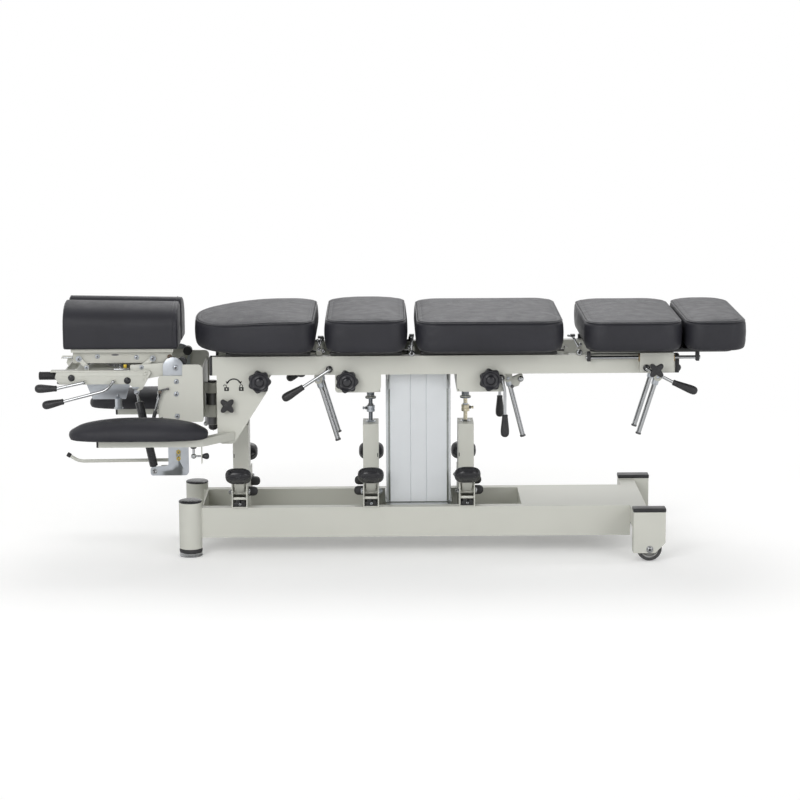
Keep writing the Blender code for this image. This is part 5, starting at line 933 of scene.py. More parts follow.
def armrestPad(side):
    shape = padShape
    half = shape["half"] - shape["swell"]
    low = (shape["left"] + shape["swell"], side * shape["y"] - half)
    high = (shape["right"] - shape["swell"], side * shape["y"] + half)
    ends = ((shape["right"] - shape["left"]) * 0.36, half * 0.97)
    outline = planOutline(low, high, ends, ends, 24, (0.84, 0.90))
    middle = ((low[0] + high[0]) / 2, side * shape["y"])
    halves = ((high[0] - low[0]) / 2, half)
    base = shape["base"]
    rise = shape["top"] - base
    levels = [(inset, base + rise * share) for inset, share in (
        (0.0085, 0.0), (0.0030, 0.05), (0.0004, 0.16), (0.0, 0.30), (0.0022, 0.46), (0.0078, 0.62), (0.0175, 0.76),
        (0.0300, 0.86), (0.0440, 0.91),
    )]
    bm = coverMesh(outline, middle, halves, levels)
    piece = meshObject("armrestPad_" + sideNames[side], bm)

    def isHeld(place):
        return 1.0 if place.z < base + 0.006 else 0.2

    remeshed = piece
    swollen(remeshed, shape["voxel"], isHeld, 0.004, 2.5)
    for vert in piece.data.vertices:
        place = vert.co
        u = (place.x - middle[0]) / halves[0]
        v = (place.y - middle[1]) / halves[1]
        lift = place.z - base
        crown = 1.0 - 0.34 * min(1.0, abs(u)) ** 2.4
        domed = rise * 0.11 * max(0.0, 1 - u * u) * max(0.0, 1 - v * v)
        if lift > rise * 0.25:
            share = min(1.0, (lift / rise - 0.25) / 0.5)
            place.z = base + lift * (1 + (crown - 1) * share) + domed * share
        if 0.0005 < lift < 0.013:
            outward = Vector((u / halves[0], v / halves[1], 0.0)).normalized()
            ripple = gathers(place * 1.7, 0.0030, side * 5.3)
            place += outward * ripple * (1 - lift / 0.013)
        place.z = max(place.z, base)
    softening = piece.modifiers.new("relax", "SMOOTH")
    softening.factor = 0.5
    softening.iterations = 4
    finer = piece.modifiers.new("finer", "SUBSURF")
    finer.levels = 1
    finer.render_levels = 1
    bpy.context.view_layer.update()
    applied(piece)
    tree = BVHTree.FromObject(piece, bpy.context.evaluated_depsgraph_get())
    ring = []
    for x, y in evenOutline(outline, 0.0045):
        outward = Vector((x - middle[0], y - middle[1], 0.0)).normalized()
        start = Vector((x, y, base + 0.0042)) + outward * 0.03
        hit = tree.ray_cast(start, -outward, 0.08)[0]
        if hit is not None:
            hit.z += gathers(hit * 2.0, 0.0022, side * 2.2)
            ring.append(hit)
    seam = bmesh.new()
    addBar(seam, ring, 0.0009, closed=True, sides=2)
    finish(piece, "armrest_pad_" + sideNames[side], "lift", 0.8)
    finished("armrestSeam_" + sideNames[side], seam, [pipingLeather], "lift")


def evenOutline(outline, spacing):
    return [(point.x, point.y) for point in evenRing([(x, y, 0.0) for x, y in outline], spacing)]


for side in (-1, 1):
    headRoll(side)
    armrestPad(side)
print("rolls and armrest pads made")

# small shared forms


def screwHead(bm, place, way, radius, height, slot=0, holeSlot=1):
    # a domed head with a six-sided socket
    addTurned(bm, (
        (radius, 0.0), (radius, height * 0.3), (radius * 0.86, height * 0.75), (radius * 0.62, height),
        (radius * 0.46, height * 1.02),
    ), place, way, 24, slot)
    addTurned(bm, ((radius * 0.46, height * 1.02), (radius * 0.42, height * 0.35), (0.0, height * 0.3)),
              place, way, 6, holeSlot)


def hexNut(bm, place, way, across, height, slot=0, screwSlot=None):
    radius = across / math.sqrt(3)
    addTurned(bm, (
        (0.0, 0.0), (radius * 0.94, 0.0), (radius, height * 0.12), (radius, height * 0.86),
        (radius * 0.9, height), (0.0, height),
    ), place, way, 6, slot)
    if screwSlot is not None:
        tip = Vector(place) + Vector(way).normalized() * height
        addTurned(bm, ((radius * 0.52, -height * 0.2), (radius * 0.52, height * 0.3), (radius * 0.42, height * 0.42),
                       (0.0, height * 0.42)), tip, way, 16, screwSlot)


def addGrip(bm, root, tip, rootRadius, tipRadius, slot=0):
    # a tapered grip with a lip at its root and a round end
    run = Vector(tip) - Vector(root)
    length = run.length
    addTurned(bm, (
        (0.0, 0.0), (rootRadius * 0.80, 0.0), (rootRadius * 0.98, 0.0012), (rootRadius, 0.004),
        (rootRadius * 0.97, 0.007), (rootRadius + (tipRadius - rootRadius) * 0.35, length * 0.4),
        (tipRadius * 0.985, length * 0.8), (tipRadius, length * 0.94), (tipRadius * 0.97, length + tipRadius * 0.22),
        (tipRadius * 0.82, length + tipRadius * 0.58), (tipRadius * 0.5, length + tipRadius * 0.88),
        (0.0, length + tipRadius),
    ), root, run, 32, slot)


# feet, wheels, caps and screws of the base

trayShape = {"reach": 0.182, "inset": 0.018, "board": (0.6092, 0.6216), "steel": (0.6036, 0.6096), "steelReach": 0.158,
             "hinge": 0.6125, "barrel": 0.0060, "earY": (0.0973, 0.1117)}
trays = {
    "chest": {"ends": (-0.540, -0.232), "steelLeft": -0.480, "hinge": -0.2035},
    "thoracic": {"ends": (-0.173, 0.036), "steelLeft": -0.173, "hinge": 0.0645},
    "lumbar": {"ends": (0.092, 0.493), "steelLeft": 0.092, "hinge": 0.5215},
}


def sectionTray(name, size):
    # board and steel below the cushion, drawn in so that the cushion overhangs them, with its hinge barrels
    shape = trayShape
    left, right = size["ends"]
    reach = shape["reach"]
    corner = (0.045, 0.045)
    nose = (0.150, reach * 0.97) if name == "chest" else corner
    tray = bmesh.new()
    outline = planOutline((left, -reach), (right, reach), nose, corner, 10)
    low, high = shape["board"]
    addPlate(tray, outline, (low + high) / 2, high - low, "XY", 0.0012, 0)
    low, high = shape["steel"]
    wide = shape["steelReach"]
    addBox(tray, (size["steelLeft"], -wide, low), (right, wide, high), 0.0012, 0, 2)
    for side in (-1, 1):
        near, far = sorted((side * (wide - 0.003), side * wide))
        addBox(tray, (size["steelLeft"] + 0.01, near, low + 0.001), (right - 0.01, far, high + 0.0030), 0.0008, 0, 2)
        near, far = sorted(side * y for y in shape["earY"])
        addBox(tray, (right - 0.045, near, low + 0.0005), (size["hinge"], far, low + 0.0060), 0.0008, 0, 2)
        addRod(tray, (size["hinge"], near, shape["hinge"]), (size["hinge"], far, shape["hinge"]), shape["barrel"], chamfer=0.0006)
        screwHead(tray, (size["hinge"], side * shape["earY"][1], shape["hinge"]), (0.0, side, 0.0), 0.0040, 0.0022, 1, 2)
    finished(name + "Tray", tray, [blackPaint, zincPlate, darkSteel], name + "_section", stands=(name + "_platform",))


for name, size in trays.items():
    sectionTray(name, size)

legTray = bmesh.new()
outline = planOutline((0.588, -0.1880), (1.005, 0.1880), (0.03, 0.03), (0.03, 0.03), 10)
addPlate(legTray, outline, 0.61625, 0.0108, "XY", 0.0012, 0)
for along in (0.700, 0.930):
    addBox(legTray, (along, -0.150, 0.6060), (along + 0.030, 0.150, 0.6112), 0.0010, 0, 2)
finished("legTray", legTray, [blackPaint], "leg_section", stands=("leg_carriage",))
print("trays made")

baseTrim = {
    "sleeveX": -0.594, "sleeveY": 0.144, "sleeveRadius": 0.0338, "sleeveBottom": 0.0243, "sleeveTop": 0.1634,
    "capTop": 0.1702, "footTop": 0.0236, "bracket": (0.712, 0.806), "bracketTop": 0.148, "bracketCap": 0.0112,
    "wheelX": 0.760, "wheelY": 0.245, "wheelRadius": 0.0372, "tread": 0.0126,
}


def footSleeve(side):
    trim = baseTrim
    place = (trim["sleeveX"], side * trim["sleeveY"], 0.0)
    radius = trim["sleeveRadius"]
    low = trim["sleeveBottom"]
    high = trim["sleeveTop"]
    skin = bmesh.new()
    addTurned(skin, (
        (radius - 0.003, low), (radius - 0.0006, low), (radius, low + 0.0006), (radius, high - 0.0006),
        (radius - 0.0006, high), (radius - 0.003, high),
    ), place, sides=64)
    finished("footSleeve_" + sideNames[side], skin, [powderCoat], "base")
    cap = bmesh.new()
    top = trim["capTop"]
    addTurned(cap, (
        (radius - 0.002, high - 0.0008), (radius + 0.0004, high - 0.0004), (radius + 0.0006, high + 0.0010),
        (radius + 0.0003, high + 0.0034), (radius - 0.0012, high + 0.0047), (radius * 0.8, top - 0.0009),
        (radius * 0.5, top - 0.0002), (0.0, top),
    ), place, sides=64)
    finished("sleeveCap_" + sideNames[side], cap, [glossPlastic], "base")
    foot = bmesh.new()
    ring = trim["footTop"]
    addTurned(foot, (
        (0.0, 0.0), (0.0325, 0.0), (0.0345, 0.0010), (0.0347, 0.0042), (0.0336, 0.0056), (0.0326, 0.0060),
        (0.0326, 0.0078), (0.0336, 0.0086), (0.0338, 0.0112), (0.0328, 0.0122), (0.0, 0.0122),
    ), place, sides=64)
    addTurned(foot, (
        (0.0, 0.0122), (0.0322, 0.0122), (0.0334, 0.0132), (0.0343, 0.0165), (0.0344, 0.0198), (0.0337, 0.0228),
        (0.0318, ring), (0.0, ring),
    ), place, sides=64, slot=1)
    finished("levellingFoot_" + sideNames[side], foot, [chromePlate, softRubber], "foot_" + sideNames[side],
             stands=("levelling_foot_" + sideNames[side],))


def rearWheel(side):
    trim = baseTrim
    radius = trim["wheelRadius"]
    half = trim["tread"]
    place = (trim["wheelX"], side * trim["wheelY"], 0.0375)
    wheel = bmesh.new()
    tyre = [(radius * 0.70, half * 0.92)]
    for step in range(9):
        turn = math.pi * step / 8
        tyre.append((radius * 0.92 + radius * 0.08 * math.sin(turn), half * math.cos(turn)))
    tyre.append((radius * 0.70, -half * 0.92))
    tyre.append(tyre[0])
    addTurned(wheel, tyre, place, (0.0, 1.0, 0.0), 64, 0)
    rim = (
        (0.0046, half * 1.02), (0.0105, half * 1.02), (0.0112, half * 0.86), (0.0125, half * 0.5),
        (radius * 0.56, half * 0.42), (radius * 0.62, half * 0.9), (radius * 0.71, half * 0.96),
        (radius * 0.71, -half * 0.96), (radius * 0.62, -half * 0.9), (radius * 0.56, -half * 0.42),
        (0.0125, -half * 0.5), (0.0112, -half * 0.86), (0.0105, -half * 1.02), (0.0046, -half * 1.02),
        (0.0046, half * 1.02),
    )
    addTurned(wheel, rim, place, (0.0, 1.0, 0.0), 64, 1)
    finished("rearWheel_" + sideNames[side], wheel, [wheelRubber, wheelGrey], "wheel_" + sideNames[side],
             stands=("wheel_" + sideNames[side],))


def bracketTrim(side):
    trim = baseTrim
    left, right = trim["bracket"]
    low = trim["bracketTop"] + 0.0002
    near, far = sorted((side * 0.2246, side * 0.2654))
    cap = bmesh.new()
    addBox(cap, (left - 0.0012, near - 0.0008, low), (right + 0.0012, far + 0.0008, low + trim["bracketCap"]),
           0.0022, segments=3)
    finished("bracketCap_" + sideNames[side], cap, [satinPlastic], "base")
    bolts = bmesh.new()
    for face in (side * 0.2651, side * 0.2249):
        way = Vector((0.0, 1.0 if face * side > side * side * 0.245 else -1.0, 0.0)) * side
        spot = (trim["wheelX"], face, trim["wheelRadius"])
        addTurned(bolts, ((0.0105, 0.0), (0.0105, 0.0012), (0.0095, 0.0014), (0.0, 0.0014)), spot, way, 32)
        screwHead(bolts, Vector(spot) + way * 0.0013, way, 0.0078, 0.0048)
    finished("wheelBolts_" + sideNames[side], bolts, [chromePlate, darkSteel], "base")


for side in (-1, 1):
    footSleeve(side)
    rearWheel(side)
    bracketTrim(side)
print("feet, wheels and caps made")

# cocking posts: pedals, rubber stops, pins and what lies in the channels

posts = {
    "chest": {"x": -0.447, "stop": 1}, "thoracic": {"x": -0.057, "stop": -1}, "lumbar": {"x": 0.228, "stop": 1},
}
pedalShape = {
    "pivotY": 0.122, "pivotZ": 0.187, "padY": 0.190, "padZ": 0.2490, "length": 0.0775, "width": 0.062,
    "depth": 0.038, "tilt": 38, "arm": 0.029, "channel": 0.023, "postTop": 0.376, "post": 0.047, "postWidth": 0.100,
}


def pedalPad(bm, centre, side, slot):
    # a rounded block: a sphere drawn out towards its corners, hollowed a little along its lower edge
    shape = pedalShape
    made = bmesh.ops.create_uvsphere(bm, u_segments=40, v_segments=24, radius=1.0)["verts"]
    for vert in made:
        x, y, z = vert.co
        square = 0.70
        vert.co = Vector((
            math.copysign(abs(x) ** square, x), math.copysign(abs(y) ** square, y), math.copysign(abs(z) ** 0.8, z)
        ))
        reach = vert.co.xy.length
        limit = 1.0 / (abs(x) ** 2.6 + abs(y) ** 2.6) ** (1 / 2.6) if reach > 0.001 else 1.0
        vert.co.xy *= min(1.0, 1.06 / max(reach, 0.001)) if reach > 1.06 else 1.0
        hollow = max(0.0, 1.0 - (vert.co.x / 0.55) ** 2) * max(0.0, -vert.co.y * side)
        vert.co.y += side * hollow * 0.035 * min(limit, 1.0)
    turn = Matrix.Rotation(math.radians(side * shape["tilt"]), 4, "X")
    size = Matrix.Diagonal((shape["length"] / 2, shape["width"] / 2, shape["depth"] / 2, 1.0))
    bmesh.ops.transform(bm, matrix=Matrix.Translation(centre) @ turn @ size, verts=made)
    setSlot(facesOf(made), slot)


def footPedal(name, along, side):
    shape = pedalShape
    pedal = bmesh.new()
    pedalPad(pedal, (along, side * shape["padY"], shape["padZ"]), side, 0)
    knee = shape["padY"] - 0.008
    outline = [
        (side * (shape["pivotY"] - 0.0045), shape["pivotZ"] + 0.0045), (side * (knee - 0.0085), shape["padZ"] - 0.0045),
        (side * knee, shape["padZ"] - 0.0005), (side * (knee + 0.0085), shape["padZ"] - 0.009),
        (side * (shape["pivotY"] + 0.0045), shape["pivotZ"] - 0.0045),
    ]
    addPlate(pedal, outline, along, shape["arm"], "YZ", 0.0012, 1)
    near, far = sorted((side * 0.0515, side * shape["pivotY"]))
    addBox(pedal, (along - 0.010, near, shape["pivotZ"] - 0.0045), (along + 0.010, far, shape["pivotZ"] + 0.0040),
           0.001, 1)
    half = shape["channel"] - 0.0034
    pivot = (along - half, side * shape["pivotY"], shape["pivotZ"])
    addTurned(pedal, ((0.0047, 0.0), (0.0085, 0.0), (0.0091, 0.0008), (0.0091, half * 2 - 0.0008),
                      (0.0085, half * 2), (0.0047, half * 2), (0.0047, 0.0)), pivot, (1.0, 0.0, 0.0), 32, 1)
    body = name + "_pedal_" + sideNames[side]
    finished(name + "Pedal_" + sideNames[side], pedal, [glossPlastic, powderCoat], body, stands=(body,))


def postTrim(name, along, stop):
    shape = pedalShape
    trim = bmesh.new()
    for side in (-1, 1):
        # rubber stop on its screw
        face = along + stop * (shape["channel"] - 0.0004)
        addTurned(trim, (
            (0.0, -0.0002), (0.0134, -0.0002), (0.0140, 0.0008), (0.0140, 0.0120), (0.0138, 0.0168), (0.0132, 0.0196),
            (0.0119, 0.0226), (0.0095, 0.0256), (0.0060, 0.0276), (0.0028, 0.0283), (0.0, 0.0284),
        ), (face, side * 0.075, 0.180), (stop, 0.0, 0.0), 36, 0)
        # pin of the pedal with a nut on one side and a head on the other
        outer = shape["channel"] + 0.0031
        pivot = (side * shape["pivotY"], shape["pivotZ"])
        hexNut(trim, (along - stop * outer, *pivot), (-stop, 0.0, 0.0), 0.0125, 0.0055, 1, 1)
        addTurned(trim, ((0.0088, -0.0034), (0.0088, 0.0003), (0.0080, 0.0008), (0.0, 0.0008)),
                  (along - stop * outer, *pivot), (-stop, 0.0, 0.0), 28, 1)
        screwHead(trim, (along + stop * outer, *pivot), (stop, 0.0, 0.0), 0.0086, 0.0042, 1, 2)
        # spring housing and its screw between the walls of the channel
        near, far = sorted((side * 0.092, side * 0.1515))
        addBox(trim, (along - 0.0175, near, 0.1488), (along + 0.0175, far, 0.1605), 0.0012, 3)
        near, far = sorted((side * 0.135, side * 0.1520))
        addBox(trim, (along - 0.0120, near, 0.1600), (along + 0.0010, far, 0.1680), 0.0010, 3)
        addBox(trim, (along + 0.0045, near, 0.1600), (along + 0.0150, far, 0.1655), 0.0010, 3)
        screwHead(trim, (along + 0.001, side * 0.1512, 0.1560), (0.0, side, 0.0), 0.0042, 0.0026, 1, 2)
        # plate that keeps the housing down
        near, far = sorted((side * 0.1460, side * 0.1490))
        addBox(trim, (along - 0.0196, near, 0.1690), (along + 0.0196, far, 0.1765), 0.0006, 4)
    # small side hole by the post's edge, drawn as a thin black box in the face: painted shade for its dark inside; and
    # the bored cap at the top
    edge = along - stop * (shape["post"] / 2 - 0.0032)
    for side in (-1, 1):
        face = side * (shape["postWidth"] / 2)
        near, far = sorted((face - side * 0.001, face + side * 0.00025))
        addBox(trim, (edge - 0.0013, near, 0.2765), (edge + 0.0013, far, 0.2880), 0.0, 3)
    top = shape["postTop"]
    for low, high, radius, slot in ((0.0, 0.0012, 0.0155, 1), (0.0012, 0.0052, 0.0098, 1)):
        addTurned(trim, ((0.0066, low), (radius, low), (radius, high - 0.0003), (radius - 0.0004, high),
                         (0.0066, high), (0.0066, low)), (along, 0.0, top), (0.0, 0.0, 1.0),
                  6 if radius < 0.012 else 36, slot)
    nutFinish = zincPlate if name == "thoracic" else chromePlate
    finished(name + "PostTrim", trim, [softRubber, nutFinish, darkSteel, blackPaint, powderCoat], "base")


def pushRod(name, along):
    shape = {"radius": 0.0059, "top": 0.6030, "foot": 0.110, "collar": (0.4062, 0.4262), "collarRadius": 0.0123}
    turn = 1 if name == "lumbar" else -1
    rod = bmesh.new()
    radius = shape["radius"]
    addTurned(rod, ((0.0, shape["foot"]), (radius, shape["foot"] + 0.001), (radius, shape["top"] - 0.006),
                    (radius * 0.6, shape["top"] - 0.0012), (0.0, shape["top"])), (along, 0.0, 0.0), sides=32)
    low, high = shape["collar"]
    wide = shape["collarRadius"]
    addTurned(rod, (
        (radius, low), (wide * 0.9, low), (wide, low + 0.0012), (wide, low + 0.0085), (wide * 0.9, low + 0.0092),
        (wide * 0.9, low + 0.0102), (wide, low + 0.0109), (wide, high - 0.0012), (wide * 0.9, high), (radius, high),
    ), (along, 0.0, 0.0), sides=40, slot=1)
    addTurned(rod, ((radius, high), (wide * 0.66, high), (wide * 0.66, high + 0.0042), (radius, high + 0.0046)),
              (along, 0.0, 0.0), sides=6, slot=2)
    middle = (low + high) / 2 + 0.001
    start = (along + turn * wide * 0.8, 0.0, middle)
    addTurned(rod, ((0.0, 0.0), (0.0046, 0.0), (0.0048, 0.0006), (0.0048, 0.0062), (0.0, 0.0062)), start,
              (turn, 0.0, 0.0), 24, 3)
    addTurned(rod, ((0.0, 0.006), (0.0034, 0.006), (0.0034, 0.0098), (0.0042, 0.0102), (0.0042, 0.0136), (0.0034, 0.0144),
                    (0.0, 0.0144)), start, (turn, 0.0, 0.0), 24, 1)
    if name == "lumbar":
        coats = [yellowZinc, yellowZinc, zincPlate, darkSteel]
    else:
        coats = [darkZinc, zincPlate, darkSteel, darkSteel]
    finished(name + "PushRod", rod, coats, name + "_rod", stands=(name + "_push_rod",))
    guide = bmesh.new()
    sleeve = 0.0113
    addTurned(guide, (
        (0.0066, 0.4468), (0.0156, 0.4468), (0.0163, 0.4474), (0.0163, 0.4502), (0.0150, 0.4512), (sleeve, 0.4516),
        (sleeve, 0.4552), (sleeve - 0.0010, 0.4560), (sleeve - 0.0010, 0.4572), (sleeve, 0.4580), (sleeve, 0.4985),
        (0.0066, 0.4985),
    ), (along, 0.0, 0.0), sides=40)
    finished(name + "RodGuide", guide, [darkZinc], "lift")


for name, post in posts.items():
    for side in (-1, 1):
        footPedal(name, post["x"], side)
    postTrim(name, post["x"], post["stop"])
    pushRod(name, post["x"])
print("posts, pedals and push rods made")

# column strips, beam caps, armrest bar caps and the sign on the near gusset

liftTrim = {
    "columnX": 0.085, "columnHalf": (0.096, 0.095), "columnTop": 0.489, "columnFoot": 0.151, "notch": 0.012,
    "beamInside": 0.130, "beamOutside": 0.160, "beamLow": 0.545, "beamHigh": 0.600, "beamLeft": -0.520,
    "beamRight": 0.839, "capDepth": 0.0124,
}


def beamCap(bm, start, end, side):
    trim = liftTrim
    near, far = sorted((side * (trim["beamInside"] - 0.0004), side * (trim["beamOutside"] + 0.0004)))
    addBox(bm, (start, near, trim["beamLow"] - 0.0004), (end, far, trim["beamHigh"] + 0.0004), 0.0026, 0, 3)


caps = bmesh.new()
for side in (-1, 1):
    beamCap(caps, liftTrim["beamLeft"] - 0.0088, liftTrim["beamLeft"] + 0.0004, side)
    beamCap(caps, liftTrim["beamRight"] - 0.0006, liftTrim["beamRight"] + liftTrim["capDepth"], side)
    # end of the armrest bar
    near, far = sorted((side * 0.2572, side * 0.2828))
    addBox(caps, (-0.8520, near, 0.3547), (-0.8452, far, 0.3778), 0.0016, 0, 3)
finished("liftCaps", caps, [satinPlastic], "lift")

strips = bmesh.new()
halfX, halfY = liftTrim["columnHalf"]
for side in (-1, 1):
    for end in (-1, 1):
        corner = (
            (liftTrim["columnX"] + end * (halfX + 0.0003), side * (halfY - liftTrim["notch"])),
            (liftTrim["columnX"] + end * (halfX - 0.0016), side * (halfY - liftTrim["notch"] + 0.0004)),
            (liftTrim["columnX"] + end * (halfX - liftTrim["notch"] + 0.0002), side * (halfY - 0.0036)),
            (liftTrim["columnX"] + end * (halfX - liftTrim["notch"]), side * (halfY - 0.0048)),
            (liftTrim["columnX"] + end * (halfX - 0.0030), side * (halfY - liftTrim["notch"] - 0.0010)),
        )
        low, high = liftTrim["columnFoot"], liftTrim["columnTop"]
        addPlate(strips, corner, (low + high) / 2, high - low, "XY", 0.0)
finished("columnStrips", strips, [stripAluminium], "lift")

# dark plate round the foot of the column: painted shade for the shadow gap where the column meets the base
footShadePlate = bmesh.new()
foot = liftTrim["columnFoot"] - 0.003
addPlate(footShadePlate, rounded((
    (liftTrim["columnX"] - halfX - 0.004, -halfY - 0.003, 0.006), (liftTrim["columnX"] + halfX + 0.004, -halfY - 0.003, 0.006),
    (liftTrim["columnX"] + halfX + 0.004, halfY + 0.003, 0.006), (liftTrim["columnX"] - halfX - 0.004, halfY + 0.003, 0.006),
)), foot, 0.0034, "XY", 0.0006)
finished("columnFootShadePlate", footShadePlate, [stripAluminium], "base")

signShape = {
    "left": -0.4792, "right": -0.4360, "z": 0.5045, "body": (0.0140, 0.0115), "shackle": 0.0042, "bar": 0.0023,
    "arcTop": 0.5345, "arcEnd": 0.5185, "face": -0.1601, "ink": 0.0004,
}


def inkBand(bm, centre, radius, width, start, end, steps=20):
    # a band along an arc, from angle to angle, in the sign's plane
    shape = signShape
    points = []
    for step in range(steps + 1):
        turn = math.radians(start + (end - start) * step / steps)
        points.append((centre[0] + (radius + width / 2) * math.cos(turn), centre[1] + (radius + width / 2) * math.sin(turn)))
    for step in range(steps, -1, -1):
        turn = math.radians(start + (end - start) * step / steps)
        points.append((centre[0] + (radius - width / 2) * math.cos(turn), centre[1] + (radius - width / 2) * math.sin(turn)))
    addPlate(bm, points, shape["face"], shape["ink"], "XZ", 0.0)


def lockSign():
    shape = signShape
    ink = bmesh.new()
    wide, tall = shape["body"]
    for middle, isOpen in ((shape["left"], True), (shape["right"], False)):
        low = shape["z"] - tall / 2
        high = shape["z"] + tall / 2
        keyhole = 0.0016
        for points in (
            rounded(((middle - wide / 2, low, 0.0014), (middle - keyhole, low, 0.0), (middle - keyhole, high, 0.0),
                     (middle - wide / 2, high, 0.0014)), 3),
            rounded(((middle + keyhole, low, 0.0), (middle + wide / 2, low, 0.0014), (middle + wide / 2, high, 0.0014),
                     (middle + keyhole, high, 0.0)), 3),
            ((middle - keyhole, low), (middle + keyhole, low), (middle + keyhole, low + 0.0032), (middle - keyhole, low + 0.0032)),
            ((middle - keyhole, high - 0.0032), (middle + keyhole, high - 0.0032), (middle + keyhole, high),
             (middle - keyhole, high)),
        ):
            addPlate(ink, points, shape["face"], shape["ink"], "XZ", 0.0)
        arc = shape["shackle"]
        spot = (middle - (arc * 1.1 if isOpen else 0.0), high + 0.0028)
        inkBand(ink, spot, arc, shape["bar"], -12 if isOpen else 0, 180, 16)
        legs = ((1,) if isOpen else (-1, 1))
        for leg in legs:
            foot = spot[0] + leg * arc
            addPlate(ink, ((foot - shape["bar"] / 2, high - 0.0005), (foot + shape["bar"] / 2, high - 0.0005),
                           (foot + shape["bar"] / 2, spot[1] + 0.0003), (foot - shape["bar"] / 2, spot[1] + 0.0003)),
                     shape["face"], shape["ink"], "XZ", 0.0)
    half = (shape["right"] - shape["left"]) / 2 - 0.001
    rise = shape["arcTop"] - shape["arcEnd"]
    radius = (half * half + rise * rise) / (2 * rise)
    centre = ((shape["left"] + shape["right"]) / 2, shape["arcTop"] - radius)
    swing = math.degrees(math.asin(half / radius))
    inkBand(ink, centre, radius, 0.0040, 90 - swing + 9, 90 + swing - 9, 24)
    for turn, way in ((90 - swing, -1), (90 + swing, 1)):
        tip = Vector((centre[0] + radius * math.cos(math.radians(turn)), centre[1] + radius * math.sin(math.radians(turn))))
        along = Vector((-math.sin(math.radians(turn)), math.cos(math.radians(turn)))) * way
        out = Vector((along.y, -along.x))
        root = tip - along * 0.0095
        points = [tuple(tip), tuple(root + out * 0.0058), tuple(root + along * 0.002), tuple(root - out * 0.0058)]
        if way > 0:
            points.reverse()
        addPlate(ink, points, shape["face"], shape["ink"], "XZ", 0.0)
    finished("lockSign", ink, [signInk], "lift")


lockSign()
print("column strips, caps and sign made")

# clamp knobs

knobShape = {"radius": 0.0345, "lobes": 7, "wave": 0.075, "depth": 0.0200, "stud": 0.0150, "studRadius": 0.0110,
             "beamFace": 0.160}
tensionKnobs = {"chest": (-0.381, 0.529), "thoracic": (-0.125, 0.528), "lumbar": (0.296, 0.531)}
starKnobs = {
    "swivel": {"place": (-0.477, 0.457), "seat": 0.160, "stud": 0.010},
    "leg": {"place": (0.778, 0.563), "seat": 0.190, "stud": 0.030},
}


def lobedOutline(place, radius, lobes, wave, count, turn=0.0):
    points = []
    for index in range(count):
        angle = math.tau * index / count
        reach = radius * (1 - wave * (1 - math.cos(lobes * angle)))
        points.append((place[0] + reach * math.cos(angle + turn), place[1] + reach * math.sin(angle + turn)))
    return points


def tensionKnob(name, place):
    shape = knobShape
    knob = bmesh.new()
    back = shape["beamFace"] + shape["stud"]
    face = back + shape["depth"]
    outline = lobedOutline(place, shape["radius"], shape["lobes"], shape["wave"], 128)
    thick = shape["depth"] - 0.0050
    addPlate(knob, outline, -(back + thick / 2), thick, "XZ", 0.0034, 0, 4)
    addTurned(knob, ((0.0, 0.0003), (0.0102, 0.0003), (0.0110, 0.0012), (0.0110, shape["stud"] + 0.001), (0.0, shape["stud"] + 0.001)),
              (place[0], -shape["beamFace"], place[1]), (0.0, -1.0, 0.0), 40, 0)
    # dished ring and the cap in its middle
    addTurned(knob, (
        (0.0286, -0.0060), (0.0286, -0.0014), (0.0276, -0.0002), (0.0262, 0.0), (0.0248, -0.0008), (0.0228, -0.0034),
        (0.0200, -0.0049), (0.0165, -0.0048), (0.0136, -0.0034), (0.0122, -0.0010), (0.0116, 0.0018), (0.0104, 0.0030),
        (0.0060, 0.0036), (0.0, 0.0038),
    ), (place[0], -face, place[1]), (0.0, -1.0, 0.0), 64, 1)
    finished(name + "TensionKnob", knob, [glossPlastic, dishPlastic], name + "_knob", stands=(name + "_knob",))
    collar = bmesh.new()
    addTurned(collar, ((0.0112, 0.0001), (0.0150, 0.0001), (0.0154, 0.0006), (0.0154, 0.0024), (0.0148, 0.0030), (0.0112, 0.0030),
                       (0.0112, 0.0001)), (place[0], -shape["beamFace"], place[1]), (0.0, -1.0, 0.0), 40, 0)
    finished(name + "KnobWasher", collar, [satinPlastic], "lift")


def starKnob(name, shape):
    knob = bmesh.new()
    place = shape["place"]
    back = shape["seat"] + shape["stud"]
    outline = lobedOutline(place, 0.0250, 4, 0.24, 96, math.pi / 4)
    addPlate(knob, outline, -(back + 0.008), 0.016, "XZ", 0.0034, 0, 4)
    addTurned(knob, ((0.0086, -0.0006), (0.0084, 0.0006), (0.0070, 0.0012), (0.0, 0.0015)),
              (place[0], -(back + 0.016), place[1]), (0.0, -1.0, 0.0), 40, 0)
    addTurned(knob, ((0.0, 0.0), (0.0074, 0.0), (0.0084, 0.0010), (0.0092, 0.0070), (0.0, 0.0070)),
              (place[0], -(back - 0.0060), place[1]), (0.0, -1.0, 0.0), 40, 0)
    addTurned(knob, ((0.0, 0.0003), (0.0040, 0.0003), (0.0040, shape["stud"] - 0.0050), (0.0, shape["stud"] - 0.0050)),
              (place[0], -shape["seat"], place[1]), (0.0, -1.0, 0.0), 24, 1)
    finished(name + "StarKnob", knob, [satinPlastic, zincPlate], name + "_star_knob",
             stands=(name + "_star_knob",))


for name, place in tensionKnobs.items():
    tensionKnob(name, place)
for name, shape in starKnobs.items():
    starKnob(name, shape)
print("clamp knobs made")

# hand levers on cross shafts and chrome handles

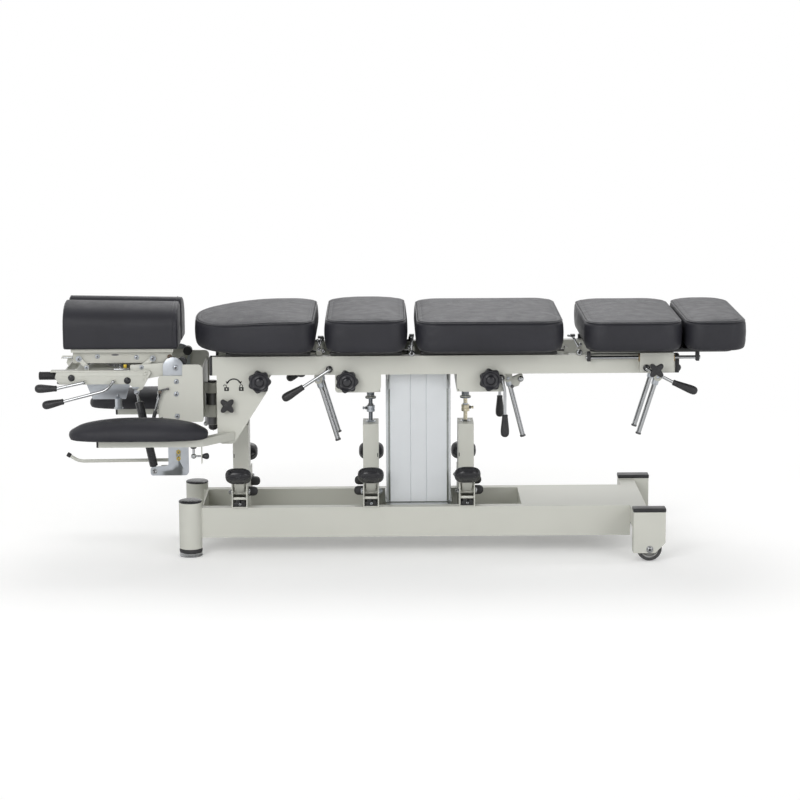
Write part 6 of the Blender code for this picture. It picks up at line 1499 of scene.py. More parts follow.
leverShape = {"rod": 0.0046, "hub": 0.0102, "gripRoot": 0.0088, "grip": 0.0127, "shaft": 0.0050}
leverPairs = {
    "head": {"route": ((-0.177, 0.562), (-0.254, 0.512), (-0.304, 0.482)), "across": 0.178, "seat": 0.160},
    "leg": {"route": ((0.752, 0.565), (0.829, 0.524), (0.888, 0.500)), "across": 0.208, "seat": 0.190},
    "lumbar": {"route": ((0.328, 0.533), (0.339, 0.500), (0.339, 0.423), (0.339, 0.369)), "across": 0.1672,
               "seat": 0.160},
}
handles = {
    "chest": {"top": (-0.211, 0.518), "foot": (-0.154, 0.332), "sides": (-1, 1)},
    "leg": {"top": (0.797, 0.520), "foot": (0.742, 0.345), "sides": (-1, 1)},
    "lumbar": {"top": (0.352, 0.520), "foot": (0.398, 0.340), "sides": (-1,)},
}


def leverArm(bm, route, across, side, seat, hub=None):
    shape = dict(leverShape, hub=hub or leverShape["hub"])
    points = atSide(route, side, across)
    start = Vector(points[0])
    bend = softened(points[:-1], 0.022)
    addBar(bm, bend, shape["rod"], 1)
    addBall(bm, start, shape["rod"] * 1.25, slot=1, sides=20)
    addTurned(bm, (
        (0.0, 0.0004), (shape["hub"] - 0.0008, 0.0004), (shape["hub"], 0.0012), (shape["hub"], 0.0052),
        (shape["hub"] - 0.0010, 0.0060), (shape["hub"] * 0.72, 0.0066), (shape["hub"] * 0.66, across - seat - 0.003),
        (0.0, across - seat),
    ), (start.x, side * seat, start.z), (0.0, side, 0.0), 36, 2)
    root = Vector(points[-2])
    way = (Vector(points[-1]) - root).normalized()
    addGrip(bm, root - way * 0.0012, points[-1], shape["gripRoot"], shape["grip"], 0)


def leverPair(name, shape):
    levers = bmesh.new()
    for side in (-1, 1):
        leverArm(levers, shape["route"], shape["across"], side, shape["seat"])
    along, up = shape["route"][0]
    reach = shape["across"] - 0.002
    addRod(levers, (along, -reach, up), (along, reach, up), leverShape["shaft"], slot=1)
    body = name + "_lock_lever"
    finished(name + "LockLevers", levers, [satinPlastic, chromePlate, glossPlastic], body, stands=(body,))


def chromeHandle(name, shape):
    handle = bmesh.new()
    top, foot = shape["top"], shape["foot"]
    reach = 0.0893
    end = reach if 1 in shape["sides"] else -0.056
    addRod(handle, (top[0], -reach, top[1]), (top[0], end, top[1]), leverShape["shaft"], slot=1, chamfer=0.0006)
    for side in shape["sides"]:
        start = Vector((top[0], side * 0.065, top[1]))
        tip = Vector((foot[0], side * 0.065, foot[1]))
        length = (tip - start).length
        way = tip - start
        addTurned(handle, (
            (0.0, 0.0), (0.0073, 0.0), (0.0073, length - 0.0052), (0.0068, length - 0.0046), (0.0, length - 0.0046),
        ), start, way, 40, 0)
        addTurned(handle, (
            (0.0, length - 0.0050), (0.0074, length - 0.0050), (0.0085, length - 0.0044), (0.0086, length - 0.0006),
            (0.0080, length + 0.0006), (0.0052, length + 0.0010), (0.0048, length - 0.0006), (0.0, length - 0.0008),
        ), start, way, 40, 2)
        addTurned(handle, (
            (0.0, 0.0), (0.0094, 0.0), (0.0100, 0.0008), (0.0100, 0.0290), (0.0094, 0.0298), (0.0, 0.0298),
        ), (top[0], side * 0.0550, top[1]), (0.0, side, 0.0), 36, 1)
        addTurned(handle, (
            (0.0, 0.0), (0.0096, 0.0), (0.0104, 0.0010), (0.0104, 0.0200), (0.0084, 0.0240), (0.0, 0.0240),
        ), start + way.normalized() * 0.004, way, 36, 1)
    if len(shape["sides"]) == 1:
        side = shape["sides"][0]
        start = Vector((top[0], top[1]))
        run = (Vector((foot[0], foot[1])) - start).normalized()
        out = Vector((-run.y, run.x))
        corners = (
            start + run * 0.006 - out * 0.004, start + run * 0.034 - out * 0.002, start + run * 0.033 + out * 0.0253,
            start + run * 0.006 + out * 0.046, start + out * 0.040,
        )
        outline = rounded([(corner.x, corner.y, 0.004) for corner in corners], 4)
        for shift in (-0.0075, 0.0075):
            addPlate(handle, outline, side * 0.065 + shift, 0.0024, "XZ", 0.0006, 3)
        spot = corners[3] + (corners[2] - corners[3]) * 0.3 - out * 0.004
        addTurned(handle, ((0.0, 0.0), (0.0040, 0.0), (0.0040, 0.0160), (0.0, 0.0160)),
                  (spot.x, side * 0.057, spot.y), (0.0, side, 0.0), 24, 1)
        addTurned(handle, (
            (0.0, 0.0), (0.0088, 0.0), (0.0092, 0.0006), (0.0090, 0.0016), (0.0076, 0.0040), (0.0048, 0.0058), (0.0, 0.0064),
        ), (spot.x, side * 0.0736, spot.y), (0.0, side, 0.0), 36, 0)
        foot2 = start + run * 0.030 + out * 0.006
        addTurned(handle, ((0.0, 0.0), (0.0052, 0.0), (0.0052, 0.0014), (0.0, 0.0034)), (foot2.x, side * 0.0736, foot2.y),
                  (0.0, side, 0.0), 24, 2)
    body = name + "_handle"
    finished(name + "Handle", handle, [chromePlate, zincPlate, darkSteel, powderCoat], body, stands=(body,))


for name, shape in leverPairs.items():
    leverPair(name, shape)
for name, shape in handles.items():
    chromeHandle(name, shape)
print("levers and handles made")

# slide rods with their bushes, the buffer under the beam and the toggle links between the cushions

slideShape = {"y": 0.176, "z": 0.594, "radius": 0.0050, "left": 0.5893, "right": 0.8967, "block": (0.733, 0.832)}


def slideRod(side):
    shape = slideShape
    rod = bmesh.new()
    place = (shape["left"], side * shape["y"], shape["z"])
    length = shape["right"] - shape["left"]
    radius = shape["radius"]
    addTurned(rod, ((0.0, 0.0), (radius - 0.0006, 0.0), (radius, 0.0006), (radius, length - 0.0006),
                    (radius - 0.0006, length), (0.0, length)), place, (1.0, 0.0, 0.0), 40, 0)
    finished("slideRod_" + sideNames[side], rod, [chromePlate], "leg_section",
             stands=("slide_rod_" + sideNames[side],))
    bush = bmesh.new()
    low, high = shape["block"]
    addTurned(bush, (
        (0.0056, -0.003), (0.0086, -0.003), (0.0090, -0.0026), (0.0090, high - low + 0.0026), (0.0086, high - low + 0.003),
        (0.0056, high - low + 0.003), (0.0056, -0.003),
    ), (low, side * shape["y"], shape["z"]), (1.0, 0.0, 0.0), 40, 0)
    for start, end in ((-0.0030, -0.0004), (high - low + 0.0004, high - low + 0.0030)):
        addTurned(bush, ((0.0090, start), (0.0128, start), (0.0128, end), (0.0090, end), (0.0090, start)),
                  (low, side * shape["y"], shape["z"]), (1.0, 0.0, 0.0), 40, 0)
    finished("slideBush_" + sideNames[side], bush, [sinteredBronze], "lift",
             stands=("slide_bush_" + sideNames[side],))
    ends = bmesh.new()
    for start in (0.579, 0.897):
        near, far = sorted((side * 0.1655, side * 0.1865))
        addBox(ends, (start - 0.0004, near, 0.5835), (start + 0.0104, far, 0.6115), 0.0022, 0, 3)
        outer = start - 0.0004 if start < 0.7 else start + 0.0104
        screwHead(ends, (outer, side * shape["y"], shape["z"]), (-1.0 if start < 0.7 else 1.0, 0.0, 0.0), 0.0060, 0.0034, 1, 2)
    finished("slideEnds_" + sideNames[side], ends, [satinPlastic, chromePlate, darkSteel], "leg_section")


for side in (-1, 1):
    slideRod(side)

buffers = bmesh.new()
for along in (-0.260,):
    for side in (-1, 1):
        addTurned(buffers, ((0.0, -0.0004), (0.0110, -0.0004), (0.0118, 0.0010), (0.0116, 0.0040), (0.0094, 0.0066),
                            (0.0050, 0.0082), (0.0, 0.0086)), (along, side * 0.145, 0.545), (0.0, 0.0, -1.0), 36, 0)
finished("beamBuffers", buffers, [satinPlastic], "lift")
print("slide rods, bushes and buffers made")

# drop links between the cushions

toggleShape = {"arm": 0.0030, "dome": 0.0094, "y": 0.158}
toggles = {
    "chest": {"arms": (((-0.2105, 0.648), (-0.2045, 0.634)), ((-0.1975, 0.655), (-0.2055, 0.630))), "dome": (-0.2060, 0.6215),
              "cap": (-0.2025, 0.6560), "nut": (-0.1935, 0.6150), "small": True},
    "thoracic": {"arms": (((0.0640, 0.6560), (0.0650, 0.6140)), ((0.0685, 0.6560), (0.0670, 0.6280))), "dome": (0.0655, 0.6075),
                 "cap": (0.0655, 0.6600), "nut": (0.0580, 0.6250), "small": False},
    "lumbar": {"arms": (((0.5390, 0.6530), (0.5540, 0.6230)), ((0.5260, 0.6560), (0.5400, 0.6530))), "dome": (0.5575, 0.6070),
               "cap": (0.5380, 0.6570), "nut": (0.5600, 0.6300), "small": False},
}


def toggleLink(name, shape):
    link = bmesh.new()
    radius = toggleShape["arm"]
    for side in (-1,):
        y = side * toggleShape["y"]
        for index, (start, end) in enumerate(shape["arms"]):
            shift = y - side * 0.005 * index
            addRod(link, (start[0], shift, start[1]), (end[0], shift, end[1]), radius, radius * 1.15, 20, 0, 0.0005)
            addBall(link, (start[0], shift, start[1]), radius * 1.3, slot=0, sides=16)
        x, z = shape["cap"]
        addBox(link, (x - 0.0070, min(y - side * 0.012, y + side * 0.004), z - 0.0030),
               (x + 0.0070, max(y - side * 0.012, y + side * 0.004), z + 0.0035), 0.0016, 1, 3)
        x, z = shape["dome"]
        dome = toggleShape["dome"] * (0.62 if shape["small"] else 1.0)
        facePin(link, x, z, toggleShape["y"] + 0.003, side, dome, dome * 0.55, 0.0, 0)
        addRod(link, (x, y - side * 0.030, z), (x, y + side * 0.004, z), 0.0030, slot=2)
        x, z = shape["nut"]
        facePin(link, x, z, toggleShape["y"] - 0.002, side, 0.0052, 0.0034, 0.0, 0)
        foot = shape["dome"]
        # lug that carries the link on the beam, in the darker copy of the powder coat that paints shade on it
        addPlate(link, rounded(((foot[0] - 0.0090, 0.5985, 0.0), (foot[0] + 0.0090, 0.5985, 0.0), (foot[0] + 0.0085, foot[1] + 0.020, 0.006),
                                (foot[0] - 0.0085, foot[1] + 0.020, 0.006)), 5), side * 0.1440, 0.0040, "XZ", 0.0006, 3)
    finished(name + "DropLink", link, [chromePlate, blackPaint, darkSteel, shadowedPowderCoat], "lift")


# head end: pins, caps, links and latch

headTrim = {"plateFace": 0.1182, "armFace": 0.1431, "linkY": 0.1235, "linkHalf": 0.0067, "linkThickness": 0.0041}
headLinks = {"front": ((-0.892, 0.567), (-0.915, 0.592)), "rear": ((-0.730, 0.567), (-0.697, 0.592))}


def facePin(bm, along, up, face, side, radius, height, washer=0.0, slot=0, holeSlot=1):
    spot = Vector((along, side * face, up))
    way = (0.0, side, 0.0)
    if washer:
        addTurned(bm, ((0.0, 0.0), (washer, 0.0), (washer, 0.0008), (washer - 0.0004, 0.0012), (0.0, 0.0012)),
                  spot, way, 36, slot)
        spot = spot + Vector(way) * 0.0011
    screwHead(bm, spot, way, radius, height, slot, holeSlot)


def blackCap(bm, along, up, face, side, radius, height, slot=0):
    addTurned(bm, (
        (radius, 0.0), (radius + 0.0004, height * 0.3), (radius - 0.0006, height * 0.72), (radius * 0.72, height * 0.95),
        (radius * 0.40, height), (radius * 0.36, height * 0.82), (0.0, height * 0.80),
    ), (along, side * face, up), (0.0, side, 0.0), 36, slot)


for name, shape in toggles.items():
    toggleLink(name, shape)
print("drop links made")


def headLink(name, ends):
    start, end = (Vector(place) for place in ends)
    run = (end - start).normalized()
    half = headTrim["linkHalf"]
    out = Vector((-run.y, run.x)) * half
    points = []
    for centre, first in ((end, out), (start, -out)):
        for step in range(13):
            spot = centre + Matrix.Rotation(-math.pi * step / 12, 2) @ first
            points.append((spot.x, spot.y))
    link = bmesh.new()
    for side in (-1, 1):
        addPlate(link, points[::-1], side * headTrim["linkY"], headTrim["linkThickness"], "XZ", 0.0006, 0)
        facePin(link, ends[0][0], ends[0][1], 0.1322, side, 0.0050, 0.0026, 0.0066, 1, 2)
    addRod(link, (ends[0][0], -0.1320, ends[0][1]), (ends[0][0], 0.1320, ends[0][1]), 0.0031, slot=1)
    finished(name + "HeadLink", link, [powderCoat, zincPlate, darkSteel], "link_" + name,
             stands=("link_" + name,))


for name, ends in headLinks.items():
    headLink(name, ends)

cradlePins = bmesh.new()
for side in (-1, 1):
    for name, ends in headLinks.items():
        facePin(cradlePins, ends[1][0], ends[1][1], 0.1257, side, 0.0066, 0.0036, 0.0092)
    for along, up, slot in ((-0.8602, 0.5978, 0), (-0.7454, 0.5946, 0), (-0.6480, 0.5955, 2)):
        facePin(cradlePins, along, up, headTrim["plateFace"], side, 0.0058, 0.0034, 0.0072, slot)
    # slotted hole in the plate, drawn as a thin dark oval sheet on its face: painted shade for the hole's dark inside
    addPlate(cradlePins, [(-0.8085 + 0.0075 * math.cos(t) * (1.5 if abs(math.cos(t)) > 0 else 1), 0.6020 + 0.0028 * math.sin(t))
                          for t in (math.tau * k / 24 for k in range(24))], side * 0.1179, 0.0006, "XZ", 0.0, 1)
finished("cradlePins", cradlePins, [zincPlate, darkSteel, bronzedSteel], "head_cradle")

thinRod = bmesh.new()
addTurned(thinRod, ((0.0, 0.0), (0.0016, 0.0004), (0.0019, 0.0012), (0.0019, 0.036), (0.0, 0.036)),
          (-0.9660, -0.100, 0.5920), (1.0, 0.0, 0.0), 20, 0)
addTurned(thinRod, ((0.0019, 0.0), (0.0048, 0.0), (0.0048, 0.0032), (0.0019, 0.0032)), (-0.9362, -0.100, 0.5920),
          (1.0, 0.0, 0.0), 6, 0)
finished("cradleRod", thinRod, [chromePlate], "head_cradle")

# what sits on the arm: caps, grip, folded lips, latch, sheet with its post

armShape = {
    "left": -0.979, "flangeLeft": -0.998, "top": 0.559, "bottom": 0.518, "tail": (-0.741, 0.497), "nose": 0.033, "y": 0.140,
    "plate": 0.0060, "flangeIn": 0.1150, "ear": 0.129, "earRadius": 0.016, "tilt": (-0.629, 0.566), "middle": (-0.925, -0.735),
    "stem": 0.0080,
}


def headArm():
    # side plates with narrow lips, joined below the head carriage
    shape = armShape
    plate, y = shape["plate"], shape["y"]
    left, top, bottom = shape["left"], shape["top"], shape["bottom"]
    tailX, tailZ = shape["tail"]
    nose = shape["nose"]
    outline = (
        (left, top), (left - plate, (top + bottom) / 2), (left + plate, bottom), (tailX - nose * 0.8, bottom), (tailX, tailZ),
        (tailX + nose * 0.4, tailZ + plate), (tailX + nose * 1.2, top - plate), (tailX + nose, top),
    )
    tiltX, tiltZ = shape["tilt"]
    reach = shape["earRadius"]
    ear = rounded((
        (tailX - nose * 0.7, bottom + plate, 0.0), (tiltX + reach, tiltZ - reach, reach * 0.9),
        (tiltX + reach, tiltZ + reach, reach * 0.9), (tailX - nose * 0.7, 0.5735, 0.0),
    ), 6)
    front = headLinks["front"][0]
    half = headTrim["linkHalf"]
    arm = bmesh.new()
    for side in (-1, 1):
        addPlate(arm, outline, side * y, plate, "XZ", 0.0008, 0)
        addPlate(arm, ear, side * shape["ear"], plate, "XZ", 0.0008, 0)
        tab = rounded(((front[0] - half, top - plate / 2, 0.0), (front[0] + half, top - plate / 2, 0.0),
                       (front[0] + half, front[1] + half, 0.004), (front[0] - half, front[1] + half, 0.004)), 4)
        addPlate(arm, tab, side * shape["ear"], plate, "XZ", 0.0006, 0)
        near, far = sorted((side * shape["flangeIn"], side * (y + plate / 2 - 0.0003)))
        addBox(arm, (shape["flangeLeft"], near, top - 0.0040), (tailX + nose * 0.7, far, top - 0.0003), 0.0010, 0, 2)
    start, end = shape["middle"]
    addBox(arm, (start, -y, top - 0.0042), (end, y, top - 0.0008), 0.0008, 0, 2)
    for along in (start, end - 0.004):
        addBox(arm, (along, -y, top - 0.0180), (along + 0.004, y, top - 0.0010), 0.0008, 0, 2)
    spot = left + (top - bottom) / 2
    addBox(arm, (spot, -y, bottom + plate), (spot + 0.005, y, top - 0.0022), 0.0010, 0, 2)
    addRod(arm, (tailX, -y, tailZ + plate), (tailX, y, tailZ + plate), 0.0045, slot=0)
    strap = ((tailX - 0.0045, tailZ + 0.0096), (-0.7584, 0.483), (-0.752, 0.475), (tailX + 0.0036, tailZ + 0.0029))
    addPlate(arm, strap[::-1], -0.0642, 0.0030, "XZ", 0.0004, 0)
    addBox(arm, (-0.9010, -0.0610, bottom), (-0.8904, -0.0590, top - 0.0030), 0.0004, 0, 1)
    addRod(arm, (-0.9785, -0.119, 0.541), (left + 0.041, -0.119, 0.541), shape["stem"] * 0.9, slot=1, chamfer=0.0008)
    finished("headArm", arm, [powderCoat, darkSteel], "head_arm", stands=("head_arm",))


headArm()

armParts = bmesh.new()
for side in (-1, 1):
    for along, up, radius in ((-0.9361, 0.5379, 0.0096), (-0.7716, 0.5291, 0.0098)):
        blackCap(armParts, along, up, headTrim["armFace"], side, radius, 0.0052, 0)
    disc = [(-0.7479 + 0.0110 * math.cos(t), 0.5128 + 0.0110 * math.sin(t)) for t in (math.pi * (1.08 + 0.84 * k / 18) for k in range(19))]
    addPlate(armParts, disc, side * 0.1440, 0.0024, "XZ", 0.0006, 3)
    # folded lip along the tray and the bead below it
    for left, right, low, high, out in ((-0.9975, -0.7080, 0.5548, 0.5596, 0.0022), (-0.9700, -0.7180, 0.5418, 0.5440, 0.0012)):
        near, far = sorted((side * 0.1405, side * (0.1430 + out)))
        addBox(armParts, (left, near, low), (right, far, high), 0.0010, 1, 2)
    for along, up in ((-0.7180, 0.5490), (-0.7180, 0.5330)):
        addTurned(armParts, ((0.0, 0.0), (0.0044, 0.0), (0.0048, 0.0006), (0.0048, 0.0090), (0.0040, 0.0104), (0.0, 0.0104)),
                  (along, side * 0.1380, up), (0.0, side, 0.0), 28, 1)
grip = ((0.0, -0.0300), (0.0104, -0.0300), (0.0118, -0.0286), (0.0122, -0.0262))
ribs = []
for step in range(11):
    ribs += [(0.0122, -0.0240 + step * 0.0048), (0.0117, -0.0232 + step * 0.0048), (0.0117, -0.0224 + step * 0.0048)]
addTurned(armParts, (*grip, *ribs, (0.0122, 0.0284), (0.0114, 0.0296), (0.0, 0.0296)), (-1.0042, -0.119, 0.541), (1.0, 0.0, 0.0),
          40, 2)
addTurned(armParts, ((0.0, -0.0010), (0.0060, -0.0010), (0.0072, 0.0), (0.0076, 0.0040), (0.0092, 0.0052), (0.0094, 0.0092),
                     (0.0080, 0.0110), (0.0, 0.0112)), (-0.9730, -0.119, 0.5275), (0.0, 0.0, -1.0), 28, 0)
finished("armParts", armParts, [glossPlastic, powderCoat, gripRubber, zincPlate], "head_arm")

latch = bmesh.new()
way = Vector((-0.7705, -0.1330, 0.5700)) - Vector((-0.8300, -0.1330, 0.5745))
addTurned(latch, ((0.0, 0.0), (0.0012, 0.0), (0.0030, 0.0090), (0.0030, way.length), (0.0, way.length)),
          (-0.8300, -0.1330, 0.5745), way, 20, 2)
for share, across, height, slot in ((0.30, 0.0100, 0.0050, 0), (0.44, 0.0125, 0.0040, 0), (0.56, 0.0090, 0.0060, 0), (0.80, 0.0105, 0.0085, 1)):
    hexNut(latch, Vector((-0.8300, -0.1330, 0.5745)) + way * share, way, across, height, slot)
addBox(latch, (-0.8120, -0.1400, 0.5594), (-0.7660, -0.1262, 0.5634), 0.0010, 0, 2)
addBox(latch, (-0.7950, -0.1350, 0.5630), (-0.7900, -0.1310, 0.5740), 0.0008, 0, 2)
finished("headLatch", latch, [chromePlate, brassYellow, blackPaint], "head_arm")

sheetShape = {"y": 0.060, "outline": ((-0.9076, 0.5204), (-0.8844, 0.4597), (-0.7857, 0.4597), (-0.7664, 0.5204)),
              "postX": -0.808, "post": 0.0103}
sheet = bmesh.new()
addPlate(sheet, sheetShape["outline"], -sheetShape["y"], 0.0036, "XZ", 0.0008, 0)
addTurned(sheet, (
    (0.0, 0.4286), (0.0040, 0.4286), (0.0046, 0.4300), (0.0132, 0.4302), (0.0138, 0.4310), (0.0138, 0.4334), (0.0130, 0.4342),
    (0.0104, 0.4346), (sheetShape["post"], 0.4360), (sheetShape["post"], 0.4612), (0.0, 0.4612),
), (sheetShape["postX"], -sheetShape["y"], 0.0), sides=40, slot=1)
for along, up in ((-0.884, 0.5100), (-0.790, 0.5100), (-0.808, 0.4700)):
    screwHead(sheet, (along, -sheetShape["y"] - 0.0017, up), (0.0, -1.0, 0.0), 0.0044, 0.0026, 1, 2)
finished("headSheet", sheet, [zincPlate, zincPlate, darkSteel], "head_arm")

# clamp levers of the arm

clampLevers = {
    "head": {"route": ((-0.900, 0.526), (-0.979, 0.509), (-1.0305, 0.509)), "body": "head_clamp_lever"},
    "drop": {"route": ((-0.812, 0.528), (-0.833, 0.502), (-0.960, 0.470), (-1.010, 0.460)), "body": "drop_clamp_lever"},
}
for name, clamp in clampLevers.items():
    lever = bmesh.new()
    leverArm(lever, clamp["route"], 0.158, -1, 0.143, 0.0062)
    stub = clamp["route"][0]
    addRod(lever, (stub[0], -0.1372, stub[1]), (stub[0], -0.1450, stub[1]), 0.0035, slot=1)
    finished(name + "ClampLever", lever, [satinPlastic, chromePlate, powderCoat], clamp["body"],
             stands=(clamp["body"],))

# gas spring and release bar

strutShape = {"foot": (-0.703, 0.243), "top": (-0.752, 0.483), "y": 0.070, "radius": 0.0124, "rod": 0.0043, "share": 0.874}


def gasSpring():
    shape = strutShape
    foot = Vector((shape["foot"][0], -shape["y"], shape["foot"][1]))
    top = Vector((shape["top"][0], -shape["y"], shape["top"][1]))
    run = top - foot
    length = run.length
    tube = bmesh.new()
    high = length * shape["share"]
    radius = shape["radius"]
    addTurned(tube, (
        (0.0, 0.004), (0.0056, 0.004), (0.0060, 0.0120), (0.0075, 0.0136), (radius - 0.0010, 0.0148), (radius, 0.0166),
        (radius, high - 0.0030), (radius - 0.0008, high - 0.0012), (radius * 0.72, high), (0.0052, high + 0.0006), (0.0046, high - 0.002),
        (0.0, high - 0.002),
    ), foot, run, 48, 0)
    addTurned(tube, ((0.0034, -0.0040), (0.0078, -0.0040), (0.0082, -0.0034), (0.0082, 0.0034), (0.0078, 0.0040), (0.0034, 0.0040),
                     (0.0034, -0.0040)), foot, (0.0, 1.0, 0.0), 36, 0)
    finished("gasSpringTube", tube, [glossPlastic], "strut_cylinder", stands=("strut_cylinder",))
    rod = bmesh.new()
    addTurned(rod, ((0.0, length * 0.46), (shape["rod"], length * 0.462), (shape["rod"], length - 0.006), (0.0062, length - 0.005),
                    (0.0066, length - 0.002), (0.0, length - 0.002)), foot, run, 32, 0)
    addTurned(rod, ((0.0, -0.0040), (0.0078, -0.0040), (0.0082, -0.0034), (0.0082, 0.0034), (0.0078, 0.0040), (0.0, 0.0040)),
              top, (0.0, 1.0, 0.0), 36, 1)
    finished("gasSpringRod", rod, [chromePlate, zincPlate], "strut_rod", stands=("strut_rod",))


gasSpring()

releaseRoute = ((-0.648, 0.268), (-0.935, 0.266), (-0.964, 0.285))
release = bmesh.new()
bend = softened(atSide(releaseRoute, -1, 0.030), 0.020)
addBar(release, bend, 0.0051, 0)
tipWay = (bend[-1] - bend[-2]).normalized()
addTurned(release, ((0.0, -0.0062), (0.0060, -0.0062), (0.0068, -0.0054), (0.0070, 0.0040), (0.0060, 0.0058), (0.0, 0.0062)),
          bend[-1], tipWay, 28, 1)
addTurned(release, ((0.0037, -0.0063), (0.0078, -0.0063), (0.0083, -0.0056), (0.0083, 0.0056), (0.0078, 0.0063),
                    (0.0037, 0.0063), (0.0037, -0.0063)), (-0.648, -0.030, 0.268), (0.0, 1.0, 0.0), 36, 0)
finished("releaseBar", release, [powderCoat, gripRubber], "release_bar", stands=("release_bar",))

# swivel carrier: cam plates, screws, roller, ball joint, angle

carrier = bmesh.new()
for side in (-1, 1):
    arc = [(-0.637 + 0.0306 * math.cos(t), 0.566 + 0.0306 * math.sin(t)) for t in (math.pi * k / 32 for k in range(33))]
    addPlate(carrier, [*arc, (-0.6676, 0.5300), (-0.6064, 0.5300)], side * 0.1360, 0.0040, "XZ", 0.0006, 0)
    facePin(carrier, -0.629, 0.566, 0.1380, side, 0.0082, 0.0046, 0.0105)
    for along, up in ((-0.6275, 0.5251), (-0.6283, 0.4881), (-0.6268, 0.4215)):
        facePin(carrier, along, up, headTrim["armFace"], side, 0.0064, 0.0032, 0.0078)
    addTurned(carrier, ((0.0, 0.0), (0.0124, 0.0), (0.0134, 0.0012), (0.0134, 0.0248), (0.0124, 0.0260), (0.0, 0.0260)),
              (-0.6120, side * 0.0960, 0.5790), (0.0, side, 0.0), 36, 3)
finished("carrierParts", carrier, [zincPlate, darkSteel, powderCoat, softRubber], "swivel")

joint = bmesh.new()
upper = Vector((-0.6750, -0.1525, 0.4960))
lower = Vector((-0.6985, -0.1525, 0.4080))
way = lower - upper
addTurned(joint, ((0.0, -0.0075), (0.0052, -0.0070), (0.0080, -0.0035), (0.0088, 0.0), (0.0080, 0.0042), (0.0056, 0.0090),
                  (0.0050, 0.0160), (0.0062, 0.0168), (0.0062, 0.0220), (0.0040, 0.0228), (0.0036, way.length * 0.66), (0.0, way.length * 0.66)),
          upper, way, 32, 0)
addTurned(joint, ((0.0, 0.0), (0.0052, 0.0), (0.0058, 0.0012), (0.0058, way.length * 0.36), (0.0, way.length * 0.36)),
          upper + way * 0.64, way, 32, 1)
screwHead(joint, upper + Vector((0.0, -0.0080, 0.0)), (0.0, -1.0, 0.0), 0.0052, 0.0030, 2, 3)
addRod(joint, upper, upper + Vector((0.0, 0.0100, 0.0)), 0.0040, slot=0)
addTurned(joint, ((0.0, 0.0), (0.0026, 0.0), (0.0026, 0.0150), (0.0036, 0.0156), (0.0036, 0.0220), (0.0, 0.0224)),
          upper + Vector((0.0040, 0.0, 0.0050)), (0.95, 0.0, 0.22), 20, 3)
near = bmesh.ops.create_cone(joint, cap_ends=True, segments=24, radius1=0.0066, radius2=0.0066, depth=0.0090,
                             matrix=Matrix.Translation((-0.7000, -0.1480, 0.4030)) @ Matrix.Rotation(math.pi / 2, 4, "X"))["verts"]
setSlot(facesOf(near), 0)
addPlate(joint, ((-0.7055, 0.3985), (-0.6700, 0.4045), (-0.6700, 0.4200), (-0.7020, 0.4085)), -0.1445, 0.0026, "XZ", 0.0006, 0)
finished("tiltRod", joint, [chromePlate, satinPlastic, bronzedSteel, darkSteel], "swivel")

angleShape = {"y": 0.080, "thickness": 0.0046, "toe": -0.7154, "heel": -0.6006, "low": 0.2306, "arm": 0.0248, "post": 0.0608,
              "top": 0.4040, "slot": (-0.631, 0.294), "slotHalf": (0.0080, 0.0165)}


def slottedAngle():
    # two halves that meet above and below the slot
    shape = angleShape
    middle, up = shape["slot"]
    wide, tall = shape["slotHalf"]
    heel = shape["low"] + shape["arm"]
    left = shape["heel"] - shape["post"]
    hole = [(middle + wide * math.cos(t), up + (tall - wide) * (1 if math.sin(t) > 0.001 else -1 if math.sin(t) < -0.001 else 0) + wide * math.sin(t))
            for t in (math.pi / 2 + math.pi * k / 16 for k in range(17))]
    outer = rounded((
        (middle, shape["low"], 0.0), (middle, shape["top"], 0.0), (left, shape["top"], 0.0), (left, heel + 0.006, 0.006),
        (shape["toe"], heel, 0.008), (shape["toe"], shape["low"], 0.008),
    ), 5)
    angle = bmesh.new()
    firstHalf = [(middle, shape["low"]), *reversed(hole), (middle, shape["top"])] + outer[2:]
    addPlate(angle, firstHalf[::-1], -shape["y"], shape["thickness"], "XZ", 0.0, 0)
    hole = [(2 * middle - x, z) for x, z in hole]
    outer = rounded(((middle, shape["low"], 0.0), (shape["heel"], shape["low"], 0.012), (shape["heel"], shape["top"], 0.0)), 5)
    secondHalf = [*outer, (middle, shape["top"]), *hole]
    addPlate(angle, secondHalf, -shape["y"], shape["thickness"], "XZ", 0.0, 0)
    for height in (0.281, 0.302):
        screwHead(angle, (middle, -shape["y"] - 0.0004, height), (0.0, -1.0, 0.0), 0.0062, 0.0040, 1, 2)
    facePin(angle, -0.703, 0.243, shape["y"] + 0.0022, -1, 0.0064, 0.0034, 0.0084, 3, 2)
    # folded foot of the angle
    addBox(angle, (-0.6850, -0.0782, 0.2552), (-0.6480, -0.0560, 0.2576), 0.0008, 4, 2)
    addBox(angle, (middle - 0.014, -0.0768, up - 0.024), (middle + 0.014, -0.0752, up + 0.024), 0.0004, 4, 1)
    finished("slottedAngle", angle, [zincPlate, brassYellow, darkSteel, chromePlate, powderCoat], "swivel", 5)


slottedAngle()

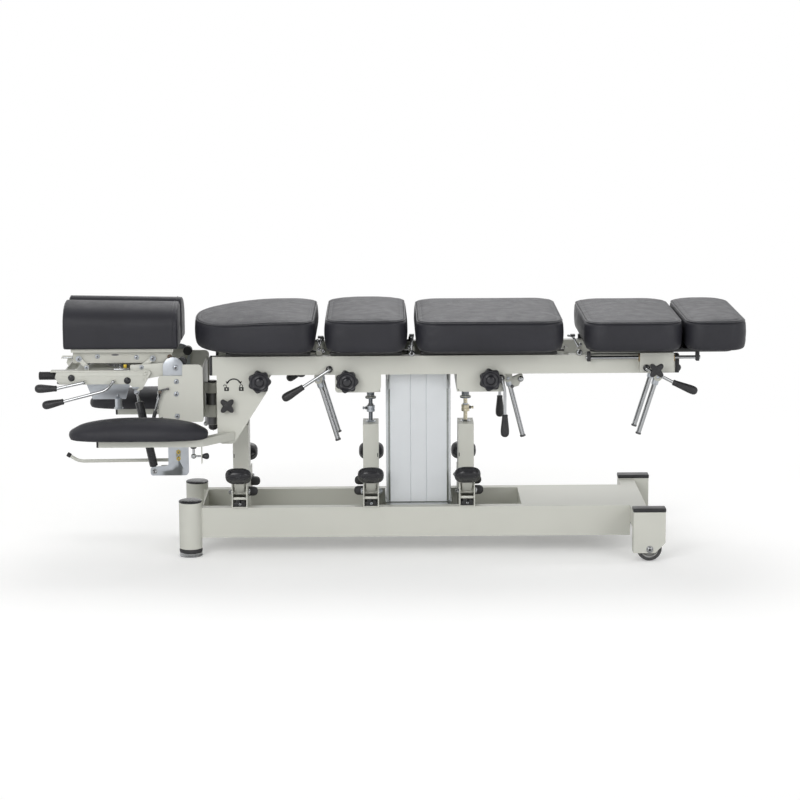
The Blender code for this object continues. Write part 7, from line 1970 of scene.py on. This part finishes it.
knuckleShape = {"x": -0.532, "radius": 0.0195, "low": 0.371, "high": 0.499, "shares": (0.0, 0.19, 0.47, 0.76, 1.0)}
low, high = knuckleShape["low"], knuckleShape["high"]
heights = [low + (high - low) * share for share in knuckleShape["shares"]]
for index, (foot, head) in enumerate(zip(heights, heights[1:])):
    ring = bmesh.new()
    radius = knuckleShape["radius"]
    addTurned(ring, ((0.0082, foot + 0.0004), (radius - 0.0012, foot + 0.0004), (radius, foot + 0.0014), (radius, head - 0.0014),
                     (radius - 0.0012, head - 0.0004), (0.0082, head - 0.0004), (0.0082, foot + 0.0004)),
              (knuckleShape["x"], 0.0, 0.0), sides=56)
    onCarrier = index % 2 == 1
    finished("knuckle_" + str(index), ring, [powderCoat if onCarrier else darkSteel], "swivel" if onCarrier else "lift")

pin = bmesh.new()
addTurned(pin, (
    (0.0, 0.5050), (0.0085, 0.5050), (0.0128, 0.5040), (0.0134, 0.5028), (0.0134, 0.5004), (0.0124, 0.4994), (0.0079, 0.4992),
    (0.0079, 0.3706), (0.0124, 0.3704), (0.0136, 0.3694), (0.0138, 0.3610), (0.0128, 0.3580), (0.0096, 0.3548), (0.0050, 0.3534),
    (0.0, 0.3530),
), (-0.532, 0.0, 0.0), sides=40)
finished("swivelPin", pin, [glossPlastic], "lift", stands=("swivel_pin",))

# clamp screw under each armrest bar
for side in (-1, 1):
    clamp = bmesh.new()
    place = Vector((-0.5720, side * 0.2600, 0.3552))
    addTurned(clamp, ((0.0, 0.0), (0.0086, 0.0), (0.0092, 0.0010), (0.0090, 0.0060), (0.0070, 0.0082), (0.0, 0.0084)), place,
              (0.0, 0.0, -1.0), 32, 1)
    addTurned(clamp, ((0.0, 0.006), (0.0036, 0.006), (0.0036, 0.0240), (0.0, 0.0240)), place, (0.0, 0.0, -1.0), 24, 0)
    addBall(clamp, place + Vector((0.0, 0.0, -0.0310)), 0.0078, slot=0, sides=28)
    addTurned(clamp, ((0.0, 0.0), (0.0030, 0.0), (0.0030, 0.0200), (0.0, 0.0200)), place + Vector((0.006, 0.0, -0.0310)),
              (1.0, 0.0, 0.0), 20, 0)
    addBox(clamp, (place.x + 0.0225, place.y - 0.0100, place.z - 0.0520), (place.x + 0.0250, place.y + 0.0100, place.z + 0.0004),
           0.0008, 2, 2)
    addTurned(clamp, ((0.0, 0.0), (0.0048, 0.0), (0.0064, 0.0030), (0.0088, 0.0090), (0.0094, 0.0130), (0.0082, 0.0170), (0.0050, 0.0196),
                      (0.0, 0.0204)), place + Vector((0.0252, 0.0, -0.0310)), (1.0, 0.0, 0.0), 32, 1)
    finished("armrestClamp_" + sideNames[side], clamp, [chromePlate, glossPlastic, powderCoat], "lift")
print("head end made")
